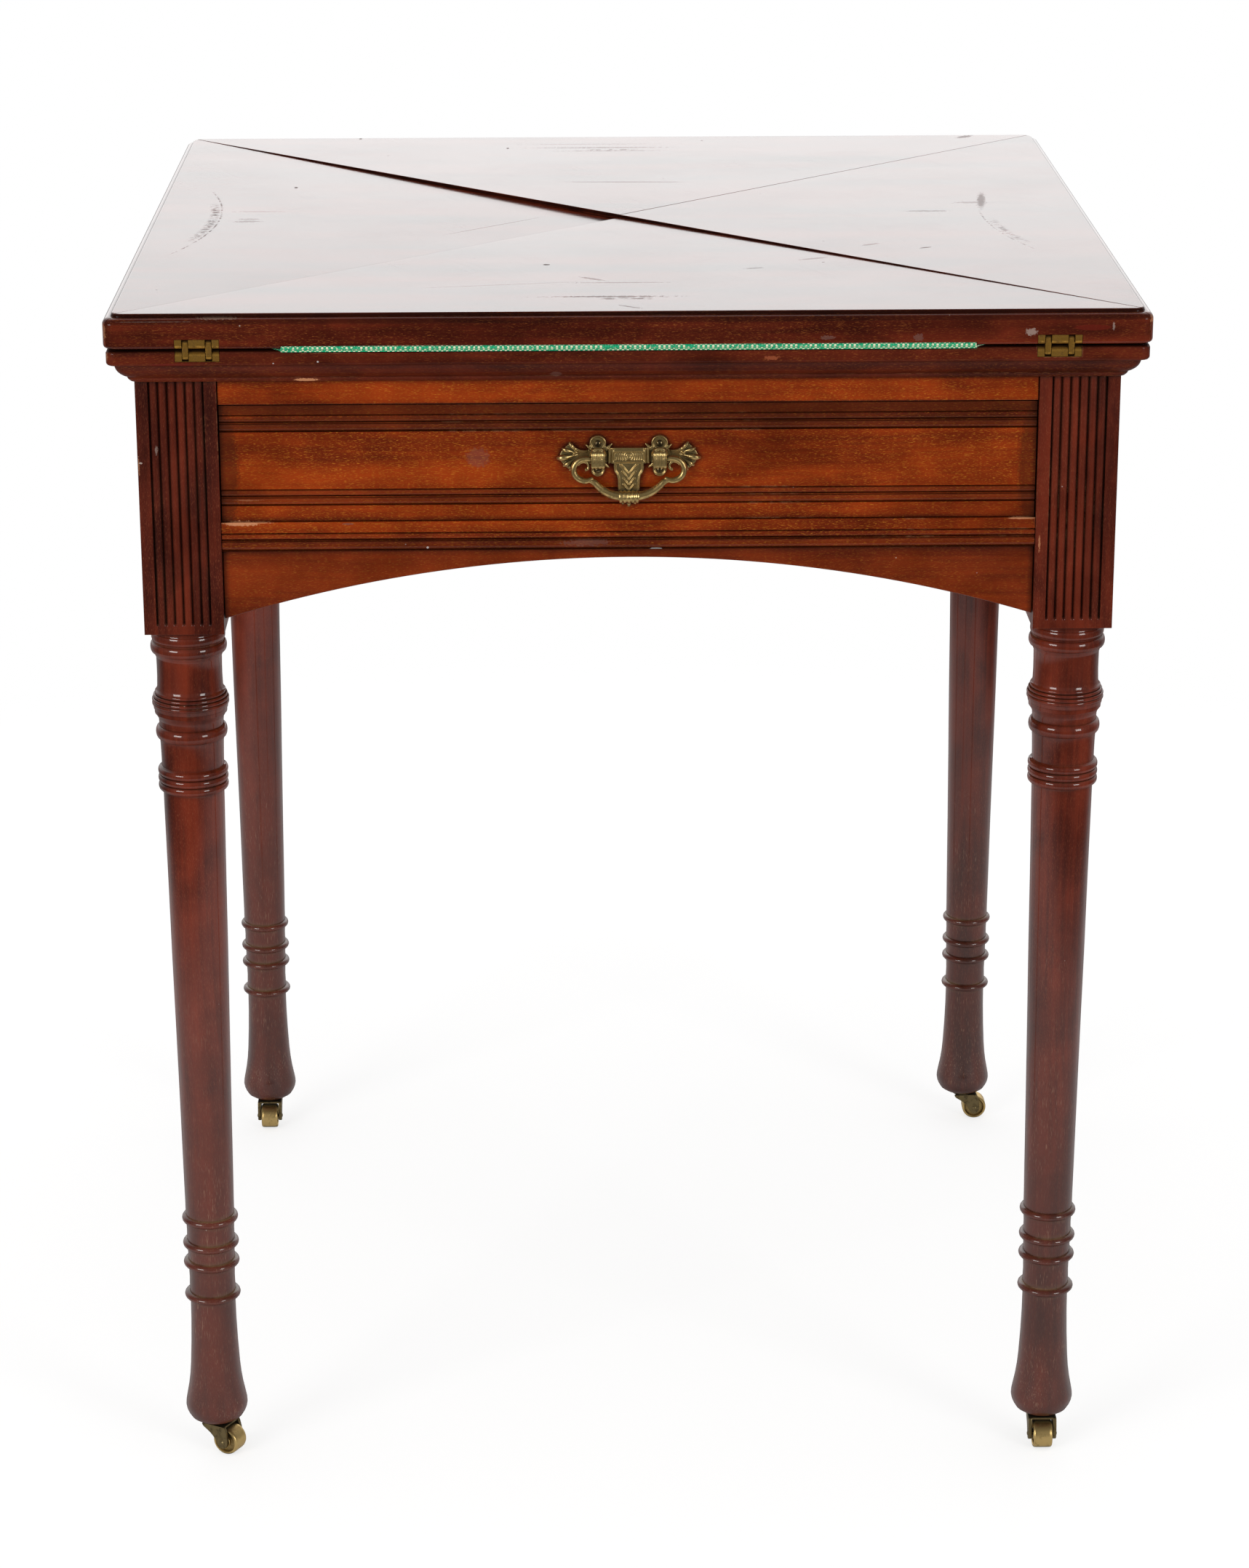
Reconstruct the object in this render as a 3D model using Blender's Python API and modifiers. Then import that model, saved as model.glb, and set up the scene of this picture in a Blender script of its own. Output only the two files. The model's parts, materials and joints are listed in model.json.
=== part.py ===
"""Fold-top game table: four hinged flaps on a square board that swivels on a framed stand with a drawer."""
import math

import bmesh
import bpy
from mathutils import Matrix, Vector

# Driving sizes, in metres. The origin is on the floor under the table's centre, with the front at -Y.
TABLE_HEIGHT = 0.741
TOP_HALF = 0.3015
TOP_OVERHANG = 0.016
BLOCK_WIDTH = 0.047
SEAT_GAP = 0.0003
CUT_OVERRUN = 0.002
MERGE_DISTANCE = 0.000003
SMOOTH_ANGLE = math.radians(40.0)

# Folding top
FLAP_THICKNESS = 0.020
OPEN_CLEARANCE = 0.0005
FLAP_GAP = 0.0012
SEAM_GAP = 0.0006
TOP_CORNER_RADIUS = 0.0065
ARRIS_RADIUS = 0.0022
MOULD_WIDTH = 0.0056
MOULD_DROP = 0.0048
MOULD_QUIRK = 0.0008
LIP_SETBACK = 0.0012
LIP_HEIGHT = 0.0095
LIP_ROUND = 0.0014
LIP_UNDERCUT = 0.0044
COVE_STEPS = 4
COVE_WIDTH = 0.0079
CLOTH_THICKNESS = 0.0010
CLOTH_CORNER_CUT = 0.100
CLOTH_SETBACK = 0.0008

# Flap hinges, two links on two pins
HINGE_FROM_CORNER = 0.054
HINGE_LENGTH = 0.0256
PIN_INSET = 0.002925
PIN_RADIUS = 0.0009
LINK_WIDTH = 0.0034
LINK_SPACING = 0.0134

# Pivot of the top
PIVOT_RAIL_WIDTH = 0.120
BOLT_RADIUS = 0.005
BOLT_HEAD_RADIUS = 0.010
BOLT_HEAD_THICKNESS = 0.0035
WASHER_RADIUS = 0.011
WASHER_THICKNESS = 0.0015
NUT_RADIUS = 0.0088
NUT_THICKNESS = 0.0055
PEG_RADIUS = 0.004
PEG_ORBIT = 0.045
PEG_LENGTH = 0.020
SWIVEL_ANGLE = math.radians(45.0)

# Frame
TOP_RAIL_HEIGHT = 0.0145
TOP_RAIL_SETBACK = 0.001
LOWER_RAIL_HEIGHT = 0.0174
LOWER_RAIL_SETBACK = 0.0005
DRAWER_OPENING_HEIGHT = 0.0702
APRON_THICKNESS = 0.018
APRON_SETBACK = 0.0035
PANEL_SETBACK = 0.002
ARCH_RISE = 0.036
APRON_OVER_ARCH = 0.0056
BLOCK_BELOW_APRON = 0.0085
REED_MARGIN = 0.008
REED_COUNT = 6
REED_GROOVE_WIDTH = 0.0016
REED_STOP = 0.0069
RUNNER_LEDGE = 0.018
RUNNER_THICKNESS = 0.010
GUIDE_HEIGHT = 0.020

# Drawer
DRAWER_FRONT_GAP = 0.0008
DRAWER_FRONT_THICKNESS = 0.020
DRAWER_SETBACK = 0.003
DRAWER_BACK_CLEARANCE = 0.101
DRAWER_SIDE_THICKNESS = 0.010
DRAWER_SIDE_DROP = 0.0095
DRAWER_BOTTOM_THICKNESS = 0.004
DRAWER_BOTTOM_LIFT = 0.006
DRAWER_GROOVE_DEPTH = 0.004
BEAD_QUIRK_WIDTH = 0.0012
BEAD_QUIRK_DEPTH = 0.0010
STOP_LENGTH = 0.020
STOP_HEIGHT = 0.015

# Handle
HANDLE_HALF_WIDTH = 0.0429
HANDLE_THICKNESS = 0.0018
HANDLE_BAR_HEIGHT = 0.0104
HANDLE_STEM_HALF = 0.0080
HANDLE_STEM_LENGTH = 0.0260
HANDLE_POST_SPACING = 0.0180
HANDLE_POST_WIDTH = 0.0086
HANDLE_POST_HEIGHT = 0.0104
HANDLE_POST_REACH = 0.0085
HANDLE_POST_ROUND = 0.0017
HANDLE_LOBE_RADIUS = 0.0050
HANDLE_LOBE_RISE = 0.0090
HANDLE_SMALL_LOBE_RADIUS = 0.0038
HANDLE_SMALL_LOBE_DROP = 0.0078
HANDLE_ABOVE_MIDDLE = 0.0025
BAIL_ROD_RADIUS = 0.0017
BAIL_STANDOFF = 0.0055
BAIL_PLAY = 0.0004
BAIL_RING_RADIUS = 0.0052
BAIL_RING_PLACE = 0.0278
BAIL_DROP = 0.0216
BAIL_CLASP_HALF = 0.0056
BAIL_CLASP_SHARE = 1.35
PIN_HEAD_SHARE = 0.48
PIN_HEAD_HEIGHT = 0.0012
PIN_DOME_SHARES = ((0.0, 1.0), (0.6, 0.85), (1.0, 0.3))
HANDLE_PIN_RADIUS = 0.0011
HANDLE_PIN_LENGTH = 0.008

# Casters
WHEEL_RADIUS = 0.009
WHEEL_WIDTH = 0.012
WHEEL_RIM = 0.0018
WHEEL_DISH = 0.0020
WHEEL_HUB_RADIUS = 0.0034
WHEEL_SIDES = 20
AXLE_RADIUS = 0.0012
CASTER_TRAIL = 0.009
CHEEK_THICKNESS = 0.0024
CHEEK_GAP = 0.0006
CHEEK_END_RADIUS = 0.0032
CHEEK_END_START = math.radians(200.0)
CHEEK_END_FINISH = math.radians(380.0)
CHEEK_WAIST_SHARE = 0.2
CROWN_THICKNESS = 0.0018
CROWN_GAP = 0.0008
CROWN_BACK = 0.0064
CASTER_PLATE_RADIUS = 0.0095
CASTER_PLATE_THICKNESS = 0.0014
STEM_RADIUS = 0.0022
STEM_LENGTH = 0.014
CASTER_HEADINGS = {
    "front_left": math.radians(-30.0),
    "front_right": math.radians(-90.0),
    "back_right": math.radians(0.0),
    "back_left": math.radians(-90.0),
}

# Facets of round pieces and steps along arcs
LEG_SIDES = 12
ROUND_SIDES = 16
SMALL_SIDES = 12
TINY_SIDES = 8
NUT_SIDES = 6
SQUARE_SIDES = 4
ARCH_STEPS = 16
LONG_ARC_STEPS = 8
HALF_ROUND_STEPS = 4
ARRIS_STEPS = 3
LIP_STEPS = 2

# Levels and places worked out from the sizes above
FLAP_UNDER = TABLE_HEIGHT - FLAP_THICKNESS
BOARD_TOP = FLAP_UNDER - FLAP_GAP
BOARD_THICKNESS = FLAP_THICKNESS + OPEN_CLEARANCE
BOARD_UNDER = BOARD_TOP - BOARD_THICKNESS
FRAME_TOP = BOARD_UNDER - SEAT_GAP
BOARD_HALF = TOP_HALF - LIP_SETBACK
FRAME_HALF = TOP_HALF - TOP_OVERHANG
LEG_PLACE = FRAME_HALF - BLOCK_WIDTH / 2
BLOCK_INNER = FRAME_HALF - BLOCK_WIDTH
AXLE_HEIGHT = WHEEL_RADIUS * math.cos(math.pi / WHEEL_SIDES)
CROWN_UNDER = AXLE_HEIGHT + WHEEL_RADIUS + CROWN_GAP
CROWN_TOP = CROWN_UNDER + CROWN_THICKNESS
CASTER_PLATE_UNDER = CROWN_TOP + SEAT_GAP
CASTER_PLATE_TOP = CASTER_PLATE_UNDER + CASTER_PLATE_THICKNESS
FOOT_BOTTOM = CASTER_PLATE_TOP + SEAT_GAP
TOP_RAIL_UNDER = FRAME_TOP - TOP_RAIL_HEIGHT
LOWER_RAIL_TOP = TOP_RAIL_UNDER - DRAWER_OPENING_HEIGHT
LOWER_RAIL_UNDER = LOWER_RAIL_TOP - LOWER_RAIL_HEIGHT
APRON_TOP = LOWER_RAIL_UNDER - SEAT_GAP
APRON_BOTTOM = APRON_TOP - APRON_OVER_ARCH - ARCH_RISE
BLOCK_BOTTOM = APRON_BOTTOM - BLOCK_BELOW_APRON
TURNED_LENGTH = BLOCK_BOTTOM - FOOT_BOTTOM
RAIL_REACH = BLOCK_INNER - SEAT_GAP
PANEL_OUTER = FRAME_HALF - PANEL_SETBACK
PANEL_INNER = PANEL_OUTER - APRON_THICKNESS
PIN_PLACE = (TOP_HALF + BOARD_HALF) / 2 - PIN_INSET
BOARD_PIN_HEIGHT = BOARD_TOP - PIN_INSET
FLAP_PIN_HEIGHT = FLAP_UNDER + PIN_INSET
DRAWER_FACE = -(FRAME_HALF - DRAWER_SETBACK)
DRAWER_FRONT_BACK = DRAWER_FACE + DRAWER_FRONT_THICKNESS
DRAWER_BACK_END = BLOCK_INNER - DRAWER_BACK_CLEARANCE
DRAWER_HALF = BLOCK_INNER - DRAWER_FRONT_GAP
DRAWER_FRONT_BOTTOM = LOWER_RAIL_TOP + SEAT_GAP
DRAWER_FRONT_TOP = TOP_RAIL_UNDER - DRAWER_FRONT_GAP
DRAWER_SIDE_TOP = DRAWER_FRONT_TOP - DRAWER_SIDE_DROP
DRAWER_FLOOR_UNDER = DRAWER_FRONT_BOTTOM + DRAWER_BOTTOM_LIFT
HANDLE_HEIGHT = (DRAWER_FRONT_TOP + DRAWER_FRONT_BOTTOM) / 2 + HANDLE_ABOVE_MIDDLE
HANDLE_BACK = DRAWER_FACE - SEAT_GAP
HANDLE_FACE = HANDLE_BACK - HANDLE_THICKNESS
BAIL_PLACE = HANDLE_BACK - BAIL_STANDOFF

# Turned leg, top to bottom. Height and half height of each bead, then its crest and root radius.
# Heights are shares of the turned length and radii are shares of half the block's width. A row with
# no half height is a plain point at the root radius.
LEG_SHARES = (
    (0.9905, 0.0050, 0.945, 0.880),
    (0.9752, 0.0080, 0.968, 0.835),
    (0.9290, 0.0000, 0.000, 0.830),
    (0.9219, 0.0031, 0.902, 0.870),
    (0.9155, 0.0032, 0.962, 0.920),
    (0.9086, 0.0036, 0.991, 0.950),
    (0.8990, 0.0000, 0.000, 0.925),
    (0.8945, 0.0000, 0.000, 0.890),
    (0.8915, 0.0000, 0.000, 0.805),
    (0.8731, 0.0069, 0.915, 0.795),
    (0.8273, 0.0056, 0.894, 0.790),
    (0.8172, 0.0042, 0.889, 0.840),
    (0.8084, 0.0042, 0.885, 0.800),
    (0.8031, 0.0000, 0.000, 0.774),
    (0.5400, 0.0000, 0.000, 0.712),
    (0.2651, 0.0057, 0.740, 0.640),
    (0.2324, 0.0057, 0.740, 0.630),
    (0.2074, 0.0057, 0.740, 0.625),
    (0.1656, 0.0057, 0.740, 0.610),
    (0.1319, 0.0000, 0.000, 0.602),
    (0.1029, 0.0000, 0.000, 0.623),
    (0.0737, 0.0000, 0.000, 0.660),
    (0.0445, 0.0000, 0.000, 0.732),
    (0.0298, 0.0000, 0.000, 0.796),
    (0.0200, 0.0000, 0.000, 0.823),
    (0.0115, 0.0000, 0.000, 0.783),
    (0.0048, 0.0000, 0.000, 0.660),
    (0.0000, 0.0000, 0.000, 0.468),
)
TENON_SHARE = 0.03

# Heights of the quirks that set off the beads, as shares of the board's height
DRAWER_QUIRK_SHARES = (0.13, 0.195, 0.26, 0.765, 0.83, 0.90)
LOWER_RAIL_QUIRK_SHARES = (0.40, 0.70)

# Bow of the bail for one half, from its ring to the middle: shares of the ring's place and of the drop
BOW_SHARES = (
    (0.78, 0.08),
    (0.55, 0.36),
    (0.28, 0.78),
    (0.13, 0.96),
    (0.00, 1.00),
)
BAIL_RING_STEPS = 7
BAIL_BOW_STEPS = 2

# Palmette at each end of the handle: direction of each lobe in turns, and its reach as a share
PALMETTE_TURN_SHARES = (-0.10, -0.035, 0.03, 0.09, 0.15)
PALMETTE_REACH_SHARES = (0.66, 0.84, 1.00, 0.90, 0.76)
PALMETTE_CENTRE_SHARE = 0.60
PALMETTE_LOBE_SHARE = 0.17
PALMETTE_LIFT_SHARE = 0.06
LOBE_SWEEP = math.radians(72.0)

# Stem of the handle, top to bottom: half width and depth as shares of its half width and length
STEM_SHARES = (
    (1.00, 0.00),
    (0.92, 0.18),
    (0.74, 0.32),
    (0.71, 0.55),
    (0.74, 0.72),
    (0.86, 0.80),
    (0.55, 0.93),
    (0.00, 1.00),
)

SIDES = ("front", "right", "back", "left")
CORNERS = ("front_left", "front_right", "back_right", "back_left")
QUARTER_TURN = math.pi / 2


def clear_scene():
    """Remove whatever the scene holds."""
    for item in list(bpy.data.objects):
        bpy.data.objects.remove(item)


def new_collection(name):
    """Make a collection under the scene's own."""
    group = bpy.data.collections.new(name)
    bpy.context.scene.collection.children.link(group)
    return group


def finish_colour(name, colour, roughness, metallic=0.0):
    """Make a Principled material of one colour."""
    material = bpy.data.materials.new(name)
    material.use_nodes = True
    shader = material.node_tree.nodes["Principled BSDF"]
    shader.inputs["Base Color"].default_value = (*colour, 1.0)
    shader.inputs["Roughness"].default_value = roughness
    shader.inputs["Metallic"].default_value = metallic
    return material


clear_scene()
PARTS = new_collection("fold_top_game_table")
CUTTERS = new_collection("cutters")

RED_MAHOGANY = finish_colour("red_mahogany", (0.11, 0.022, 0.014), 0.28)
BROWN_MAHOGANY = finish_colour("brown_mahogany", (0.27, 0.075, 0.022), 0.32)
DRAWER_LINING = finish_colour("drawer_lining", (0.42, 0.24, 0.11), 0.6)
GREEN_CLOTH = finish_colour("green_cloth", (0.02, 0.33, 0.13), 0.95)
AGED_BRASS = finish_colour("aged_brass", (0.42, 0.31, 0.12), 0.38, 1.0)
STEEL = finish_colour("steel", (0.45, 0.44, 0.42), 0.4, 1.0)


def object_from_bmesh(shape, name):
    """Turn a bmesh into an object that no collection holds yet."""
    mesh = bpy.data.meshes.new(name)
    shape.to_mesh(mesh)
    shape.free()
    return bpy.data.objects.new(name, mesh)


def part(item, material, smooth=False):
    """Show an object as a sub-part of the table."""
    PARTS.objects.link(item)
    item.data.materials.clear()
    item.data.materials.append(material)
    if smooth:
        item.data.shade_smooth()
        item.data.set_sharp_from_angle(angle=SMOOTH_ANGLE)
    return item


def cutter(item):
    """Keep an object as a tool that shapes others."""
    CUTTERS.objects.link(item)
    item.hide_render = True
    item.display_type = "WIRE"
    return item


def combine(item, tool, operation):
    """Add a Boolean with an exact solver."""
    step = item.modifiers.new(operation.lower(), "BOOLEAN")
    step.operation = operation
    step.solver = "EXACT"
    step.object = tool
    return item


def cut(item, tool):
    """Cut one tool out of an object."""
    return combine(item, tool, "DIFFERENCE")


def settle(item, collection=CUTTERS):
    """Turn an object with modifiers into a plain mesh, so that copies can share it."""
    held = item.name in collection.objects
    if not held:
        collection.objects.link(item)
    bpy.context.view_layer.update()
    graph = bpy.context.evaluated_depsgraph_get()
    mesh = bpy.data.meshes.new_from_object(item.evaluated_get(graph))
    item.modifiers.clear()
    item.data = mesh
    if not held:
        collection.objects.unlink(item)
    return item


def box(name, low, high):
    """Make a box from its lowest and highest corners."""
    low = Vector(low)
    high = Vector(high)
    shape = bmesh.new()
    place = Matrix.Translation((low + high) / 2) @ Matrix.Diagonal((*(high - low), 1.0))
    bmesh.ops.create_cube(shape, size=1.0, matrix=place)
    return object_from_bmesh(shape, name)


def cylinder(name, start, end, radius, sides):
    """Make a closed cylinder between two points."""
    start = Vector(start)
    end = Vector(end)
    axis = end - start
    turn = axis.to_track_quat("Z", "Y").to_matrix().to_4x4()
    shape = bmesh.new()
    bmesh.ops.create_cone(
        shape,
        cap_ends=True,
        segments=sides,
        radius1=radius,
        radius2=radius,
        depth=axis.length,
        matrix=Matrix.Translation((start + end) / 2) @ turn,
    )
    return object_from_bmesh(shape, name)


def mesh_from_curve(name, curve_object, matrix):
    """Turn a curve into a mesh with welded caps."""
    bpy.context.scene.collection.objects.link(curve_object)
    bpy.context.view_layer.update()
    graph = bpy.context.evaluated_depsgraph_get()
    mesh = bpy.data.meshes.new_from_object(curve_object.evaluated_get(graph))
    bpy.data.objects.remove(curve_object)
    shape = bmesh.new()
    shape.from_mesh(mesh)
    bmesh.ops.remove_doubles(shape, verts=shape.verts, dist=MERGE_DISTANCE)
    bmesh.ops.transform(shape, matrix=matrix, verts=shape.verts)
    bmesh.ops.recalc_face_normals(shape, faces=shape.faces)
    return object_from_bmesh(shape, name)


PLANE_XY = Matrix.Identity(4)
PLANE_XZ = Matrix(((1, 0, 0, 0), (0, 0, -1, 0), (0, 1, 0, 0), (0, 0, 0, 1)))
PLANE_YZ = Matrix(((0, 0, 1, 0), (1, 0, 0, 0), (0, 1, 0, 0), (0, 0, 0, 1)))


def board(name, points, low, high, plane):
    """Extrude a flat outline across its plane, from one level to another."""
    curve = bpy.data.curves.new(name + "_outline", "CURVE")
    curve.dimensions = "2D"
    curve.fill_mode = "BOTH"
    curve.extrude = (high - low) / 2
    spline = curve.splines.new("POLY")
    spline.points.add(len(points) - 1)
    for spot, (across, up) in zip(spline.points, points):
        spot.co = (across, up, 0.0, 1.0)
    spline.use_cyclic_u = True
    middle = (low + high) / 2
    if plane is PLANE_XZ:
        middle = -middle
    lift = Matrix.Translation((0.0, 0.0, middle))
    return mesh_from_curve(name, bpy.data.objects.new(name, curve), plane @ lift)


def rod(name, points, radius, resolution=2, swell=None):
    """Make a round rod along a list of points, thicker where swell says."""
    curve = bpy.data.curves.new(name + "_path", "CURVE")
    curve.dimensions = "3D"
    curve.bevel_depth = radius
    curve.bevel_resolution = resolution
    curve.use_fill_caps = True
    spline = curve.splines.new("POLY")
    spline.points.add(len(points) - 1)
    for index, (spot, place) in enumerate(zip(spline.points, points)):
        spot.co = (*place, 1.0)
        if swell is not None:
            spot.radius = swell[index]
    return mesh_from_curve(name, bpy.data.objects.new(name, curve), Matrix.Identity(4))


def turned(name, profile, sides):
    """Turn a profile of radius and height, listed from top to bottom, about the Z axis."""
    shape = bmesh.new()
    spots = [shape.verts.new((radius, 0.0, height)) for radius, height in profile]
    for upper, lower in zip(spots, spots[1:]):
        shape.edges.new((upper, lower))
    item = object_from_bmesh(shape, name)
    spin = item.modifiers.new("turning", "SCREW")
    spin.axis = "Z"
    spin.steps = sides
    spin.render_steps = sides
    spin.use_merge_vertices = True
    spin.merge_threshold = MERGE_DISTANCE
    spin.use_smooth_shade = False
    return settle(item)


def arc(centre, radius, start, end, steps):
    """List points along an arc, from one angle to another."""
    points = []
    for index in range(steps + 1):
        angle = start + (end - start) * index / steps
        points.append((centre[0] + radius * math.cos(angle), centre[1] + radius * math.sin(angle)))
    return points


def axis_empty(name, place, parent=None):
    """Mark a joint's axis with an empty."""
    empty = bpy.data.objects.new(name, None)
    PARTS.objects.link(empty)
    empty.location = place
    bpy.context.view_layer.update()
    if parent is not None:
        hang(empty, parent)
    return empty


def hang(item, parent):
    """Parent an object without moving it."""
    bpy.context.view_layer.update()
    item.parent = parent
    item.matrix_parent_inverse = parent.matrix_world.inverted()


def copy_round(item, name, quarter):
    """Copy an object, turned about the table's middle by quarter turns."""
    twin = bpy.data.objects.new(name, item.data.copy())
    twin.rotation_euler.z = quarter * QUARTER_TURN
    return twin


def drop(item):
    """Remove a pattern that copies have replaced."""
    bpy.data.objects.remove(item)


# Stand


def leg_profile():
    """List the leg's outline from the block down to the foot, then up its caster socket."""
    radius_unit = BLOCK_WIDTH / 2
    tenon_top = BLOCK_BOTTOM + TENON_SHARE * (FRAME_TOP - BLOCK_BOTTOM)
    first_root = LEG_SHARES[0][3] * radius_unit
    points = [(0.0, tenon_top), (first_root, tenon_top)]
    for height, half, crest, root in LEG_SHARES:
        level = FOOT_BOTTOM + height * TURNED_LENGTH
        rise = half * TURNED_LENGTH
        if half:
            points.append((root * radius_unit, level + rise))
            points.append((crest * radius_unit, level))
            points.append((root * radius_unit, level - rise))
        else:
            points.append((root * radius_unit, level))
    socket = STEM_RADIUS + SEAT_GAP
    socket_top = FOOT_BOTTOM + STEM_LENGTH
    points += [(socket, FOOT_BOTTOM), (socket, socket_top), (0.0, socket_top)]
    return points


def reed_grooves():
    """Make the grooves that leave the reeds on the two outer faces of the front left block."""
    pitch = (BLOCK_WIDTH - 2 * REED_MARGIN) / REED_COUNT
    side = REED_GROOVE_WIDTH / math.sqrt(2.0)
    low = BLOCK_BOTTOM + REED_STOP
    high = FRAME_TOP + CUT_OVERRUN
    turn = Matrix.Rotation(math.pi / 4, 4, "Z")
    size = Matrix.Diagonal((side, side, high - low, 1.0))
    shape = bmesh.new()
    for index in range(REED_COUNT + 1):
        along = -FRAME_HALF + REED_MARGIN + pitch * index
        for spot in ((along, -FRAME_HALF), (-FRAME_HALF, along)):
            place = Matrix.Translation((*spot, (low + high) / 2))
            bmesh.ops.create_cube(shape, size=1.0, matrix=place @ turn @ size)
    return cutter(object_from_bmesh(shape, "reed_grooves"))


def make_legs():
    """Make the four legs, each a reeded block over a turned shaft."""
    block = box(
        "leg_pattern",
        (-FRAME_HALF, -FRAME_HALF, BLOCK_BOTTOM),
        (-BLOCK_INNER, -BLOCK_INNER, FRAME_TOP),
    )
    shaft = turned("leg_shaft", leg_profile(), LEG_SIDES)
    shaft.location = (-LEG_PLACE, -LEG_PLACE, 0.0)
    cutter(shaft)
    cut(block, reed_grooves())
    combine(block, shaft, "UNION")
    settle(block)
    for quarter, corner in enumerate(CORNERS):
        part(copy_round(block, "leg_" + corner, quarter), RED_MAHOGANY, smooth=True)
    drop(block)


def quirked_outline(face, back, low, high, quirk_shares):
    """Outline a board's section in Y and Z, with V quirks cut in its front face from the top down."""
    points = [(back, low), (back, high), (face, high)]
    for share in quirk_shares:
        level = high - share * (high - low)
        points.append((face, level + BEAD_QUIRK_WIDTH / 2))
        points.append((face + BEAD_QUIRK_DEPTH, level))
        points.append((face, level - BEAD_QUIRK_WIDTH / 2))
    points.append((face, low))
    return points


def arched_outline(half_width, top, bottom):
    """Outline an apron whose lower edge is one shallow arc."""
    radius = (half_width ** 2 + ARCH_RISE ** 2) / (2 * ARCH_RISE)
    spread = math.asin(half_width / radius)
    centre = (0.0, bottom + ARCH_RISE - radius)
    lower = arc(centre, radius, QUARTER_TURN + spread, QUARTER_TURN - spread, ARCH_STEPS)
    return lower + [(half_width, top), (-half_width, top)]


def make_front_frame():
    """Make the rails above and below the drawer, and the arched apron."""
    top_rail = box(
        "front_top_rail",
        (-RAIL_REACH, -FRAME_HALF + TOP_RAIL_SETBACK, TOP_RAIL_UNDER),
        (RAIL_REACH, -BLOCK_INNER, FRAME_TOP),
    )
    part(top_rail, BROWN_MAHOGANY)
    section = quirked_outline(
        -FRAME_HALF + LOWER_RAIL_SETBACK,
        -BLOCK_INNER,
        LOWER_RAIL_UNDER,
        LOWER_RAIL_TOP,
        LOWER_RAIL_QUIRK_SHARES,
    )
    part(board("front_lower_rail", section, -RAIL_REACH, RAIL_REACH, PLANE_YZ), BROWN_MAHOGANY)
    outline = arched_outline(RAIL_REACH, APRON_TOP, APRON_BOTTOM)
    face = -FRAME_HALF + APRON_SETBACK
    part(board("front_apron", outline, face, face + APRON_THICKNESS, PLANE_XZ), BROWN_MAHOGANY)


def make_panels():
    """Make the back and side panels, each one arched board between two legs."""
    outline = arched_outline(RAIL_REACH, FRAME_TOP, APRON_BOTTOM)
    pattern = board("panel_pattern", outline, -PANEL_OUTER, -PANEL_INNER, PLANE_XZ)
    for quarter, side in ((1, "right"), (2, "back"), (3, "left")):
        part(copy_round(pattern, side + "_panel", quarter), BROWN_MAHOGANY)
    drop(pattern)


def make_runners():
    """Make the L-shaped drawer runners and the stops behind the drawer."""
    outer = PANEL_INNER - SEAT_GAP
    inner = BLOCK_INNER - RUNNER_LEDGE
    low = LOWER_RAIL_TOP - RUNNER_THICKNESS
    high = LOWER_RAIL_TOP + GUIDE_HEIGHT
    section = [
        (inner, low),
        (outer, low),
        (outer, high),
        (BLOCK_INNER, high),
        (BLOCK_INNER, LOWER_RAIL_TOP),
        (inner, LOWER_RAIL_TOP),
    ]
    stop_start = DRAWER_BACK_END + SEAT_GAP
    stop_top = LOWER_RAIL_TOP + STOP_HEIGHT
    for side, name in ((-1, "left"), (1, "right")):
        outline = [(side * across, up) for across, up in section]
        runner = board("drawer_runner_" + name, outline, -RAIL_REACH, RAIL_REACH, PLANE_XZ)
        sunk = (BLOCK_INNER + outer) / 2
        near, far = sorted((side * inner, side * sunk))
        stop = box("drawer_stop", (near, stop_start, low), (far, stop_start + STOP_LENGTH, stop_top))
        combine(runner, cutter(stop), "UNION")
        part(runner, DRAWER_LINING)


def peg_place(turn):
    """Give the stop peg's place on its orbit, turned from its middle position."""
    angle = QUARTER_TURN + turn
    return Vector((PEG_ORBIT * math.cos(angle), PEG_ORBIT * math.sin(angle), 0.0))


def make_pivot_rail():
    """Make the rail that carries the top, with the bolt hole and the stop peg's curved slot."""
    rail = box(
        "pivot_rail",
        (-PIVOT_RAIL_WIDTH / 2, -BLOCK_INNER + SEAT_GAP, TOP_RAIL_UNDER),
        (PIVOT_RAIL_WIDTH / 2, PANEL_INNER - SEAT_GAP, FRAME_TOP),
    )
    low = TOP_RAIL_UNDER - CUT_OVERRUN
    high = FRAME_TOP + CUT_OVERRUN
    hole = cylinder("pivot_hole", (0, 0, low), (0, 0, high), BOLT_RADIUS + SEAT_GAP, ROUND_SIDES)
    cut(rail, cutter(hole))
    play = PEG_RADIUS + SEAT_GAP
    half = SWIVEL_ANGLE / 2
    start = QUARTER_TURN - half
    end = QUARTER_TURN + half
    outline = arc((0.0, 0.0), PEG_ORBIT + play, start, end, LONG_ARC_STEPS)
    far_end = peg_place(half)
    outline += arc(far_end, play, end, end + math.pi, LONG_ARC_STEPS)[1:]
    outline += arc((0.0, 0.0), PEG_ORBIT - play, end, start, LONG_ARC_STEPS)[1:]
    near_end = peg_place(-half)
    outline += arc(near_end, play, start + math.pi, start + 2 * math.pi, LONG_ARC_STEPS)[1:-1]
    cut(rail, cutter(board("peg_slot", outline, low, high, PLANE_XY)))
    part(rail, DRAWER_LINING)


# Folding top


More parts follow.
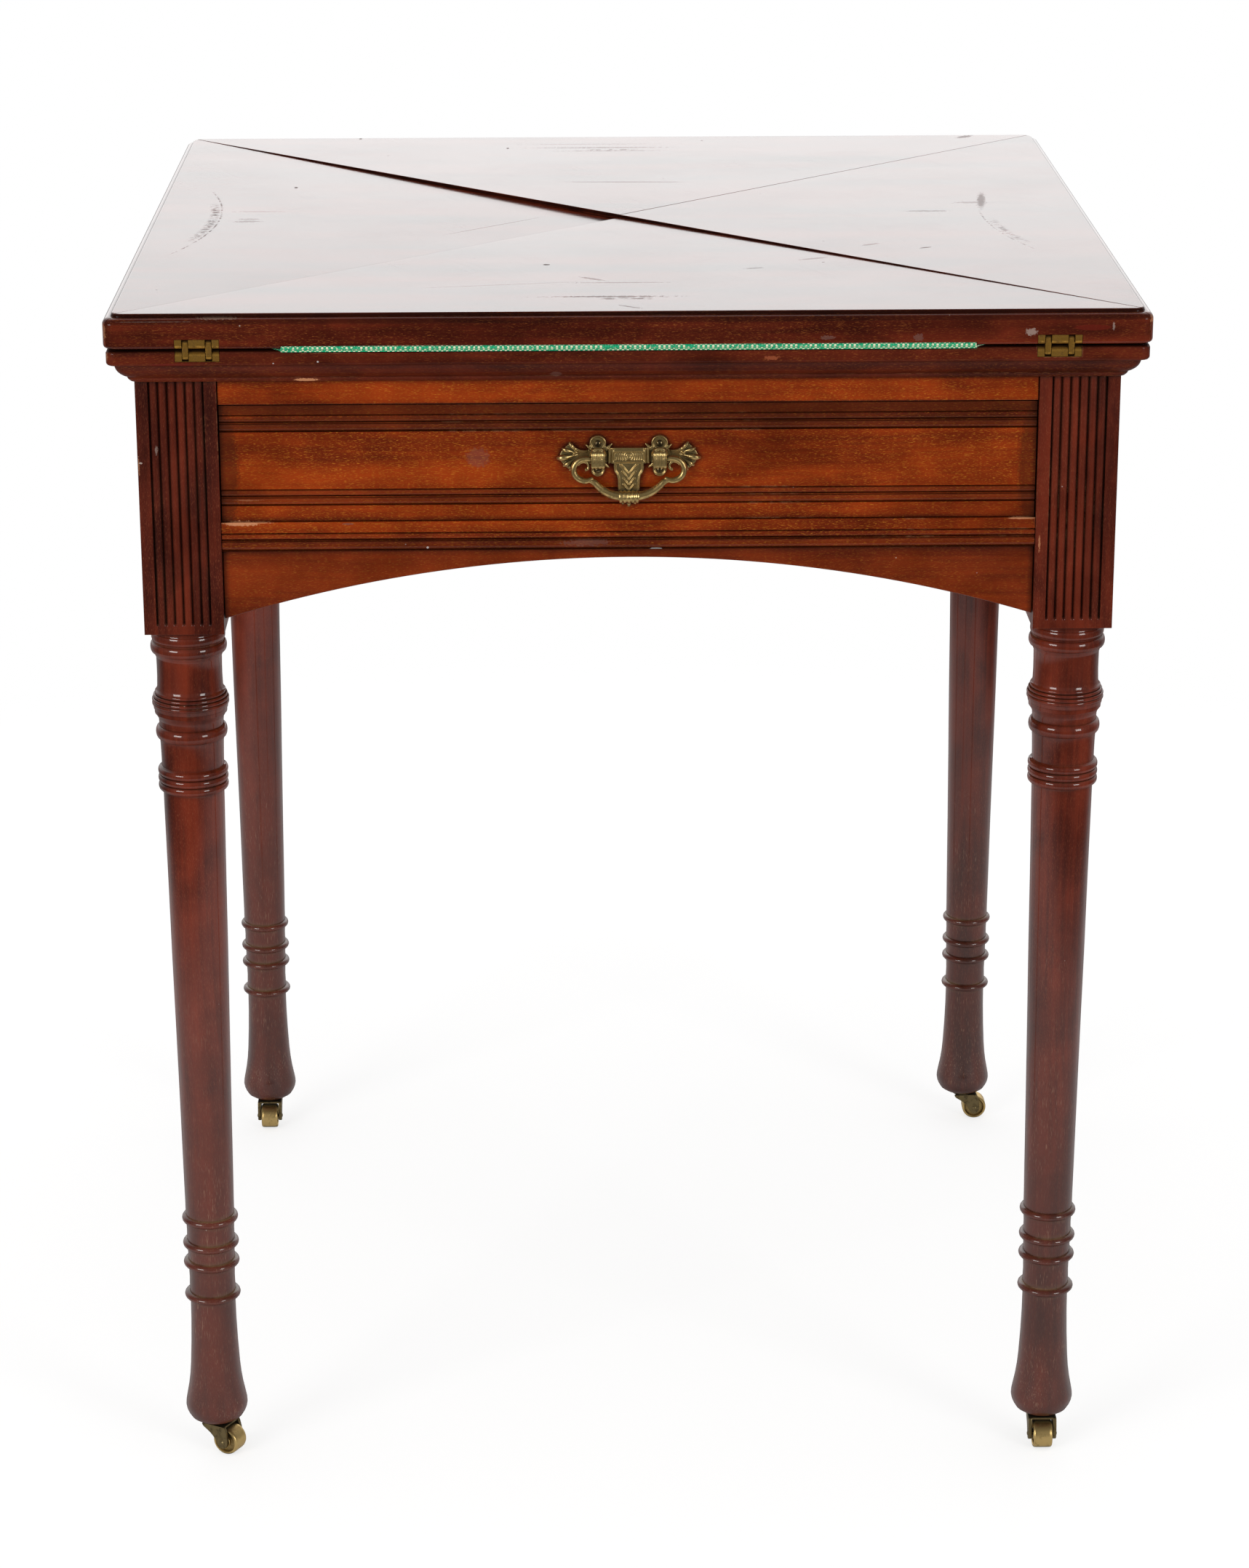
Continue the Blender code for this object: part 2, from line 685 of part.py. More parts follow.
def rounded_slab(name, half, low, high, under_steps, upper_steps):
    """Make a square slab with round corners, then mould its upper and lower edges by insets."""
    shape = bmesh.new()
    place = Matrix.Translation((0, 0, (low + high) / 2))
    size = Matrix.Diagonal((2 * half, 2 * half, high - low, 1.0))
    bmesh.ops.create_cube(shape, size=1.0, matrix=place @ size)
    upright = [edge for edge in shape.edges if abs(edge.verts[0].co.z - edge.verts[1].co.z) > SEAT_GAP]
    bmesh.ops.bevel(
        shape,
        geom=upright,
        offset=TOP_CORNER_RADIUS,
        offset_type="OFFSET",
        segments=ARRIS_STEPS,
        profile=0.5,
        affect="EDGES",
        clamp_overlap=True,
    )
    for direction, steps in ((-1, under_steps), (1, upper_steps)):
        shape.faces.ensure_lookup_table()
        shape.normal_update()
        face = max(shape.faces, key=lambda side: side.normal.z * direction + side.calc_area())
        for inward, outward in steps:
            bmesh.ops.inset_region(
                shape,
                faces=[face],
                thickness=inward,
                depth=outward,
                use_even_offset=True,
                use_boundary=True,
            )
    return object_from_bmesh(shape, name)


def round_steps(radius, count):
    """Split a quarter round into insets, each a pair of inward and outward steps."""
    steps = []
    for index in range(count):
        start = QUARTER_TURN * index / count
        end = QUARTER_TURN * (index + 1) / count
        inward = radius * (math.cos(start) - math.cos(end))
        outward = radius * (math.sin(end) - math.sin(start))
        steps.append((inward, outward))
    return steps


def flap_wedge(name, low, high, trim):
    """Make the three-cornered prism that holds the front flap, drawn in from both seams."""
    reach = TOP_HALF + CUT_OVERRUN
    tip = -trim * math.sqrt(2.0)
    outline = [(-reach, tip - reach), (reach, tip - reach), (0.0, tip)]
    return board(name, outline, low, high, PLANE_XY)


def cloth_outline(reach, margin=0.0):
    """Outline the octagon of cloth on the board, with its corner cuts moved out by a margin."""
    edge = BOARD_HALF - CLOTH_SETBACK
    short = 2 * edge - CLOTH_CORNER_CUT + margin * math.sqrt(2.0) - reach
    return [
        (-short, -reach), (short, -reach), (reach, -short), (reach, short),
        (short, reach), (-short, reach), (-reach, short), (-reach, -short),
    ]


def flap_cloth_outline(reach, margin=0.0):
    """Outline the triangle of cloth on the front flap, whose sides carry on from the octagon's cuts."""
    edge = BOARD_HALF - CLOTH_SETBACK
    side = edge - CLOTH_CORNER_CUT + margin
    tip = CLOTH_CORNER_CUT - margin * math.sqrt(2.0)
    return [(-side, -reach), (side, -reach), (side, -tip - side), (0.0, -tip), (-side, -tip - side)]


def hinge_places():
    """Give the middle of each hinge along the front edge."""
    place = TOP_HALF - HINGE_FROM_CORNER
    return (-place, place)


def link_places(middle):
    """Give the middle of each link of a hinge."""
    return (middle - LINK_SPACING / 2, middle + LINK_SPACING / 2)


def hinge_slots(name, middle, face, play_level, up):
    """Make the tool for one hinge on the front edge: two link slots and the pin's bore across them."""
    pin_level = play_level + PIN_INSET * up
    slot_side = PIN_INSET + SEAT_GAP / 2
    low, high = sorted((play_level - CUT_OVERRUN * up, pin_level + slot_side * up))
    half = HINGE_LENGTH / 2
    tool = cylinder(
        name,
        (middle - half, -PIN_PLACE, pin_level),
        (middle + half, -PIN_PLACE, pin_level),
        PIN_RADIUS + SEAT_GAP,
        TINY_SIDES,
    )
    slot_half = LINK_WIDTH / 2 + SEAT_GAP
    for place in link_places(middle):
        slot = box(
            "link_slot",
            (place - slot_half, face - CUT_OVERRUN, low),
            (place + slot_half, -PIN_PLACE + slot_side, high),
        )
        combine(tool, cutter(slot), "UNION")
    return settle(tool)


def hinge_link(name, middle):
    """Make one hinge of the front edge: two links and the two pins that they turn on."""
    end_radius = PIN_INSET - SEAT_GAP
    pin_half = HINGE_LENGTH / 2 - SEAT_GAP
    upper = arc((-PIN_PLACE, FLAP_PIN_HEIGHT), end_radius, 0.0, math.pi, HALF_ROUND_STEPS)
    lower = arc((-PIN_PLACE, BOARD_PIN_HEIGHT), end_radius, math.pi, 2 * math.pi, HALF_ROUND_STEPS)
    near, far = [
        board(name, upper + lower, place - LINK_WIDTH / 2, place + LINK_WIDTH / 2, PLANE_YZ)
        for place in link_places(middle)
    ]
    combine(near, cutter(far), "UNION")
    for level in (BOARD_PIN_HEIGHT, FLAP_PIN_HEIGHT):
        pin = cylinder(
            "hinge_pin",
            (middle - pin_half, -PIN_PLACE, level),
            (middle + pin_half, -PIN_PLACE, level),
            PIN_RADIUS,
            TINY_SIDES,
        )
        combine(near, cutter(pin), "UNION")
    return settle(near)


def cove_points():
    """List the board's lower moulding, a hollow under the lip, as a turned profile of four sides."""
    corner = math.sqrt(2.0)
    lip_under = BOARD_TOP - LIP_HEIGHT
    outer = BOARD_HALF - LIP_UNDERCUT
    height = lip_under - BOARD_UNDER
    points = [(0.0, lip_under + CUT_OVERRUN), (outer * corner, lip_under + CUT_OVERRUN)]
    for index in range(COVE_STEPS + 1):
        angle = QUARTER_TURN * index / COVE_STEPS
        across = outer - COVE_WIDTH * math.sin(angle)
        points.append((across * corner, lip_under - height * (1.0 - math.cos(angle))))
    points.append((0.0, BOARD_UNDER))
    return points


def make_board(group):
    """Make the board that carries the flaps: a rounded lip over a cove, recessed for the cloth."""
    lip_under = BOARD_TOP - LIP_HEIGHT
    base = rounded_slab(
        "base_board",
        BOARD_HALF,
        lip_under + LIP_ROUND,
        BOARD_TOP - ARRIS_RADIUS,
        round_steps(LIP_ROUND, LIP_STEPS),
        round_steps(ARRIS_RADIUS, ARRIS_STEPS),
    )
    cove = turned("board_cove", cove_points(), SQUARE_SIDES)
    cove.rotation_euler.z = math.pi / 4
    combine(base, cutter(cove), "UNION")
    floor = BOARD_TOP - CLOTH_THICKNESS - SEAT_GAP
    outline = cloth_outline(BOARD_HALF + CUT_OVERRUN, SEAT_GAP)
    cut(base, cutter(board("cloth_recess", outline, floor, BOARD_TOP + CUT_OVERRUN, PLANE_XY)))
    for middle in hinge_places():
        pattern = hinge_slots("board_hinge_slots", middle, -BOARD_HALF, BOARD_TOP, -1)
        for quarter, side in enumerate(SIDES):
            cut(base, cutter(copy_round(pattern, "board_hinge_slots_" + side, quarter)))
        drop(pattern)
    head_seat = floor - SEAT_GAP - BOLT_HEAD_THICKNESS - SEAT_GAP
    bore = cylinder(
        "bolt_bore",
        (0, 0, BOARD_UNDER - CUT_OVERRUN),
        (0, 0, BOARD_TOP),
        BOLT_RADIUS + SEAT_GAP,
        ROUND_SIDES,
    )
    cut(base, cutter(bore))
    counterbore = cylinder(
        "bolt_counterbore",
        (0, 0, head_seat),
        (0, 0, BOARD_TOP),
        BOLT_HEAD_RADIUS + SEAT_GAP,
        ROUND_SIDES,
    )
    cut(base, cutter(counterbore))
    peg = peg_place(-SWIVEL_ANGLE / 2)
    socket_top = BOARD_UNDER + BOARD_THICKNESS / 2
    socket = cylinder(
        "peg_socket",
        (peg.x, peg.y, BOARD_UNDER - CUT_OVERRUN),
        (peg.x, peg.y, socket_top),
        PEG_RADIUS + SEAT_GAP,
        SMALL_SIDES,
    )
    cut(base, cutter(socket))
    part(base, RED_MAHOGANY)
    hang(base, group)

    outline = cloth_outline(BOARD_HALF - CLOTH_SETBACK)
    cloth = board("base_baize", outline, floor + SEAT_GAP, BOARD_TOP, PLANE_XY)
    part(cloth, GREEN_CLOTH)
    hang(cloth, group)

    stop = cylinder(
        "stop_peg",
        (peg.x, peg.y, socket_top - SEAT_GAP - PEG_LENGTH),
        (peg.x, peg.y, socket_top - SEAT_GAP),
        PEG_RADIUS,
        SMALL_SIDES,
    )
    part(stop, DRAWER_LINING, smooth=True)
    hang(stop, group)
    make_pivot_bolt(group, head_seat + SEAT_GAP)


def make_pivot_bolt(group, head_low):
    """Make the bolt on which the top turns, with its washer and nut under the pivot rail."""
    washer_top = TOP_RAIL_UNDER - SEAT_GAP
    washer_low = washer_top - WASHER_THICKNESS
    nut_top = washer_low - SEAT_GAP
    nut_low = nut_top - NUT_THICKNESS
    bolt_profile = [
        (0.0, head_low + BOLT_HEAD_THICKNESS),
        (BOLT_HEAD_RADIUS, head_low + BOLT_HEAD_THICKNESS),
        (BOLT_HEAD_RADIUS, head_low),
        (BOLT_RADIUS, head_low),
        (BOLT_RADIUS, nut_low),
        (0.0, nut_low),
    ]
    bolt = turned("pivot_bolt", bolt_profile, ROUND_SIDES)
    washer = ring("pivot_washer", washer_low, washer_top, BOLT_RADIUS + SEAT_GAP, WASHER_RADIUS, ROUND_SIDES)
    nut = cylinder("pivot_nut", (0, 0, nut_low), (0, 0, nut_top), NUT_RADIUS, NUT_SIDES)
    bore = cylinder(
        "nut_bore",
        (0, 0, nut_low - CUT_OVERRUN),
        (0, 0, nut_top + CUT_OVERRUN),
        BOLT_RADIUS + SEAT_GAP,
        ROUND_SIDES,
    )
    cut(nut, cutter(bore))
    for item in (bolt, washer, nut):
        part(item, STEEL, smooth=True)
        hang(item, group)


def ring(name, low, high, inner, outer, sides):
    """Make a flat ring."""
    profile = [(inner, high), (outer, high), (outer, low), (inner, low), (inner, high)]
    return turned(name, profile, sides)


def make_flaps(top):
    """Make the four flaps with their cloth and hinge links, each on its own pair of axes."""
    mould_round = MOULD_DROP - MOULD_QUIRK
    upper_steps = []
    for inward, outward in round_steps(mould_round, ARRIS_STEPS):
        upper_steps.append((inward * (MOULD_WIDTH - MOULD_QUIRK / 2) / mould_round, outward))
    upper_steps.append((MOULD_QUIRK / 2, MOULD_QUIRK))
    slab = rounded_slab(
        "flap_pattern",
        TOP_HALF,
        FLAP_UNDER + ARRIS_RADIUS,
        TABLE_HEIGHT - MOULD_DROP,
        round_steps(ARRIS_RADIUS, ARRIS_STEPS),
        upper_steps,
    )
    wedge = flap_wedge("flap_wedge", FLAP_UNDER - CUT_OVERRUN, TABLE_HEIGHT + CUT_OVERRUN, SEAM_GAP / 2)
    combine(slab, cutter(wedge), "INTERSECT")
    ceiling = FLAP_UNDER + CLOTH_THICKNESS + SEAT_GAP
    outline = flap_cloth_outline(TOP_HALF + CUT_OVERRUN, SEAT_GAP)
    recess = board("flap_cloth_recess", outline, FLAP_UNDER - CUT_OVERRUN, ceiling, PLANE_XY)
    cut(slab, cutter(recess))
    for middle in hinge_places():
        cut(slab, cutter(hinge_slots("flap_hinge_slots", middle, -TOP_HALF, FLAP_UNDER, 1)))
    settle(slab)
    outline = flap_cloth_outline(TOP_HALF - CLOTH_SETBACK)
    cloth = board("flap_baize_pattern", outline, FLAP_UNDER, ceiling - SEAT_GAP, PLANE_XY)
    left_link, right_link = [hinge_link("hinge_link_pattern", middle) for middle in hinge_places()]
    for quarter, side in enumerate(SIDES):
        turn = Matrix.Rotation(quarter * QUARTER_TURN, 3, "Z")
        board_axis = turn @ Vector((0.0, -PIN_PLACE, BOARD_PIN_HEIGHT))
        flap_axis = turn @ Vector((0.0, -PIN_PLACE, FLAP_PIN_HEIGHT))
        link_group = axis_empty("axis_link_" + side, board_axis, top)
        flap_group = axis_empty("axis_flap_" + side, flap_axis, link_group)
        members = (
            (slab, "flap_" + side, RED_MAHOGANY, flap_group),
            (cloth, "flap_baize_" + side, GREEN_CLOTH, flap_group),
            (left_link, "hinge_link_" + side + "_left", AGED_BRASS, link_group),
            (right_link, "hinge_link_" + side + "_right", AGED_BRASS, link_group),
        )
        for pattern, name, material, group in members:
            hang(part(copy_round(pattern, name, quarter), material), group)
    for pattern in (slab, cloth, left_link, right_link):
        drop(pattern)


# Drawer


def make_drawer(group):
    """Make the drawer: a beaded front, two grooved sides, a back and a bottom."""
    section = quirked_outline(
        DRAWER_FACE, DRAWER_FRONT_BACK, DRAWER_FRONT_BOTTOM, DRAWER_FRONT_TOP, DRAWER_QUIRK_SHARES,
    )
    front = board("drawer_front", section, -DRAWER_HALF, DRAWER_HALF, PLANE_YZ)
    inner = DRAWER_HALF - DRAWER_SIDE_THICKNESS
    side_start = DRAWER_FRONT_BACK + SEAT_GAP
    floor_half = inner + DRAWER_GROOVE_DEPTH - SEAT_GAP
    floor_top = DRAWER_FLOOR_UNDER + DRAWER_BOTTOM_THICKNESS
    floor_start = DRAWER_FRONT_BACK - DRAWER_GROOVE_DEPTH + SEAT_GAP
    groove = box(
        "floor_groove",
        (-inner - DRAWER_GROOVE_DEPTH, floor_start - SEAT_GAP, DRAWER_FLOOR_UNDER - SEAT_GAP),
        (inner + DRAWER_GROOVE_DEPTH, DRAWER_BACK_END + CUT_OVERRUN, floor_top + SEAT_GAP),
    )
    cutter(groove)
    cut(front, groove)
    for across, level, _ in handle_lobes():
        hole = cylinder(
            "pin_hole",
            (across, DRAWER_FACE - CUT_OVERRUN, level),
            (across, HANDLE_BACK + HANDLE_PIN_LENGTH + SEAT_GAP, level),
            HANDLE_PIN_RADIUS + SEAT_GAP,
            TINY_SIDES,
        )
        cut(front, cutter(hole))
    pieces = [(front, BROWN_MAHOGANY)]
    for name, low, high in (
        ("drawer_side_left", -DRAWER_HALF, -inner),
        ("drawer_side_right", inner, DRAWER_HALF),
    ):
        side = box(name, (low, side_start, DRAWER_FRONT_BOTTOM), (high, DRAWER_BACK_END, DRAWER_SIDE_TOP))
        cut(side, groove)
        pieces.append((side, DRAWER_LINING))
    back_half = inner - SEAT_GAP
    back_start = DRAWER_BACK_END - DRAWER_SIDE_THICKNESS
    back = box(
        "drawer_back",
        (-back_half, back_start, floor_top + SEAT_GAP),
        (back_half, DRAWER_BACK_END, DRAWER_SIDE_TOP),
    )
    pieces.append((back, DRAWER_LINING))
    floor = box(
        "drawer_bottom",
        (-floor_half, floor_start, DRAWER_FLOOR_UNDER),
        (floor_half, DRAWER_BACK_END, floor_top),
    )
    pieces.append((floor, DRAWER_LINING))
    for item, material in pieces:
        hang(part(item, material), group)


def palmette(side):
    """Outline the fan of five lobes at one end of the handle plate."""
    centre_x = PALMETTE_CENTRE_SHARE * HANDLE_HALF_WIDTH
    lobe = PALMETTE_LOBE_SHARE * (HANDLE_HALF_WIDTH - centre_x)
    lift = PALMETTE_LIFT_SHARE * HANDLE_HALF_WIDTH
    points = [(centre_x, -lobe)]
    for turn, reach in zip(PALMETTE_TURN_SHARES, PALMETTE_REACH_SHARES):
        angle = turn * 2 * math.pi
        length = reach * (HANDLE_HALF_WIDTH - centre_x) - lobe
        middle = (centre_x + length * math.cos(angle), lift + length * math.sin(angle))
        points += arc(middle, lobe, angle - LOBE_SWEEP, angle + LOBE_SWEEP, HALF_ROUND_STEPS)
    points.append((centre_x, lift + lobe))
    return [(side * across, HANDLE_HEIGHT + up) for across, up in points]


def stem_outline():
    """Outline the stem below the bar: broad at the top, waisted, and pointed at its foot."""
    top = HANDLE_HEIGHT - HANDLE_BAR_HEIGHT / 2 + SEAT_GAP
    foot = HANDLE_HEIGHT - HANDLE_STEM_LENGTH
    length = top - foot
    right = [
        (half_share * HANDLE_STEM_HALF, top - drop_share * length)
        for half_share, drop_share in STEM_SHARES
    ]
    left = [(-across, up) for across, up in reversed(right[:-1])]
    return right + left


def handle_lobes():
    """List the four round lobes that the handle is fixed by: place, level and radius."""
    lobes = []
    for across in (-HANDLE_POST_SPACING, HANDLE_POST_SPACING):
        lobes.append((across, HANDLE_HEIGHT + HANDLE_LOBE_RISE, HANDLE_LOBE_RADIUS))
        lobes.append((across, HANDLE_HEIGHT - HANDLE_SMALL_LOBE_DROP, HANDLE_SMALL_LOBE_RADIUS))
    return lobes


def make_handle(drawer, bail_group):
    """Make the cast handle plate with its posts and fixing pins, and the bail that hangs in it."""
    bar_half_height = HANDLE_BAR_HEIGHT / 2
    plate = box(
        "handle_plate",
        (-HANDLE_HALF_WIDTH * PALMETTE_CENTRE_SHARE, HANDLE_FACE, HANDLE_HEIGHT - bar_half_height),
        (HANDLE_HALF_WIDTH * PALMETTE_CENTRE_SHARE, HANDLE_BACK, HANDLE_HEIGHT + bar_half_height),
    )
    for across, level, radius in handle_lobes():
        start = (across, HANDLE_FACE, level)
        end = (across, HANDLE_BACK, level)
        combine(plate, cutter(cylinder("handle_lobe", start, end, radius, ROUND_SIDES)), "UNION")
        combine(plate, cutter(fixing_pin(across, level, radius * PIN_HEAD_SHARE)), "UNION")
    for place in (-HANDLE_POST_SPACING, HANDLE_POST_SPACING):
        post = box(
            "handle_post",
            (
                place - HANDLE_POST_WIDTH / 2,
                HANDLE_BACK - HANDLE_POST_REACH,
                HANDLE_HEIGHT - HANDLE_POST_HEIGHT / 2,
            ),
            (
                place + HANDLE_POST_WIDTH / 2,
                HANDLE_BACK - SEAT_GAP,
                HANDLE_HEIGHT + HANDLE_POST_HEIGHT / 2 - SEAT_GAP,
            ),
        )
        soften = post.modifiers.new("rounding", "BEVEL")
        soften.width = HANDLE_POST_ROUND
        soften.segments = 2
        combine(plate, cutter(post), "UNION")
    for side in (-1, 1):
        fan = board("palmette", palmette(side), HANDLE_FACE, HANDLE_BACK, PLANE_XZ)
        combine(plate, cutter(fan), "UNION")
    stem = board("handle_stem", stem_outline(), HANDLE_FACE, HANDLE_BACK, PLANE_XZ)
    combine(plate, cutter(stem), "UNION")
    bore_reach = HANDLE_POST_SPACING + HANDLE_POST_WIDTH / 2 + CUT_OVERRUN
    bore = cylinder(
        "bail_bore",
        (-bore_reach, BAIL_PLACE, HANDLE_HEIGHT),
        (bore_reach, BAIL_PLACE, HANDLE_HEIGHT),
        BAIL_ROD_RADIUS + BAIL_PLAY,
        SMALL_SIDES,
    )
    cut(plate, cutter(bore))
    hang(part(plate, AGED_BRASS, smooth=True), drawer)
    hang(part(make_bail(), AGED_BRASS, smooth=True), bail_group)


def fixing_pin(across, level, head_radius):
    """Make one round-headed pin of the handle, which points into the drawer front."""
    root = -HANDLE_THICKNESS / 2
    tip = -HANDLE_THICKNESS - HANDLE_PIN_LENGTH
    profile = [
        (across_share * head_radius, up_share * PIN_HEAD_HEIGHT)
        for across_share, up_share in PIN_DOME_SHARES
    ]
    profile += [
        (head_radius, root),
        (HANDLE_PIN_RADIUS, root),
        (HANDLE_PIN_RADIUS, tip),
        (0.0, tip),
    ]
    item = turned("fixing_pin", profile, TINY_SIDES)
    place = Matrix.Translation((across, HANDLE_FACE, level)) @ Matrix.Rotation(QUARTER_TURN, 4, "X")
    item.data.transform(place)
    return item


def smooth_path(points, steps):
    """Run a Catmull-Rom curve through a list of points."""
    path = []
    for index in range(len(points) - 1):
        before = points[max(index - 1, 0)]
        start = points[index]
        end = points[index + 1]
        after = points[min(index + 2, len(points) - 1)]
        for step in range(steps):
            t = step / steps
            path.append(
                0.5 * (
                    2 * start
                    + (end - before) * t
                    + (2 * before - 5 * start + 4 * end - after) * t ** 2
                    + (3 * start - before - 3 * end + after) * t ** 3
                )
            )
    path.append(points[-1])
    return path


def make_bail():
    """Make the bail: a pin in each post, an open ring beside it, and a bow with a swelling at its middle."""
    tip = HANDLE_POST_SPACING - HANDLE_POST_WIDTH / 2
    ring_middle = HANDLE_HEIGHT - BAIL_RING_RADIUS
    path = [Vector((tip, BAIL_PLACE, HANDLE_HEIGHT))]
    ring_path = arc(
        (BAIL_RING_PLACE, ring_middle),
        BAIL_RING_RADIUS,
        QUARTER_TURN,
        -QUARTER_TURN,
        BAIL_RING_STEPS,
    )
    path += [Vector((across, BAIL_PLACE, up)) for across, up in ring_path]
    bow_top = ring_middle - BAIL_RING_RADIUS
    bow_drop = BAIL_DROP - 2 * BAIL_RING_RADIUS
    bow = [path[-1]]
    for across_share, drop_share in BOW_SHARES:
        across = across_share * BAIL_RING_PLACE
        bow.append(Vector((across, BAIL_PLACE, bow_top - drop_share * bow_drop)))
    path += smooth_path(bow, BAIL_BOW_STEPS)[1:]
    full = path + [Vector((-spot.x, spot.y, spot.z)) for spot in reversed(path[:-1])]
    swell = [
        BAIL_CLASP_SHARE if abs(spot.x) < BAIL_CLASP_HALF and spot.z < bow_top else 1.0
        for spot in full
    ]
    return rod("handle_bail", full, BAIL_ROD_RADIUS, 2, swell)


# Casters


def make_wheel_pattern():
    """Make a wheel with dished sides, its axis along Y and a flat of its rim facing down."""
    half = WHEEL_WIDTH / 2
    web = half - WHEEL_DISH
    bore = AXLE_RADIUS + SEAT_GAP
    rim = WHEEL_RADIUS - WHEEL_RIM
    profile = [
        (bore, half),
        (WHEEL_HUB_RADIUS, half),
        (WHEEL_HUB_RADIUS, web),
        (rim, web),
        (rim, half),
        (WHEEL_RADIUS, half),
        (WHEEL_RADIUS, -half),
        (rim, -half),
        (rim, -web),
        (WHEEL_HUB_RADIUS, -web),
        (WHEEL_HUB_RADIUS, -half),
        (bore, -half),
        (bore, half),
    ]
    wheel = turned("wheel_pattern", profile, WHEEL_SIDES)
    step = Matrix.Rotation(math.pi / WHEEL_SIDES, 4, "Z")
    wheel.data.transform(Matrix.Rotation(QUARTER_TURN, 4, "X") @ step)
    return wheel


def make_fork_pattern():
    """Make a caster fork about its swivel axis, trailing along +X: crown, two horns and stem."""
    outer = WHEEL_WIDTH / 2 + CHEEK_GAP + CHEEK_THICKNESS
    inner = outer - CHEEK_THICKNESS
    reach = CASTER_TRAIL + CHEEK_END_RADIUS / 2
    fork = box("fork_pattern", (-CROWN_BACK, -outer, CROWN_UNDER), (reach, outer, CROWN_TOP))
    waist = (CROWN_UNDER + AXLE_HEIGHT + CROWN_THICKNESS) / 2
    horn_top = (CROWN_UNDER + CROWN_TOP) / 2
    horn = [
        (-CROWN_BACK, CROWN_UNDER),
        (-CROWN_BACK / 2, CROWN_UNDER - CROWN_THICKNESS / 2),
        (CASTER_TRAIL * CHEEK_WAIST_SHARE, waist),
    ]
    horn += arc(
        (CASTER_TRAIL, AXLE_HEIGHT),
        CHEEK_END_RADIUS,
        CHEEK_END_START,
        CHEEK_END_FINISH,
        LONG_ARC_STEPS,
    )
    horn += [
        (reach + CHEEK_END_RADIUS / 2, waist),
        (reach, CROWN_UNDER),
        (reach, horn_top),
        (-CROWN_BACK, horn_top),
    ]
    for low, high in ((inner, outer), (-outer, -inner)):
        combine(fork, cutter(board("fork_horn", horn, low, high, PLANE_XZ)), "UNION")
    stem_top = FOOT_BOTTOM + STEM_LENGTH - SEAT_GAP
    stem = cylinder("fork_stem", (0, 0, CROWN_UNDER), (0, 0, stem_top), STEM_RADIUS, SMALL_SIDES)
    combine(fork, cutter(stem), "UNION")
    bore = cylinder(
        "axle_bore",
        (CASTER_TRAIL, -outer - CUT_OVERRUN, AXLE_HEIGHT),
        (CASTER_TRAIL, outer + CUT_OVERRUN, AXLE_HEIGHT),
        AXLE_RADIUS + SEAT_GAP,
        SMALL_SIDES,
    )
    cut(fork, cutter(bore))
    settle(fork)
    axle = cylinder(
        "axle_pattern",
        (CASTER_TRAIL, -outer, AXLE_HEIGHT),
        (CASTER_TRAIL, outer, AXLE_HEIGHT),
        AXLE_RADIUS,
        SMALL_SIDES,
    )
    return fork, axle


def make_casters():
    """Make the four casters, each with its fork, axle and wheel, and the plates under the feet."""
    fork, axle = make_fork_pattern()
    wheel = make_wheel_pattern()
    for quarter, corner in enumerate(CORNERS):
        side = Matrix.Rotation(quarter * QUARTER_TURN, 3, "Z") @ Vector((-LEG_PLACE, -LEG_PLACE, 0.0))
        heading = CASTER_HEADINGS[corner]
        swivel = axis_empty("axis_swivel_" + corner, side)
        swivel.rotation_euler.z = heading
        trail = Matrix.Rotation(heading, 3, "Z") @ Vector((CASTER_TRAIL, 0.0, 0.0))
        hub = side + trail + Vector((0.0, 0.0, AXLE_HEIGHT))
        roll = axis_empty("axis_wheel_" + corner, hub, swivel)
        for pattern, name in ((fork, "caster_fork_"), (axle, "caster_axle_")):
            piece = bpy.data.objects.new(name + corner, pattern.data.copy())
            piece.location = side
            piece.rotation_euler.z = heading
            hang(part(piece, AGED_BRASS, smooth=True), swivel)
        piece = bpy.data.objects.new("caster_wheel_" + corner, wheel.data.copy())
        piece.location = hub
        piece.rotation_euler.z = heading
        hang(part(piece, AGED_BRASS, smooth=True), roll)
        plate = ring(
            "caster_plate_" + corner,
            CASTER_PLATE_UNDER,
            CASTER_PLATE_TOP,
            STEM_RADIUS + SEAT_GAP,
            CASTER_PLATE_RADIUS,
            ROUND_SIDES,
        )
        plate.location = side
        part(plate, AGED_BRASS, smooth=True)
    for pattern in (fork, axle, wheel):
        drop(pattern)


def main():
    """Build the table, one named object for each sub-part."""
    make_legs()
    make_front_frame()
    make_panels()
    make_runners()
    make_pivot_rail()
    top = axis_empty("axis_top", (0.0, 0.0, BOARD_UNDER))
    make_board(top)
    make_flaps(top)
    drawer = axis_empty("axis_drawer", (0.0, DRAWER_FACE, LOWER_RAIL_TOP))
    make_drawer(drawer)
    bail = axis_empty("axis_bail", (0.0, BAIL_PLACE, HANDLE_HEIGHT), drawer)
    make_handle(drawer, bail)
    make_casters()


main()
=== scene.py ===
"""Fold-top game table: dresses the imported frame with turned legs, mouldings, brass, cloth and polish."""
import json
import math

import bmesh
import bpy
from mathutils import Matrix, Vector


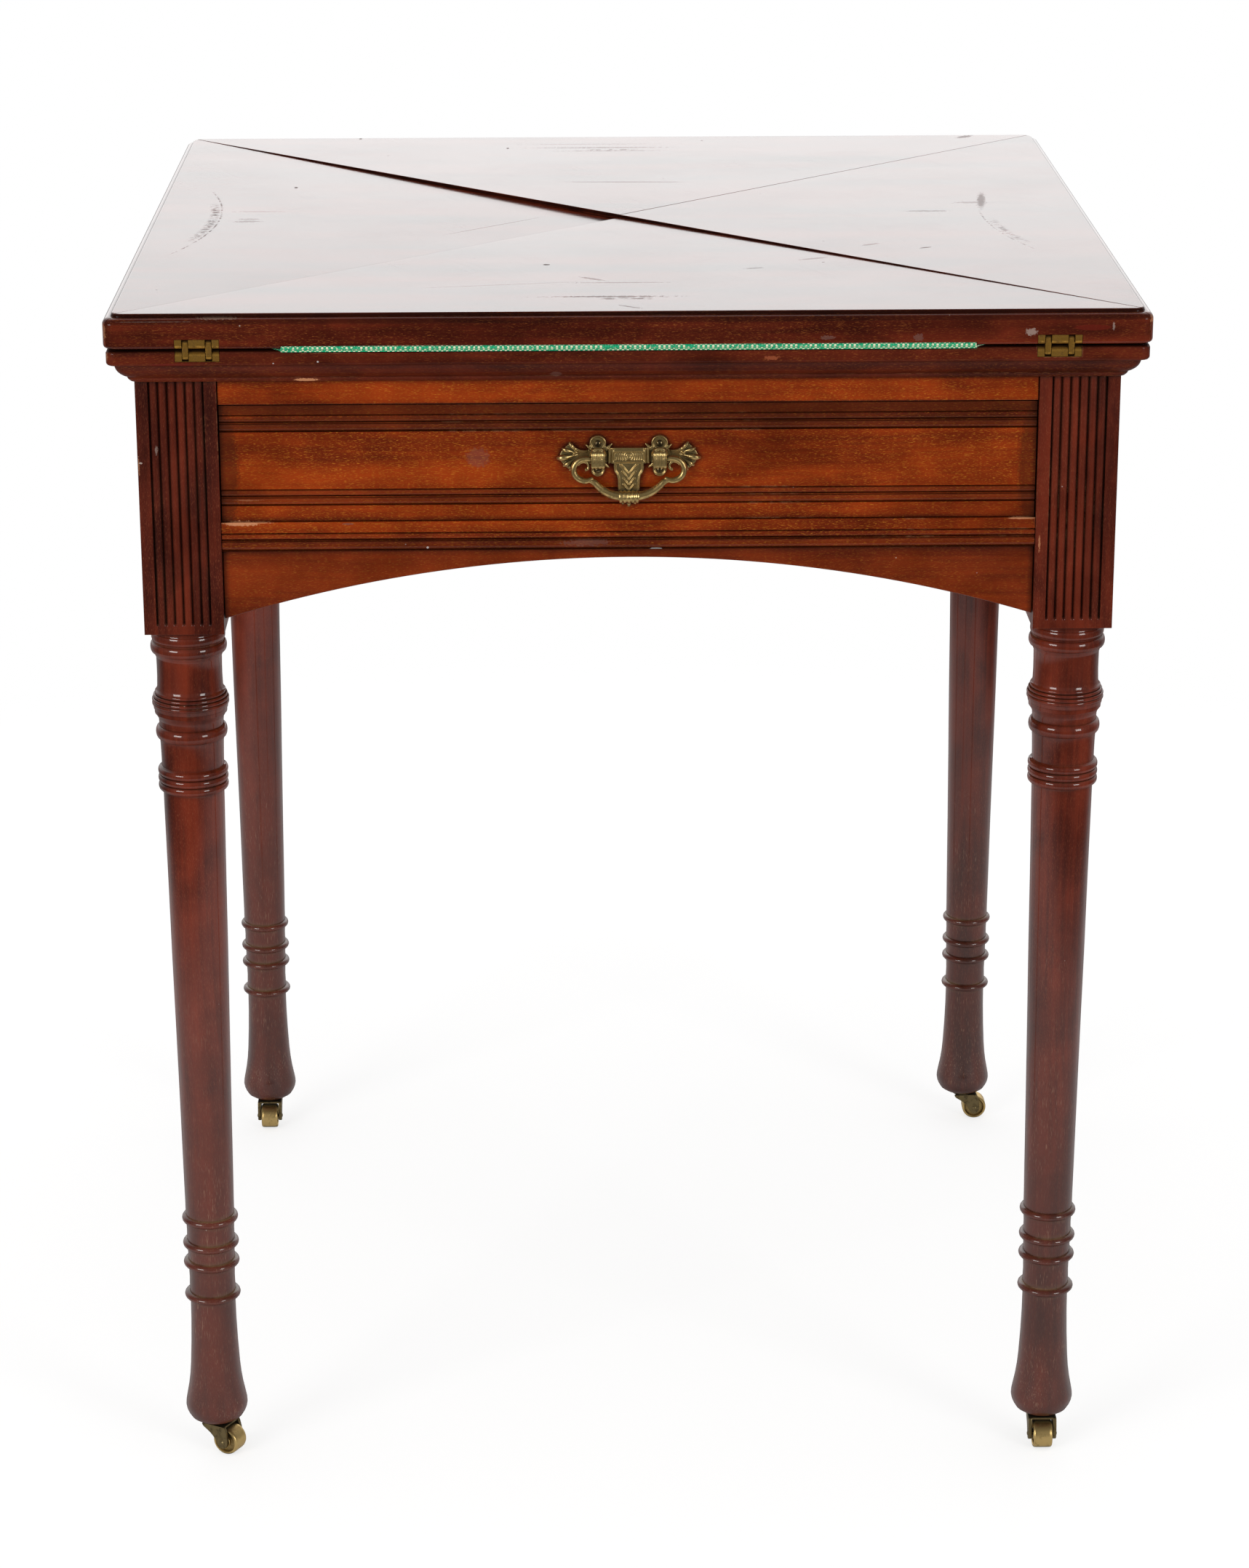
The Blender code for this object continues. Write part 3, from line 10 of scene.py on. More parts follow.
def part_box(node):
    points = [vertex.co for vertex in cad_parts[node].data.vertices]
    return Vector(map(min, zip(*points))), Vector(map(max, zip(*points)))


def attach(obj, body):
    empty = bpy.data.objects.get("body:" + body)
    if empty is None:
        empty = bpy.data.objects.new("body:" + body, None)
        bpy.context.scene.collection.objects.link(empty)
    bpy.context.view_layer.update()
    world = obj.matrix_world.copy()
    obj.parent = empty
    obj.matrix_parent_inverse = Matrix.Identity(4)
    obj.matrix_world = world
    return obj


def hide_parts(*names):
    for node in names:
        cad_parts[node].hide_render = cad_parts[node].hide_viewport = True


bl_info = {
    "name": "Fold-top game table",
    "version": (1, 0, 0),
    "blender": (4, 5, 0),
    "location": "3D View > Sidebar > Game table",
    "description": "Builds the visible pieces of a fold-top game table around its packed frame",
    "category": "Add Mesh",
}

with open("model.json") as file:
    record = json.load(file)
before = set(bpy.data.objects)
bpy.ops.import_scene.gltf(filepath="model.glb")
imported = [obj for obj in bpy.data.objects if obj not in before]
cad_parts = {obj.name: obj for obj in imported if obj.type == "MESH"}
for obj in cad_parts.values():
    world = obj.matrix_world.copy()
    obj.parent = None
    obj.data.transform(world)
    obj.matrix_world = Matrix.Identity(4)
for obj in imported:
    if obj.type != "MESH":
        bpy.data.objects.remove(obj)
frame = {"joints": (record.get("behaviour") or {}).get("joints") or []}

SIDES = ("front", "right", "back", "left")
CORNERS = ("front_left", "front_right", "back_right", "back_left")
QUARTER = math.pi / 2

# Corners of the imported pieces' boxes, and places worked out from them, in metres
FLAP_LOW, FLAP_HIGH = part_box("flap_front")
BOARD_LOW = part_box("base_board")[0]
LEG_LOW, LEG_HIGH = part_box("leg_front_left")
DRAWER_LOW, DRAWER_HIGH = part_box("drawer_front")
RAIL_LOW, RAIL_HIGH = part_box("front_top_rail")
LOWER_LOW, LOWER_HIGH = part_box("front_lower_rail")
APRON_LOW, APRON_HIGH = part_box("front_apron")
PANEL_LOW, PANEL_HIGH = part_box("back_panel")
CLOTH_LOW, CLOTH_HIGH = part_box("base_baize")
FLAP_CLOTH_LOW, FLAP_CLOTH_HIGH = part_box("flap_baize_front")
LINK_LOW, LINK_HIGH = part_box("hinge_link_front_right")
WHEEL_LOW, WHEEL_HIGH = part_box("caster_wheel_front_right")
JOINTS = {joint["name"]: joint for joint in frame["joints"]}
TOP_HALF = -FLAP_LOW.y
BOARD_HALF = -BOARD_LOW.y
BLOCK_WIDTH = LEG_HIGH.x - LEG_LOW.x
LEG_AXIS = (LEG_LOW.x + LEG_HIGH.x) / 2
LINK_PIN = (-LINK_LOW.y - LINK_HIGH.y) / 2

# Where each board is cut from the timber, so that no two look alike, in metres
LEG_GRAIN_STEP = 0.37
RAIL_GRAIN = 0.3
LOWER_RAIL_GRAIN = 1.1
APRON_GRAIN = 1.9
PANEL_GRAIN = 3.5
PANEL_GRAIN_STEP = 0.8
DRAWER_GRAIN = 3.3
BOARD_GRAIN = 6.1
FLAP_GRAIN = 7.3
FLAP_GRAIN_STEP = 1.1

# Fits shared by the pieces, in metres
HAIR = 0.0001
JOIN_DISTANCE = 0.000004
OVERCUT = 0.002
BACK_FACING = 0.7
UNDER_FACING = 0.9
FINE_ROUND = 0.0004
SOFT_ROUND = 0.0008
MILLIMETRE = 0.001


def length_setting(name, description, default, low, high):
    """Give a setting that holds a length."""
    return bpy.props.FloatProperty(
        name=name, description=description, default=default, min=low, max=high, unit="LENGTH", precision=5,
    )


def colour_setting(name, description, default):
    """Give a setting that holds a linear colour."""
    return bpy.props.FloatVectorProperty(
        name=name, description=description, subtype="COLOR", default=default, min=0.0, max=1.0,
    )


class TableSizes(bpy.types.PropertyGroup):
    """Sizes of the table's details that a maker may want to change."""

    flap_dip_front: length_setting(
        "Front flap's dip", "How far the front flap's point has sunk", 0.0018, 0.0, 0.006,
    )
    flap_dip_right: length_setting(
        "Right flap's dip", "How far the right flap's point has sunk", 0.0001, 0.0, 0.006,
    )
    flap_dip_left: length_setting(
        "Left flap's dip", "How far the left flap's point has sunk", 0.0034, 0.0, 0.006,
    )
    reed_depth: length_setting(
        "Reed depth", "Depth of the grooves between the blocks' reeds", 0.0020, 0.0003, 0.003,
    )
    reed_rise: length_setting(
        "Reed rise", "How far each reed stands proud of its edges", 0.0010, 0.0, 0.002,
    )
    bead_quirk: length_setting(
        "Bead quirk", "Depth of the dark lines beside the drawer's beads", 0.0016, 0.0003, 0.003,
    )
    weave_pitch: length_setting(
        "Weave pitch", "Distance from one yarn of the cloth to the next", 0.0014, 0.0005, 0.004,
    )
    cast_fineness: length_setting(
        "Cast fineness", "Voxel that the brass handle is cast at", 0.00026, 0.0002, 0.001,
    )
    turning_sides: bpy.props.IntProperty(
        name="Turning sides", description="Facets round a turned leg", default=64, min=24, max=128,
    )


class TableColours(bpy.types.PropertyGroup):
    """Colours of the table's finishes."""

    red_dark: colour_setting(
        "Red mahogany, dark", "Dark streaks of the legs and edges", (0.038, 0.0050, 0.0024),
    )
    red_light: colour_setting(
        "Red mahogany, light", "Light streaks of the legs and edges", (0.200, 0.0260, 0.0085),
    )
    brown_dark: colour_setting(
        "Brown mahogany, dark", "Dark streaks of the drawer and rails", (0.100, 0.0095, 0.0010),
    )
    brown_light: colour_setting(
        "Brown mahogany, light", "Light streaks of the drawer and rails", (0.330, 0.0405, 0.0026),
    )
    lining: colour_setting("Lining", "Bare wood inside the drawer and under the top", (0.380, 0.200, 0.085))
    cloth: colour_setting("Cloth", "Green of the playing cloth", (0.0150, 0.500, 0.225))
    cloth_fleck: colour_setting(
        "Cloth fleck", "Cream of the yarns that show between the green ones", (0.86, 0.90, 0.62),
    )
    brass: colour_setting("Brass", "Rubbed brass on the handle's high parts", (0.76, 0.54, 0.22))
    brass_dark: colour_setting("Tarnish", "Tarnish in the brass's hollows", (0.055, 0.041, 0.018))


# Bench work: selecting, joining, cutting and copying


def take(*pieces):
    """Select these pieces alone, with the first as the active one."""
    bpy.ops.object.select_all(action="DESELECT")
    for piece in pieces:
        piece.select_set(True)
    bpy.context.view_layer.objects.active = pieces[0]


def added(name, operator, **settings):
    """Add one thing with an operator, with nothing else selected, and name it."""
    bpy.ops.object.select_all(action="DESELECT")
    operator(**settings)
    thing = bpy.context.object
    thing.name = name
    return thing


def edit(piece, mode="VERT"):
    """Go into edit mode on one piece with all of it selected."""
    take(piece)
    bpy.ops.object.mode_set(mode="EDIT")
    bpy.ops.mesh.select_mode(type=mode)
    bpy.ops.mesh.select_all(action="SELECT")


def done(piece):
    """Merge doubles, point the faces outwards and leave edit mode."""
    bpy.ops.mesh.select_all(action="SELECT")
    bpy.ops.mesh.remove_doubles(threshold=JOIN_DISTANCE)
    bpy.ops.mesh.normals_make_consistent(inside=False)
    bpy.ops.object.mode_set(mode="OBJECT")
    return piece


def pick(piece, kind, wanted):
    """In edit mode, select only the vertices, edges or faces for which wanted is true."""
    bpy.ops.mesh.select_all(action="DESELECT")
    mesh = bmesh.from_edit_mesh(piece.data)
    for element in getattr(mesh, kind):
        if wanted(element):
            element.select_set(True)
    mesh.select_flush_mode()
    bmesh.update_edit_mesh(piece.data)


def outline(name, points, closed=True):
    """Plot a chain of points from a circle's vertices, closed or open at its last point."""
    piece = added(name, bpy.ops.mesh.primitive_circle_add, vertices=len(points), radius=OVERCUT)
    for vertex, point in zip(piece.data.vertices, points):
        vertex.co = point
    if not closed:
        ends = {0, len(points) - 1}
        edit(piece, "EDGE")
        pick(piece, "edges", lambda edge: {vertex.index for vertex in edge.verts} == ends)
        bpy.ops.mesh.delete(type="EDGE")
        bpy.ops.object.mode_set(mode="OBJECT")
    return piece


def bar(name, points, way):
    """Draw an outline out along a vector into a solid bar."""
    piece = outline(name, points)
    edit(piece)
    bpy.ops.mesh.edge_face_add()
    bpy.ops.mesh.extrude_region_move(TRANSFORM_OT_translate={"value": way})
    return done(piece)


def block(name, low, high, round_width=0.0):
    """Make a squared block between two corners, with its edges eased."""
    size = Vector(high) - Vector(low)
    middle = (Vector(high) + Vector(low)) / 2
    piece = added(name, bpy.ops.mesh.primitive_cube_add, size=1.0)
    piece.data.transform(Matrix.Translation(middle) @ Matrix.Diagonal((*size, 1.0)))
    if round_width:
        ease(piece, round_width)
    return piece


def lathe(name, profile, centre, sides):
    """Turn a profile of radius and height pairs about an upright axis."""
    points = [(centre[0] + radius, centre[1], height) for radius, height in profile]
    piece = outline(name, points, closed=False)
    edit(piece)
    bpy.ops.mesh.spin(steps=sides, angle=2 * math.pi, center=(*centre, 0.0), axis=(0.0, 0.0, 1.0))
    return done(piece)


def in_metres(rows, shift=(0.0, 0.0, 0.0)):
    """Bring rows of millimetres to metres: a place, which may be shifted, and then a radius."""
    return [tuple((value + extra) * MILLIMETRE for value, extra in zip(row, (*shift, 0.0))) for row in rows]


def arc(centre, radius, start, finish, steps):
    """List points along a round, with angles in degrees."""
    points = []
    for index in range(steps + 1):
        angle = math.radians(start + (finish - start) * index / steps)
        points.append((centre[0] + radius * math.cos(angle), centre[1] + radius * math.sin(angle)))
    return points


def apply(piece, kind, **settings):
    """Add a modifier with its settings and apply it."""
    modifier = piece.modifiers.new(kind.lower(), kind)
    for name, value in settings.items():
        setattr(modifier, name, value)
    take(piece)
    bpy.ops.object.modifier_apply(modifier=modifier.name)
    return piece


def ease(piece, width, segments=2, angle=40.0):
    """Round the edges of a piece that are sharper than an angle in degrees."""
    limit = math.radians(angle)
    return apply(piece, "BEVEL", width=width, segments=segments, limit_method="ANGLE", angle_limit=limit)


def discard(*things):
    """Take patterns and tools away again."""
    for thing in things:
        bpy.data.objects.remove(thing)


def carve(piece, tool, operation="DIFFERENCE"):
    """Cut a tool out of a piece, or weld it on, and put the tool away."""
    apply(piece, "BOOLEAN", object=tool, operation=operation, solver="EXACT")
    discard(tool)
    return piece


def joined(name, pieces):
    """Join pieces into one object."""
    take(*pieces)
    bpy.ops.object.join()
    piece = bpy.context.object
    piece.name = name
    return piece


def polish(piece, angle=35.0):
    """Shade a piece smooth, with its sharp edges kept and its broad faces flat."""
    take(piece)
    bpy.ops.object.shade_smooth_by_angle(angle=math.radians(angle))
    return apply(piece, "WEIGHTED_NORMAL", keep_sharp=True)


def copied(piece, name, matrix=None):
    """Copy a piece with its own mesh, moved by a matrix."""
    twin = piece.copy()
    twin.data = piece.data.copy()
    twin.name = name
    bpy.context.scene.collection.objects.link(twin)
    if matrix is not None:
        twin.data.transform(matrix)
        if matrix.determinant() < 0:
            twin.data.flip_normals()
    return twin


def flowing(rows, steps=6):
    """Run a smooth curve through rows of place and radius."""
    spots = [Vector(row) for row in rows]
    curve = []
    for index in range(len(spots) - 1):
        before, start = spots[max(index - 1, 0)], spots[index]
        end, after = spots[index + 1], spots[min(index + 2, len(spots) - 1)]
        for step in range(steps):
            way = step / steps
            spot = 2 * start + (end - before) * way
            spot += (2 * before - 5 * start + 4 * end - after) * way ** 2
            spot += (3 * start - before - 3 * end + after) * way ** 3
            curve.append(spot / 2)
    return curve + [spots[-1]]


def rod(name, rows, steps=6, fineness=3):
    """Draw a round rod along a smooth path, with its radius at each point."""
    spots = flowing(rows, steps)
    piece = outline(name, [spot[:3] for spot in spots], closed=False)
    take(piece)
    bpy.ops.object.convert(target="CURVE")
    piece = bpy.context.object
    line = piece.data.splines[0]
    if (line.points[0].co.xyz - spots[0].xyz).length > (line.points[-1].co.xyz - spots[0].xyz).length:
        spots.reverse()
    for point, spot in zip(line.points, spots):
        point.radius = spot.w
    piece.data.dimensions = "3D"
    piece.data.bevel_depth = 1.0
    piece.data.bevel_resolution = fineness
    piece.data.use_fill_caps = True
    bpy.ops.object.convert(target="MESH")
    piece = bpy.context.object
    edit(piece)
    return done(piece)


def boss(name, profile, place, sides=32):
    """Turn a profile of radius and reach, and set it facing the front at a place."""
    piece = lathe(name, profile, (0.0, 0.0), sides)
    piece.data.transform(Matrix.Translation(place) @ Matrix.Rotation(QUARTER, 4, "X"))
    return piece


def mirrored(piece, name):
    """Copy a piece to the other side of the middle."""
    return copied(piece, name, Matrix.Diagonal((-1.0, 1.0, 1.0, 1.0)))


def cast(piece, fineness):
    """Cast joined pieces into one soft-edged body."""
    apply(piece, "REMESH", mode="VOXEL", voxel_size=fineness, use_smooth_shade=True)
    return apply(piece, "SMOOTH", factor=0.5, iterations=CAST_SMOOTHING)


def turned_to(side):
    """Give the quarter turn that brings the front side's pieces to another side."""
    return Matrix.Rotation(QUARTER * SIDES.index(side), 4, "Z")


def store(piece, name, values):
    """Store a list of numbers on a piece, three for each of its points."""
    place = piece.data.attributes.new(name, "FLOAT_VECTOR", "POINT")
    place.data.foreach_set("vector", values)


def lay_grain(piece, along, across, shift):
    """Store where each point lies in its board: along the grain, across it and through it."""
    along = Vector(along)
    across = Vector(across)
    through = along.cross(across)
    values = []
    for vertex in piece.data.vertices:
        spot = vertex.co
        values += [spot.dot(along) + shift, spot.dot(across) + shift, spot.dot(through) - shift]
    store(piece, "timber", values)


def fit(piece, body, slot, materials, *nodes):
    """Give a finished piece its finishes and its body, and hide the imported nodes that it stands for; its
    slot is not used.
    """
    piece.data.materials.clear()
    for material in materials if isinstance(materials, list) else [materials]:
        piece.data.materials.append(material)
    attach(piece, body)
    if nodes:
        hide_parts(*nodes)
    return piece


def back_faces(piece, wanted):
    """Give the faces for which wanted is true the piece's second finish."""
    for face in piece.data.polygons:
        face.material_index = 1 if wanted(face) else 0


# Finishes: the tree builder and the node groups that the materials share


class Wiring:
    """Adds nodes to one tree and joins them, so that a finish reads as a list of steps."""

    def __init__(self, tree):
        self.tree = tree

    def join(self, value, socket):
        """Link a socket to another, or set its value."""
        if isinstance(value, bpy.types.NodeSocket):
            self.tree.links.new(value, socket)
        else:
            socket.default_value = value

    def add(self, kind, sockets=(), **settings):
        """Add a node with its settings and sockets."""
        node = self.tree.nodes.new("ShaderNode" + kind)
        for name, value in settings.items():
            setattr(node, name, value)
        for name, value in dict(sockets).items():
            self.join(value, node.inputs[name])
        return node

    def maths(self, operation, *values):
        """Work out a number from others."""
        node = self.add("Math", operation=operation)
        for index, value in enumerate(values):
            self.join(value, node.inputs[index])
        return node.outputs[0]

    def times(self, product, *values):
        """Multiply numbers, one after the other."""
        for value in values:
            product = self.maths("MULTIPLY", product, value)
        return product

    def vectors(self, operation, *values):
        """Work out a vector from others."""
        node = self.add("VectorMath", operation=operation)
        for index, value in enumerate(values):
            self.join(value, node.inputs[index])
        return node.outputs["Value"] if operation in ("LENGTH", "DOT_PRODUCT") else node.outputs[0]

    def span(self, value, low, high, start=0.0, finish=1.0):
        """Map a range of values smoothly to another range, and hold it there."""
        node = self.add(
            "MapRange",
            {"Value": value, "From Min": low, "From Max": high, "To Min": start, "To Max": finish},
            interpolation_type="SMOOTHSTEP",
        )
        return node.outputs["Result"]

    def fade(self, value, low, high):
        """Fall smoothly from one to nothing over a range of values."""
        return self.span(value, low, high, 1.0, 0.0)

    def band(self, value, levels):
        """Rise to one and fall again, between four levels."""
        return self.times(self.span(value, *levels[:2]), self.fade(value, *levels[2:]))

    def stretched(self, vector, scale, turn=0.0):
        """Scale a place, and turn it about its third axis."""
        node = self.add("Mapping", {"Vector": vector, "Scale": scale, "Rotation": (0.0, 0.0, turn)})
        return node.outputs["Vector"]

    def noise(self, vector, scale=1.0, detail=2.0, roughness=0.5, distortion=0.0):
        """Read smooth noise at a place. A scale of three numbers draws it out along the axes."""
        if isinstance(scale, tuple):
            vector, scale = self.stretched(vector, scale), 1.0
        sockets = {
            "Vector": vector, "Scale": scale, "Detail": detail, "Roughness": roughness,
            "Distortion": distortion,
        }
        return self.add("TexNoise", sockets).outputs[0]

    def apart(self, vector):
        """Take a vector apart into X, Y and Z."""
        return self.add("SeparateXYZ", {"Vector": vector}).outputs

    def mix(self, factor, first, second, blend="MIX"):
        """Mix two colours."""
        node = self.add("Mix", data_type="RGBA", blend_type=blend)
        self.join(factor, node.inputs[0])
        self.join(first, node.inputs[6])
        self.join(second, node.inputs[7])
        return node.outputs[2]

    def tint(self, colour, tint, *mask):
        """Lay a tint over a colour, as strongly as the numbers of its mask multiply to."""
        return self.mix(self.times(*mask), colour, solid(tint))

    def bump(self, height, strength, distance):
        """Turn a height into a normal."""
        node = self.add("Bump", {"Strength": strength, "Distance": distance, "Height": height})
        return node.outputs["Normal"]

    def group(self, name, make, **sockets):
        """Place a shared group, which is made once, with this finish's own values."""
        tree = bpy.data.node_groups.get(name) or make(name)
        node = self.tree.nodes.new("ShaderNodeGroup")
        node.node_tree = tree
        for name, value in sockets.items():
            self.join(value, node.inputs[name.replace("_", " ")])
        return node.outputs


def solid(colour):
    """Give a colour its alpha."""
    return (*colour, 1.0)


def shaded(colour, share):
    """Darken a colour to a share of itself."""
    return tuple(channel * share for channel in colour)


def new_group(name, inputs, outputs):
    """Start a shared group with named sockets."""
    tree = bpy.data.node_groups.new(name, "ShaderNodeTree")
    kinds = {"vector": "NodeSocketVector", "colour": "NodeSocketColor", "value": "NodeSocketFloat"}
    for direction, sockets in (("INPUT", inputs), ("OUTPUT", outputs)):
        for socket, kind in sockets:
            tree.interface.new_socket(name=socket, in_out=direction, socket_type=kinds[kind])
    wires = Wiring(tree)
    entry = tree.nodes.new("NodeGroupInput").outputs
    leave = tree.nodes.new("NodeGroupOutput").inputs
    return tree, wires, entry, leave


def timber_group(name):
    """Mahogany: broad bands, fine streaks, a mottled figure and open pores along the grain."""
    tree, wires, entry, leave = new_group(
        name,
        (("Place", "vector"), ("Dark", "colour"), ("Light", "colour"), ("Pore", "colour"),
         ("Pore amount", "value"), ("Contrast", "value")),
        (("Color", "colour"), ("Height", "value")),
    )
    place = entry["Place"]
    wander = wires.noise(place, (5.0, 5.0, 5.0), detail=1.0)
    wander = wires.vectors("MULTIPLY", wander, (0.0, GRAIN_WANDER, GRAIN_WANDER))
    bent = wires.vectors("ADD", place, wander)
    band = wires.noise(bent, (1.3, 34.0, 34.0), detail=2.0, roughness=0.55)
    streak = wires.noise(bent, (7.0, 330.0, 330.0), detail=3.0, roughness=0.6)
    mottle = wires.noise(bent, (24.0, 62.0, 62.0), detail=2.0, distortion=0.6)
    figure = wires.maths("MULTIPLY_ADD", band, 0.50, wires.times(streak, 0.22))
    figure = wires.maths("MULTIPLY_ADD", mottle, 0.28, figure)
    figure = wires.maths("SUBTRACT", figure, 0.5)
    figure = wires.maths("MULTIPLY_ADD", figure, entry["Contrast"], 0.5)
    colour = wires.mix(wires.span(figure, 0.0, 1.0), entry["Dark"], entry["Light"])
    speck = wires.noise(bent, (480.0, 3800.0, 3800.0), detail=1.0)
    patch = wires.span(wires.noise(bent, (9.0, 40.0, 40.0), detail=1.0), 0.30, 0.62, 0.45, 1.0)
    pores = wires.times(wires.span(speck, 0.57, 0.72), patch)
    amount = wires.times(pores, entry["Pore amount"])
    wires.join(wires.mix(amount, colour, entry["Pore"]), leave["Color"])
    wires.join(wires.maths("SUBTRACT", wires.times(streak, 0.3), pores), leave["Height"])
    return tree


def age_and_shade_group(name):
    """Rubbed edges, a mask of the corners for wax, dust, tarnish and painted shade, and soft blotches of
    handling.
    """
    tree, wires, entry, leave = new_group(
        name,
        (("Place", "vector"), ("Edge width", "value"), ("Edge start", "value"), ("Corner depth", "value")),
        (("Edge", "value"), ("Arris", "value"), ("Corner", "value"), ("Blotch", "value")),
    )
    round_normal = wires.add("Bevel", {"Radius": entry["Edge width"]}, samples=4).outputs["Normal"]
    true_normal = wires.add("NewGeometry").outputs["Normal"]
    turn = wires.maths("SUBTRACT", 1.0, wires.vectors("DOT_PRODUCT", round_normal, true_normal))
    arris = wires.span(turn, 0.015, 0.14)
    rub = wires.noise(entry["Place"], 170.0, detail=4.0, roughness=0.7)
    broad = wires.noise(entry["Place"], 14.0, detail=2.0)
    where = wires.span(broad, entry["Edge start"], wires.maths("ADD", entry["Edge start"], 0.14))
    # The corner mask: how little of the room each spot sees, used for wax, dust, tarnish and painted shade
    open_air = wires.add("AmbientOcclusion", {"Distance": entry["Corner depth"]}, samples=6).outputs["AO"]
    wires.join(arris, leave["Arris"])
    wires.join(wires.times(arris, wires.span(rub, 0.42, 0.62), where), leave["Edge"])
    wires.join(wires.fade(open_air, 0.45, 0.98), leave["Corner"])
    wires.join(wires.noise(entry["Place"], 24.0, detail=4.0, roughness=0.65), leave["Blotch"])
    return tree


def scratch_group(name):
    """Fine scratches of use, as long thin hairs in three directions."""
    tree, wires, entry, leave = new_group(name, (("Place", "vector"),), (("Mask", "value"),))
    total = 0.0
    for turn, length, width in ((0.2, 14.0, 1500.0), (1.1, 22.0, 1300.0), (-0.75, 30.0, 1700.0)):
        turned = wires.stretched(entry["Place"], (1.0, 1.0, 1.0), turn)
        line = wires.noise(turned, (length, width, 1.0), detail=0.0)
        total = wires.maths("MAXIMUM", total, wires.span(line, 0.70, 0.78))
    wires.join(total, leave["Mask"])
    return tree


def mark_group(name):
    """One ragged spot: a chip, a scuff or a stain at a place on the piece."""
    tree, wires, entry, leave = new_group(
        name,
        (("Place", "vector"), ("Centre", "vector"), ("Reach", "vector"), ("Turn", "value"),
         ("Torn", "value")),
        (("Mask", "value"),),
    )
    sockets = {"Vector": entry["Place"], "Center": entry["Centre"], "Angle": wires.times(entry["Turn"], -1.0)}
    turned = wires.add("VectorRotate", sockets, rotation_type="Z_AXIS").outputs[0]
    away = wires.vectors("DIVIDE", wires.vectors("SUBTRACT", turned, entry["Centre"]), entry["Reach"])
    away = wires.maths("ADD", wires.vectors("LENGTH", away), entry["Torn"])
    wires.join(wires.fade(away, 0.8, 1.1), leave["Mask"])
    return tree


def marked(wires, marks):
    """Read the masks of a list of marks: each has a place, a reach, a turn, a raggedness and a strength."""
    place = own_place(wires)
    torn = wires.noise(place, 700.0, detail=3.0, roughness=0.7)
    torn = wires.maths("SUBTRACT", torn, 0.5)
    masks = []
    for centre, reach, turn, raggedness, strength in marks:
        edge = wires.times(torn, raggedness)
        mark = wires.group("Mark", mark_group, Place=place, Centre=centre, Reach=reach, Turn=turn, Torn=edge)
        masks.append(wires.times(mark["Mask"], strength))
    return masks


def painted(wires, colour, marks):
    """Lay rows of marks over a colour, each in its own tint."""
    spots = [(*in_metres((row[:3], row[3:6])), *row[6:9]) for row in marks]
    for mask, row in zip(marked(wires, spots), marks):
        colour = wires.tint(colour, row[9], mask)
    return colour


def flecks(wires, place, pitch, size, share):
    """Scatter small spots at random: their pitch, their size and the share of places that have one."""
    spots = wires.add("TexVoronoi", {"Vector": place, "Scale": 1.0 / pitch, "Randomness": 1.0})
    chosen = wires.add("SeparateColor", {"Color": spots.outputs["Color"]}).outputs["Red"]
    near = wires.fade(spots.outputs["Distance"], 0.6 * size / pitch, size / pitch)
    return wires.times(near, wires.maths("LESS_THAN", chosen, share))


def blank(name):
    """Start a material, with its wiring and its shader."""
    material = bpy.data.materials.new(name)
    material.use_nodes = True
    tree = material.node_tree
    shader = next(node for node in tree.nodes if node.type == "BSDF_PRINCIPLED")
    return material, Wiring(tree), shader


def dress(shader, wires, values):
    """Set or link the shader's sockets."""
    for name, value in values.items():
        wires.join(value, shader.inputs[name])


def own_place(wires, attribute=None):
    """Read a place that the piece stores, or its own coordinates."""
    if attribute:
        return wires.add("Attribute", attribute_name=attribute).outputs["Vector"]
    return wires.add("TexCoord").outputs["Object"]


# Wear, painted corner shade and relief of the finishes, in metres
GRAIN_WANDER = 0.012
EDGE_WIDTH = 0.0013
BARE_EDGE_WIDTH = 0.0012
BRASS_EDGE_WIDTH = 0.0007
WAX_AND_SHADE_DEPTH = 0.0045
LEG_WAX_AND_SHADE_DEPTH = 0.0034
TOP_WAX_AND_SHADE_DEPTH = 0.0035
CORNER_SHADE_DEPTH = 0.02
TARNISH_DEPTH = 0.0032
WOOD_RELIEF = 0.0004
TOP_RELIEF = 0.0003
CLOTH_RELIEF = 0.0003
METAL_RELIEF = 0.0002

# Levels on the legs between which the shafts grow darker towards the bottom, dust lies and the shine has gone
# dull
LOW_SHAFT_LEVELS = (0.10, 0.44)
DUST_LEVELS = (0.16, 0.42)
HAZE_LEVELS = (0.24, 0.47)
# Levels on the flaps: their polished skin, and the painted shade lines at the riser and at the shoulder
SKIN_LEVELS = (FLAP_HIGH.z - 0.0006, FLAP_HIGH.z - 0.0002)
RISER_LEVELS = (0.7386, 0.7391, 0.7406, 0.7409)
SHOULDER_LEVELS = (0.7350, 0.7362, 0.7377, 0.7384)

# Small pale spots: their pitch, their size and the share of places that have one
CHIPS = (0.012, 0.0005, 0.14)
TOP_CHIPS = (0.014, 0.0006, 0.12)
TOP_SPECKS = ((0.055, 0.0011, 0.30), (0.031, 0.0006, 0.35))

# Arcs that the frame's corners rub in the open flaps: radius, half width, half length and strength
RUB_ARCS = (
    (0.3472, 0.0010, 1.00, 1.0),
    (0.3430, 0.0042, 0.60, 0.75),
)
# How far each flap's arcs lie from those of the front one; then their middle, half length and strength
RUBS = {
    "front": (0.0, (0.0, 0.030, 0.9)),
    "right": (0.0245, (-0.060, 0.075, 0.55)),
    "back": (0.018, (0.0, 0.035, 0.8)),
    "left": (0.0, (0.0158, 0.118, 1.0)),
}

HAZE = 0.10
FAINT_HAZE = 0.06
SHAFT_HAZE = 0.30
LOW_SHAFT_SHARE = 0.45
RIM_SHARE = 0.25
BARE_DARK_SHARE = 0.45
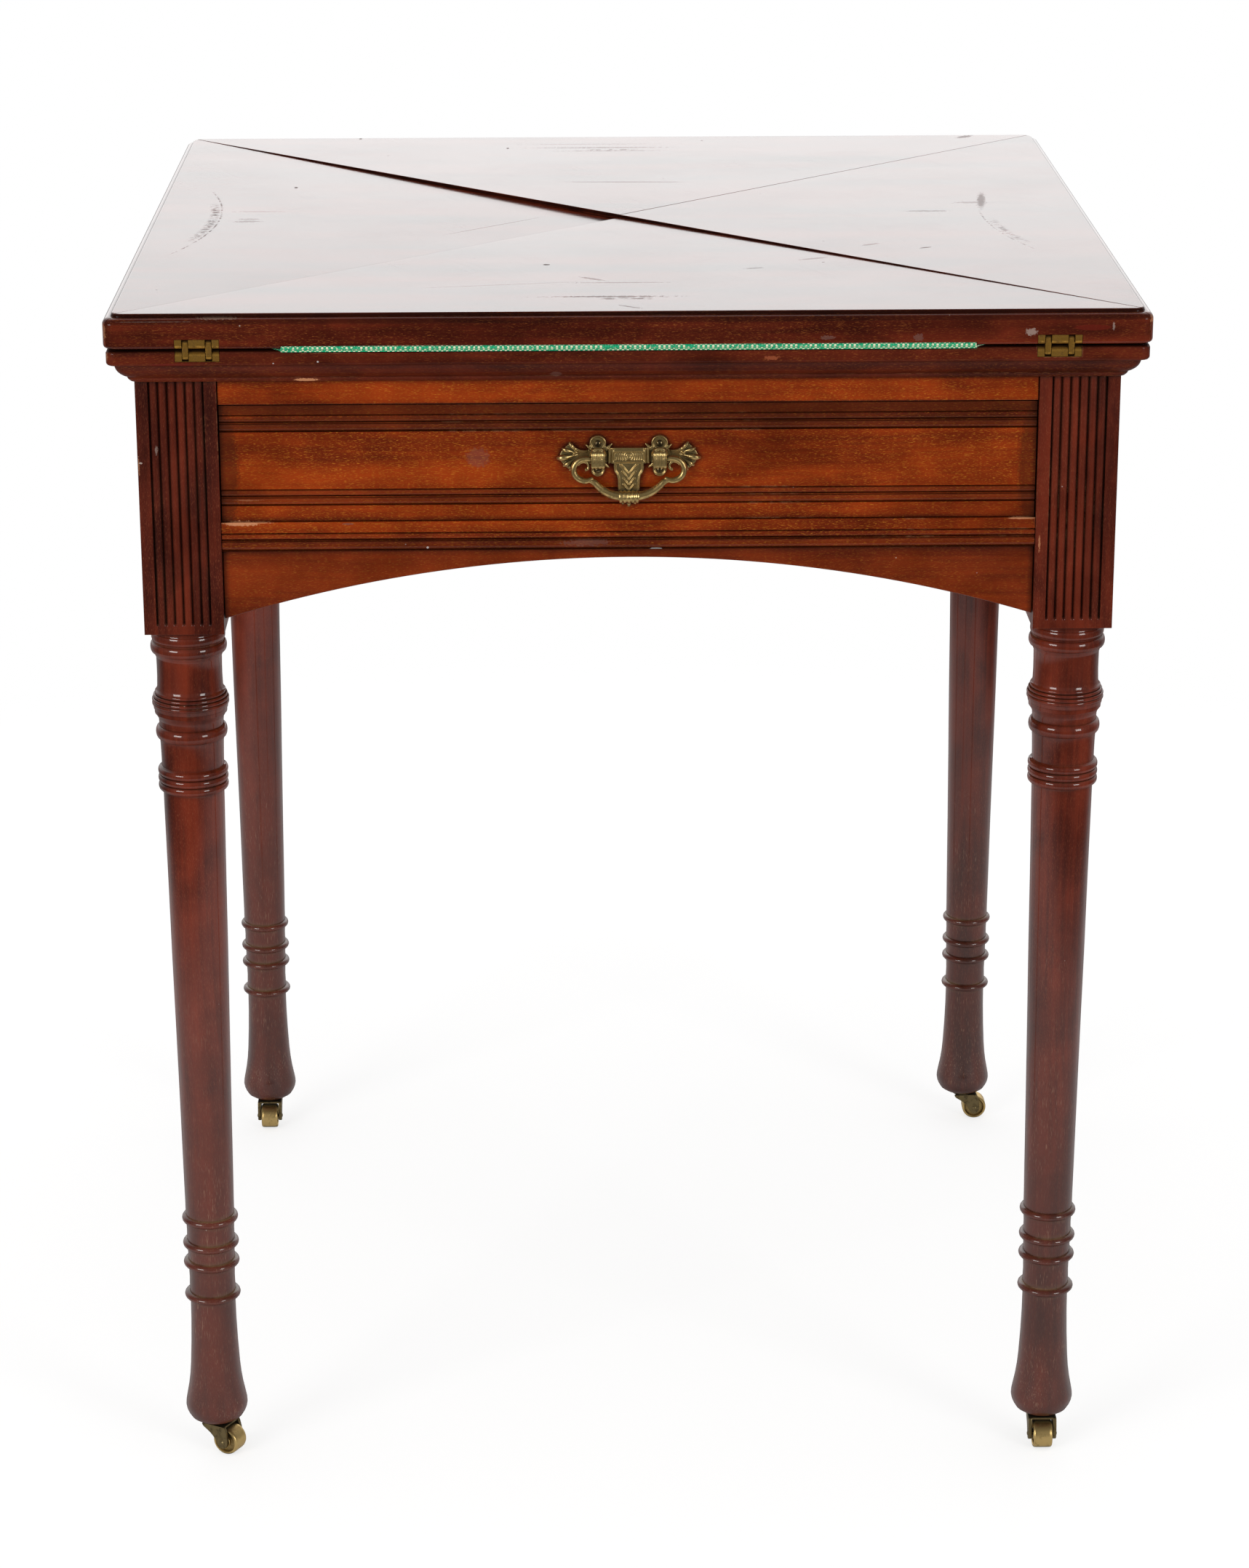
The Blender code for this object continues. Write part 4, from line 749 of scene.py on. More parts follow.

# Colours of wear, of painted shade and of the darker lower shafts, linear
SCUFF_GREY = (0.105, 0.080, 0.072)
SCRATCH_PALE = (0.50, 0.36, 0.28)
LOW_SHAFT_DARK = (0.052, 0.017, 0.011)
DRY_FLECK = (0.34, 0.19, 0.12)
WAX_AND_SHADE = (0.0055, 0.0018, 0.0012)
CORNER_SHADE = (0.035, 0.022, 0.014)
DUST = (0.200, 0.125, 0.060)
RUBBED_WOOD = (0.42, 0.19, 0.09)
PALE_FLECK = (0.52, 0.42, 0.36)
RAW_WOOD = (0.62, 0.27, 0.13)
RAW_RED = (0.30, 0.075, 0.030)
RAW_BROWN = (0.26, 0.16, 0.11)
FILLER = (0.85, 0.82, 0.80)
STAIN = (0.16, 0.085, 0.070)
PATCH_RED = (0.130, 0.012, 0.006)
SHADE_BROWN = (0.040, 0.0085, 0.0025)

# Colours of the open pores in each wood, and of each metal and its tarnish, linear
LEG_PORE = (0.30, 0.085, 0.035)
EDGE_PORE = (0.34, 0.105, 0.022)
BROWN_PORE = (0.58, 0.21, 0.020)
APRON_PORE = (0.42, 0.15, 0.018)
HINGE_BRASS = (0.70, 0.38, 0.075)
HINGE_TARNISH = (0.060, 0.028, 0.008)
SCREW_BRASS = (0.30, 0.22, 0.11)
SCREW_TARNISH = (0.03, 0.022, 0.012)
FORK_BRASS = (0.24, 0.18, 0.085)
FORK_TARNISH = (0.030, 0.023, 0.013)
PIVOT_IRON = (0.30, 0.29, 0.28)

MARK_DEPTH = 0.02
# Rubbed places on the top: across, back, half length and half width in millimetres, then turn,
# raggedness and strength
TOP_MARKS = (
    (-238.0, -13.0, 9.0, 3.0, 0.1, 3.0, 0.34),
    (-237.0, -5.0, 7.0, 2.2, 0.05, 3.0, 0.3),
    (-233.0, 21.0, 16.0, 1.4, 0.05, 2.4, 0.24),
    (-81.0, -23.0, 45.0, 0.6, 0.79, 0.8, 0.38),
    (-74.0, -217.6, 48.0, 0.6, 0.17, 0.9, 0.3),
    (-20.0, -201.0, 9.0, 1.8, -0.7, 2.4, 0.45),
    (-10.0, -254.0, 33.0, 1.8, 0.0, 3.8, 0.62),
    (-3.0, -213.0, 26.0, 1.4, 0.0, 2.8, 0.34),
    (1.0, -284.0, 8.0, 1.2, -0.65, 1.8, 0.5),
    (-213.8, 107.7, 1.2, 2.8, 0.0, 0.8, 0.9),
    (-178.8, 292.8, 1.2, 3.0, 0.0, 0.8, 0.7),
    (-74.3, 250.5, 1.0, 3.0, 0.0, 0.8, 0.7),
    (-47.3, -156.5, 2.2, 2.2, 0.0, 1.6, 0.8),
    (-10.0, 251.5, 44.0, 2.2, 0.0, 2.8, 0.32),
    (-6.0, 238.0, 36.0, 1.6, 0.0, 2.8, 0.22),
    (-20.0, 266.0, 42.0, 1.4, 0.0, 2.8, 0.2),
    (5.0, 117.0, 42.0, 0.8, -0.03, 0.8, 0.75),
    (249.0, 289.0, 8.0, 3.0, 0.8, 2.6, 0.55),
    (236.0, 42.0, 2.6, 26.0, -0.1, 2.8, 0.55),
    (229.0, 36.0, 11.0, 3.0, 0.0, 3.0, 0.3),
    (197.0, 7.0, 13.0, 2.4, 0.0, 2.8, 0.35),
    (115.0, -142.0, 9.5, 1.9, 0.4, 1.8, 0.32),
    (153.0, -103.0, 7.0, 1.8, 0.6, 1.8, 0.32),
    (186.0, -114.0, 4.2, 1.4, 0.5, 1.2, 0.65),
    (78.0, -171.0, 6.0, 2.0, 0.3, 1.8, 0.32),
)
# Chips, stains and shade in colour: centre and reach on the three axes, in millimetres, then turn,
# raggedness, strength and tint
EDGE_MARKS = (
    (231.0, -301.5, 728.5, 3.4, 3.0, 2.0, 0.0, 2.6, 0.42, PALE_FLECK),
    (114.0, -301.5, 726.0, 4.0, 3.0, 1.2, 0.0, 2.6, 0.5, STAIN),
    (166.0, -301.5, 725.7, 2.8, 3.0, 2.0, 0.0, 2.6, 0.5, STAIN),
    (278.0, -301.5, 731.5, 0.7, 3.0, 2.2, 0.0, 2.2, 0.32, PALE_FLECK),
    (-235.0, -298.5, 738.8, 11.0, 5.0, 0.8, 0.0, 3.0, 0.5, RAW_BROWN),
    # A painted highlight: a faint pale line along the front flap's upper arris at its left end
    (-270.0, -301.5, 737.2, 25.0, 3.0, 0.2, 0.0, 2.6, 0.22, PALE_FLECK),
    (-301.0, -300.0, 731.0, 1.8, 3.0, 6.0, 0.0, 2.8, 0.5, RUBBED_WOOD),
    (-300.2, -299.0, 716.5, 1.4, 4.0, 2.6, 0.0, 2.8, 0.45, RUBBED_WOOD),
    (300.8, -299.0, 736.0, 2.0, 4.0, 3.0, 0.0, 2.4, 0.5, RAW_WOOD),
    (82.0, -300.0, 714.0, 4.2, 3.0, 1.3, 0.0, 2.2, 0.8, RAW_RED),
    (-178.5, -300.0, 713.4, 0.6, 3.0, 0.5, 0.0, 0.8, 0.6, FILLER),
    (-204.0, -300.0, 712.5, 0.5, 3.0, 0.4, 0.0, 0.8, 0.45, FILLER),
    (-262.0, -300.0, 711.8, 13.0, 3.0, 1.1, 0.0, 0.3, 0.85, PATCH_RED),
    (266.0, -301.5, 731.0, 11.0, 3.0, 1.8, 0.0, 0.3, 0.7, PATCH_RED),
    (-186.0, -289.0, 700.3, 7.0, 6.0, 1.1, 0.0, 1.4, 1.0, RAW_WOOD),
    (-42.0, -292.0, 703.5, 3.6, 5.0, 2.0, 0.0, 0.8, 0.45, STAIN),
)
RAIL_MARKS = (
    (-227.0, -285.0, 613.7, 10.0, 4.0, 1.3, 0.0, 2.4, 0.85, RAW_WOOD),
    (-215.0, -285.0, 614.1, 7.0, 4.0, 0.4, 0.0, 2.8, 0.6, RAW_WOOD),
    (231.0, -285.0, 614.1, 8.0, 4.0, 0.6, 0.0, 1.8, 0.75, RAW_WOOD),
    (16.0, -285.0, 597.0, 3.6, 4.0, 0.4, 0.0, 1.4, 0.8, FILLER),
    (-164.0, -285.0, 613.2, 3.0, 4.0, 0.6, 0.0, 2.4, 0.5, STAIN),
    (-223.0, -282.5, 627.0, 9.0, 4.0, 0.4, 0.0, 3.0, 0.35, RAW_WOOD),
    (0.0, -282.5, 681.5, 400.0, 4.0, 5.0, 0.0, 0.5, 0.65, SHADE_BROWN),
    (0.0, -282.5, 672.5, 400.0, 4.0, 5.0, 0.0, 0.5, 0.55, SHADE_BROWN),
    (0.0, -282.5, 629.0, 400.0, 4.0, 5.0, 0.0, 0.5, 0.35, SHADE_BROWN),
    (0.0, -285.0, 599.5, 400.0, 4.0, 4.0, 0.0, 0.4, 0.3, SHADE_BROWN),
    (-240.0, -282.5, 645.0, 13.0, 4.0, 45.0, 0.0, 0.6, 0.55, SHADE_BROWN),
    (240.0, -282.5, 645.0, 13.0, 4.0, 45.0, 0.0, 0.6, 0.55, SHADE_BROWN),
    (-88.0, -282.5, 652.0, 11.0, 4.0, 6.0, 0.5, 1.4, 0.28, STAIN),
    (-25.0, -285.0, 601.0, 13.0, 4.0, 2.2, 0.0, 2.6, 0.35, STAIN),
    (-118.0, -285.0, 598.5, 0.7, 4.0, 0.7, 0.0, 1.2, 0.5, FILLER),
)
BLOCK_MARKS = (
    (-274.3, -285.5, 658.0, 0.8, 3.0, 3.0, 0.0, 2.6, 0.28, PALE_FLECK),
    (-283.8, -285.5, 650.6, 1.1, 3.0, 0.6, 0.0, 1.6, 0.65, PALE_FLECK),
    (-284.8, -285.5, 648.0, 0.4, 3.0, 6.0, 0.0, 2.8, 0.35, RAW_WOOD),
    (241.0, -285.5, 598.0, 0.6, 3.0, 5.0, 0.0, 2.4, 0.5, RAW_WOOD),
    (-243.0, -243.0, 29.0, 2.2, 20.0, 1.8, 0.0, 1.8, 0.6, RUBBED_WOOD),
    (237.0, -253.0, 27.0, 3.0, 10.0, 1.4, 0.0, 1.8, 0.6, RUBBED_WOOD),
)


def timber(wires, place, dark, light, pore, pore_amount, contrast):
    """Place the mahogany group with its colours."""
    return wires.group(
        "Timber", timber_group, Place=place, Dark=solid(dark), Light=solid(light), Pore=solid(pore),
        Pore_amount=pore_amount, Contrast=contrast,
    )


def age_and_shade(wires, place, edge_width, edge_start, corner_depth):
    """Place the group of age and painted shade with its widths."""
    return wires.group(
        "Age", age_and_shade_group, Place=place, Edge_width=edge_width, Edge_start=edge_start,
        Corner_depth=corner_depth,
    )


def lower_shafts(wires, colour, place, height, age, slope, dust):
    """Make the lower shafts darker and browner towards the bottom, with dry flecks along the grain and dust
    on the ledges.
    """
    # Darker and browner towards the bottom of the shafts
    darkening = wires.span(height, *LOW_SHAFT_LEVELS, LOW_SHAFT_SHARE, 0.0)
    colour = wires.tint(colour, LOW_SHAFT_DARK, darkening)
    dashes = wires.span(wires.noise(place, (170.0, 2600.0, 2600.0), detail=1.0), 0.60, 0.74)
    colour = wires.tint(colour, DRY_FLECK, dashes, darkening, wires.span(age["Blotch"], 0.42, 0.62, 0.3, 1.5))
    ledge = wires.times(wires.span(slope, -0.30, 0.30), wires.span(age["Corner"], 0.04, 0.32))
    lying = wires.span(height, *DUST_LEVELS, dust, dust * 0.1)
    return wires.tint(colour, DUST, ledge, lying, wires.span(age["Blotch"], 0.38, 0.60))


def polished_wood(
    name, dark, light, pore, pore_amount, contrast,
    gloss=0.6, marks=(), dust=0.0, haze=HAZE, wax_and_shade_depth=WAX_AND_SHADE_DEPTH,
):
    """French-polished mahogany with rubbed edges, and dark wax and painted shade in its quirks and corners.
    """
    if name in bpy.data.materials:
        return bpy.data.materials[name]
    material, wires, shader = blank(name)
    place = own_place(wires, "timber")
    wood = timber(wires, place, dark, light, pore, pore_amount, contrast)
    age = age_and_shade(wires, place, EDGE_WIDTH, 0.52, wax_and_shade_depth)
    slope = wires.apart(wires.add("NewGeometry").outputs["Normal"])["Z"]
    tone = wires.span(age["Blotch"], 0.25, 0.75, 0.78, 1.16)
    tone = wires.add("CombineColor", {"Red": tone, "Green": tone, "Blue": tone}).outputs[0]
    colour = wires.mix(1.0, wood["Color"], tone, "MULTIPLY")
    # Wax and painted shade: darker where corners and quirks see little of the room's light
    colour = wires.tint(colour, WAX_AND_SHADE, age["Corner"], 0.72)
    shine = haze
    if dust:
        height = wires.apart(own_place(wires))["Z"]
        colour = lower_shafts(wires, colour, place, height, age, slope, dust)
        shine = wires.span(height, *HAZE_LEVELS, SHAFT_HAZE, haze)
    colour = wires.tint(colour, RUBBED_WOOD, age["Edge"], 0.5)
    colour = wires.tint(colour, PALE_FLECK, flecks(wires, own_place(wires), *CHIPS), 0.5)
    colour = painted(wires, colour, marks)
    rough = wires.span(age["Blotch"], 0.3, 0.7, 0.30, 0.46)
    ripple = wires.noise(place, (40.0, 160.0, 160.0), detail=2.0)
    facing = wires.add("LayerWeight", {"Blend": 0.5}).outputs["Facing"]
    rim = wires.span(facing, 0.62, 0.95, 1.0, RIM_SHARE)
    coat = wires.times(wires.span(age["Corner"], 0.3, 1.0, 1.0, 0.2), gloss)
    coat = wires.times(coat, wires.span(slope, -0.55, -0.12, 0.25, 1.0))
    relief = wires.maths("MULTIPLY_ADD", wood["Height"], 0.5, ripple)
    dress(shader, wires, {
        "Base Color": colour,
        "Roughness": wires.maths("MULTIPLY_ADD", age["Corner"], 0.25, rough),
        "Normal": wires.bump(relief, 0.05, WOOD_RELIEF),
        "Specular IOR Level": wires.times(rim, shine),
        "Coat Weight": wires.times(rim, coat),
        "Coat Roughness": 0.07,
        "Coat IOR": 1.52,
    })
    return material


def top_scuffs(wires, place, parts, face):
    """Read the masks of the arcs, the rubbed places and the specks on the polished top."""
    flat = wires.vectors("MULTIPLY", own_place(wires, "flap_place"), (1.0, 1.0, 0.0))
    reach = wires.vectors("LENGTH", wires.vectors("SUBTRACT", flat, (0.0, -2.0 * TOP_HALF, 0.0)))
    rub = wires.apart(own_place(wires, "rub"))
    aside = wires.maths("ABSOLUTE", wires.maths("SUBTRACT", parts["X"], rub["X"]))
    aside = wires.maths("DIVIDE", aside, rub["Y"])
    scuff = 0.0
    for radius, width, half_share, strength in RUB_ARCS:
        off = wires.maths("ABSOLUTE", wires.maths("SUBTRACT", reach, radius))
        ring = wires.times(wires.fade(off, 0.0, width), wires.fade(aside, half_share * 0.6, half_share))
        scuff = wires.maths("MAXIMUM", scuff, wires.times(ring, wires.times(rub["Z"], strength)))
    chatter = wires.noise(place, (210.0, 260.0, 1.0), detail=3.0, roughness=0.7)
    scuff = wires.times(scuff, face, wires.span(chatter, 0.44, 0.60))
    marks = []
    for row in TOP_MARKS:
        across, back, half_length, half_width = in_metres([row[:4]])[0]
        marks.append(((across, back, FLAP_HIGH.z), (half_length, half_width, MARK_DEPTH), *row[4:]))
    for mask in marked(wires, marks):
        scuff = wires.maths("MAXIMUM", scuff, wires.times(mask, face))
    for specks in TOP_SPECKS:
        spots = wires.times(flecks(wires, own_place(wires), *specks), 0.7)
        scuff = wires.maths("MAXIMUM", scuff, wires.times(spots, face))
    return scuff


def top_wood(dark, light):
    """The flaps' polish: the same wood with hairline scratches and the arcs that the frame rubs in it."""
    material, wires, shader = blank("polished_top")
    place = own_place(wires, "timber")
    parts = wires.apart(own_place(wires, "flap_place"))
    face = wires.span(parts["Z"], *SKIN_LEVELS)
    wood = timber(wires, place, dark, light, EDGE_PORE, 0.55, 2.8)
    age = age_and_shade(wires, place, EDGE_WIDTH, 0.47, TOP_WAX_AND_SHADE_DEPTH)
    hairs = wires.times(wires.group("Scratches", scratch_group, Place=place)["Mask"], face)
    scuff = top_scuffs(wires, place, parts, face)
    # Painted shade: dark lines along the riser and the shoulder of the flaps' moulding
    line = wires.times(wires.band(parts["Z"], SHOULDER_LEVELS), 0.55)
    line = wires.maths("MAXIMUM", wires.band(parts["Z"], RISER_LEVELS), line)
    # Wax and painted shade: darker in the corners of the moulding
    colour = wires.tint(wood["Color"], WAX_AND_SHADE, age["Corner"], 0.7)
    colour = wires.tint(colour, RUBBED_WOOD, age["Edge"], 0.5)
    colour = wires.tint(colour, SCRATCH_PALE, hairs, 0.02)
    colour = wires.tint(colour, SCUFF_GREY, scuff, 0.55)
    colour = wires.tint(colour, PALE_FLECK, flecks(wires, own_place(wires), *TOP_CHIPS), 0.5)
    colour = painted(wires, colour, EDGE_MARKS)
    # The painted shade lines at the riser and the shoulder, laid on last
    colour = wires.tint(colour, WAX_AND_SHADE, line, 0.8)
    dull = wires.noise(place, (7.0, 9.0, 1.0), detail=3.0, roughness=0.6)
    rough = wires.maths("ADD", wires.span(dull, 0.35, 0.7, 0.20, 0.25), wires.times(scuff, 0.4))
    rough = wires.maths("ADD", rough, wires.times(hairs, 0.03))
    coat = wires.maths("SUBTRACT", 1.0, wires.times(scuff, 0.85))
    coat = wires.times(coat, wires.span(age["Corner"], 0.2, 0.9, 1.0, 0.15))
    coat = wires.times(coat, wires.span(age["Arris"], 0.0, 1.0, 1.0, 0.25))
    coat = wires.times(coat, wires.span(line, 0.0, 1.0, 1.0, 0.1))
    ripple = wires.noise(place, (26.0, 60.0, 1.0), detail=2.0)
    relief = wires.maths("SUBTRACT", ripple, wires.times(hairs, 0.02))
    relief = wires.maths("MULTIPLY_ADD", wood["Height"], 0.35, relief)
    dress(shader, wires, {
        "Base Color": colour,
        "Roughness": rough,
        "Normal": wires.bump(relief, 0.035, TOP_RELIEF),
        "Specular IOR Level": 0.08,
        "Coat Weight": coat,
        "Coat Roughness": 0.13,
        "Coat IOR": 1.3,
    })
    return material


def bare_wood(name, light, attribute="timber", turn=0.0):
    """Dry, unpolished wood of the hidden faces, with painted shade in its corners."""
    material, wires, shader = blank(name)
    place = wires.stretched(own_place(wires, attribute), (1.0, 1.0, 1.0), turn)
    dark = shaded(light, BARE_DARK_SHARE)
    wood = timber(wires, place, dark, light, shaded(dark, BARE_DARK_SHARE), 0.7, 2.4)
    age = age_and_shade(wires, place, BARE_EDGE_WIDTH, 0.5, CORNER_SHADE_DEPTH)
    # Painted shade: darker in the corners
    colour = wires.tint(wood["Color"], CORNER_SHADE, age["Corner"], 0.55)
    colour = wires.tint(colour, dark, wires.span(age["Blotch"], 0.5, 0.75, 0.0, 0.4))
    dress(shader, wires, {
        "Base Color": colour,
        "Roughness": wires.span(age["Blotch"], 0.3, 0.7, 0.62, 0.8),
        "Normal": wires.bump(wood["Height"], 0.35, WOOD_RELIEF),
    })
    return material


def playing_cloth(green, cream, pitch):
    """Green woollen cloth: a plain weave with a nap, and cream yarns that show through it."""
    material, wires, shader = blank("green_playing_cloth")
    place = own_place(wires, "timber")
    beat = math.pi / pitch
    parts = wires.apart(wires.stretched(place, (beat, beat, beat)))
    warp = wires.maths("SINE", parts["X"])
    weft = wires.maths("SINE", wires.maths("ADD", parts["Y"], parts["Z"]))
    ribs = wires.maths("ADD", wires.maths("ABSOLUTE", warp), wires.maths("ABSOLUTE", weft))
    felted = wires.noise(place, 60.0, detail=4.0, roughness=0.65)
    yarns = wires.noise(place, (0.5 / pitch, 0.5 / pitch, 0.5 / pitch), detail=2.0)
    fleck = wires.times(wires.span(yarns, 0.38, 0.48), wires.span(wires.times(warp, weft), -0.10, 0.25))
    deep = shaded(green, 0.5)
    colour = wires.mix(wires.span(ribs, 0.5, 1.7), solid(deep), solid(green))
    colour = wires.tint(colour, deep, wires.span(felted, 0.35, 0.7, 0.0, 0.35))
    colour = wires.tint(colour, cream, fleck, 0.92)
    nap = wires.times(wires.noise(place, 2600.0, detail=2.0), 0.8)
    dress(shader, wires, {
        "Base Color": colour,
        "Roughness": 0.94,
        "Sheen Weight": 0.35,
        "Sheen Roughness": 0.5,
        "Specular IOR Level": 0.15,
        "Normal": wires.bump(wires.maths("ADD", ribs, nap), 0.55, CLOTH_RELIEF),
    })
    return material


def old_brass(name, bright, dark, rough=0.30, tarnish_start=0.42):
    """Cast brass, rubbed on its high parts and tarnished in its hollows."""
    material, wires, shader = blank(name)
    place = own_place(wires)
    age = age_and_shade(wires, place, BRASS_EDGE_WIDTH, 0.15, TARNISH_DEPTH)
    bloom = wires.noise(place, 260.0, detail=4.0, roughness=0.65)
    patch = wires.span(bloom, tarnish_start, tarnish_start + 0.30, 0.0, 0.75)
    hollow = wires.maths("MAXIMUM", wires.times(age["Corner"], 0.95), patch)
    hollow = wires.times(hollow, wires.maths("SUBTRACT", 1.0, wires.times(age["Edge"], 0.8)))
    dress(shader, wires, {
        "Base Color": wires.mix(hollow, solid(bright), solid(dark)),
        "Metallic": wires.span(hollow, 0.2, 1.0, 1.0, 0.72),
        "Roughness": wires.maths("ADD", wires.times(hollow, 0.26), rough),
        "Normal": wires.bump(wires.noise(place, 1800.0, detail=2.0), 0.12, METAL_RELIEF),
    })
    return material


def worn_iron(name, colour, rough):
    """Turned iron with a dull, uneven skin."""
    material, wires, shader = blank(name)
    skin = wires.noise(own_place(wires), 420.0, detail=4.0, roughness=0.7)
    dress(shader, wires, {
        "Base Color": wires.mix(wires.span(skin, 0.35, 0.7), solid(colour), solid(shaded(colour, 0.4))),
        "Metallic": 1.0,
        "Roughness": wires.span(skin, 0.3, 0.7, rough, rough + 0.22),
        "Normal": wires.bump(skin, 0.15, METAL_RELIEF),
    })
    return material


def leg_wood(colours):
    """Finish of the legs and the blocks."""
    return polished_wood(
        "leg_mahogany_polish", colours.red_dark, colours.red_light, LEG_PORE, 0.42, 2.8,
        gloss=1.0, marks=BLOCK_MARKS, dust=0.95, wax_and_shade_depth=LEG_WAX_AND_SHADE_DEPTH,
    )


def edge_wood(colours):
    """Finish of the board under the flaps."""
    return polished_wood(
        "edge_mahogany_polish", shaded(colours.red_dark, 0.7), shaded(colours.red_light, 0.7), EDGE_PORE,
        0.50, 3.0, gloss=0.35, marks=EDGE_MARKS, haze=FAINT_HAZE,
    )


def brown_wood(colours):
    """Finish of the drawer front and the rails."""
    return polished_wood(
        "brown_mahogany_polish", colours.brown_dark, colours.brown_light, BROWN_PORE, 0.60, 3.2,
        marks=RAIL_MARKS, haze=FAINT_HAZE,
    )


def apron_wood(colours):
    """Finish of the apron and the panels, plainer and darker than the drawer's."""
    return polished_wood(
        "apron_mahogany_polish", shaded(colours.brown_dark, 0.75), shaded(colours.brown_light, 0.70),
        APRON_PORE, 0.35, 2.6,
    )


# Legs

# Turning of a leg from its foot up, in millimetres. A row of two is a height and a radius. A row of
# four is a bead: its lower and upper heights, then its root and crest radii.
LEG_TURNING = (
    (23.1, 13.5), (25.0, 16.3), (27.8, 18.0), (30.0, 18.9), (32.5, 19.35), (35.0, 19.2), (38.1, 18.65),
    (45.8, 17.15), (53.0, 16.15), (61.1, 15.45), (76.4, 14.65), (91.6, 14.15), (105.0, 14.0),
    (106.9, 111.7, 14.4, 17.4), (114.0, 14.3), (120.5, 14.1), (127.0, 14.3), (128.8, 133.6, 14.6, 17.4),
    (135.2, 14.6), (137.6, 14.5), (140.0, 14.6), (141.9, 146.7, 14.8, 17.4), (148.5, 14.8), (153.0, 14.7),
    (157.5, 14.9), (159.0, 163.8, 15.0, 17.4), (166.0, 15.1), (171.9, 15.1), (191.7, 15.35),
    (240.9, 15.85), (289.4, 16.45), (337.4, 17.1), (384.7, 17.55), (431.5, 18.15), (442.5, 18.25),
    (443.7, 18.35), (444.1, 19.3), (444.3, 449.0, 19.7, 21.0), (449.1, 453.7, 19.7, 21.0),
    (453.8, 458.4, 19.7, 21.0), (458.6, 19.3), (459.2, 18.6), (466.0, 18.7), (473.0, 18.9), (475.6, 19.1),
    (476.4, 484.5, 19.2, 21.4), (485.6, 19.2), (488.0, 19.35), (489.2, 19.5), (491.2, 20.6),
    (492.5, 21.6), (494.8, 21.7), (495.2, 22.1), (497.3, 22.4), (497.5, 499.7, 22.4, 23.0),
    (499.8, 502.0, 22.3, 23.0), (502.1, 504.2, 21.5, 22.2), (504.3, 506.3, 20.6, 21.2), (507.0, 20.0),
    (509.0, 19.6), (515.0, 19.4), (521.0, 19.4), (527.0, 19.5), (528.5, 20.1), (530.0, 20.5),
    (530.3, 537.0, 21.2, 22.75), (537.8, 543.2, 21.1, 22.0), (544.0, 20.8), (546.5, 21.0),
)
BEAD_STEPS = 8
SOCKET_RADIUS = 0.0026
SOCKET_TOP = 0.0366
TENON_LENGTH = 0.0040
BLOCK_BOTTOM = 0.5465
FOOT_SLOPE_SHARE = 3.0
REED_COUNT = 6
REED_PITCH = 0.00525
REED_GROOVE = 0.0010
REED_GROOVE_FLOOR = 0.0004
REED_STOP = 0.0069
REED_STOP_SLOPE = 0.0016
REED_STEPS = 8


def turned_profile():
    """List the leg's profile, with its caster socket below and a tenon above."""
    points = [(0.0, SOCKET_TOP), (SOCKET_RADIUS, SOCKET_TOP), (SOCKET_RADIUS, LEG_LOW.z)]
    rows = in_metres(LEG_TURNING)
    height, radius = rows[0]
    points.append((radius - (height - LEG_LOW.z) * FOOT_SLOPE_SHARE, LEG_LOW.z))
    for row in rows:
        if len(row) == 2:
            points.append((row[1], row[0]))
            continue
        low, high, root, crest = row
        for step in range(BEAD_STEPS + 1):
            angle = math.pi * step / BEAD_STEPS
            height = (low + high) / 2 - (high - low) / 2 * math.cos(angle)
            points.append((root + (crest - root) * math.sin(angle), height))
    last = points[-1][0]
    return points + [(last, BLOCK_BOTTOM + TENON_LENGTH), (0.0, BLOCK_BOTTOM + TENON_LENGTH)]


def reeded_edge(sizes):
    """List the reeds along one face of the block: distance from its edge, and depth."""
    start = (BLOCK_WIDTH - REED_COUNT * REED_PITCH) / 2
    points = [(start - REED_GROOVE / 2, 0.0)]
    for index in range(REED_COUNT + 1):
        middle = start + REED_PITCH * index
        points.append((middle - REED_GROOVE_FLOOR / 2, sizes.reed_depth))
        points.append((middle + REED_GROOVE_FLOOR / 2, sizes.reed_depth))
        if index == REED_COUNT:
            points.append((middle + REED_GROOVE / 2, 0.0))
            continue
        reed = REED_PITCH - REED_GROOVE
        for step in range(REED_STEPS + 1):
            share = step / REED_STEPS
            drop = sizes.reed_rise * (1 - math.sqrt(1 - (2 * share - 1) ** 2))
            points.append((middle + REED_GROOVE / 2 + reed * share, drop))
    return points


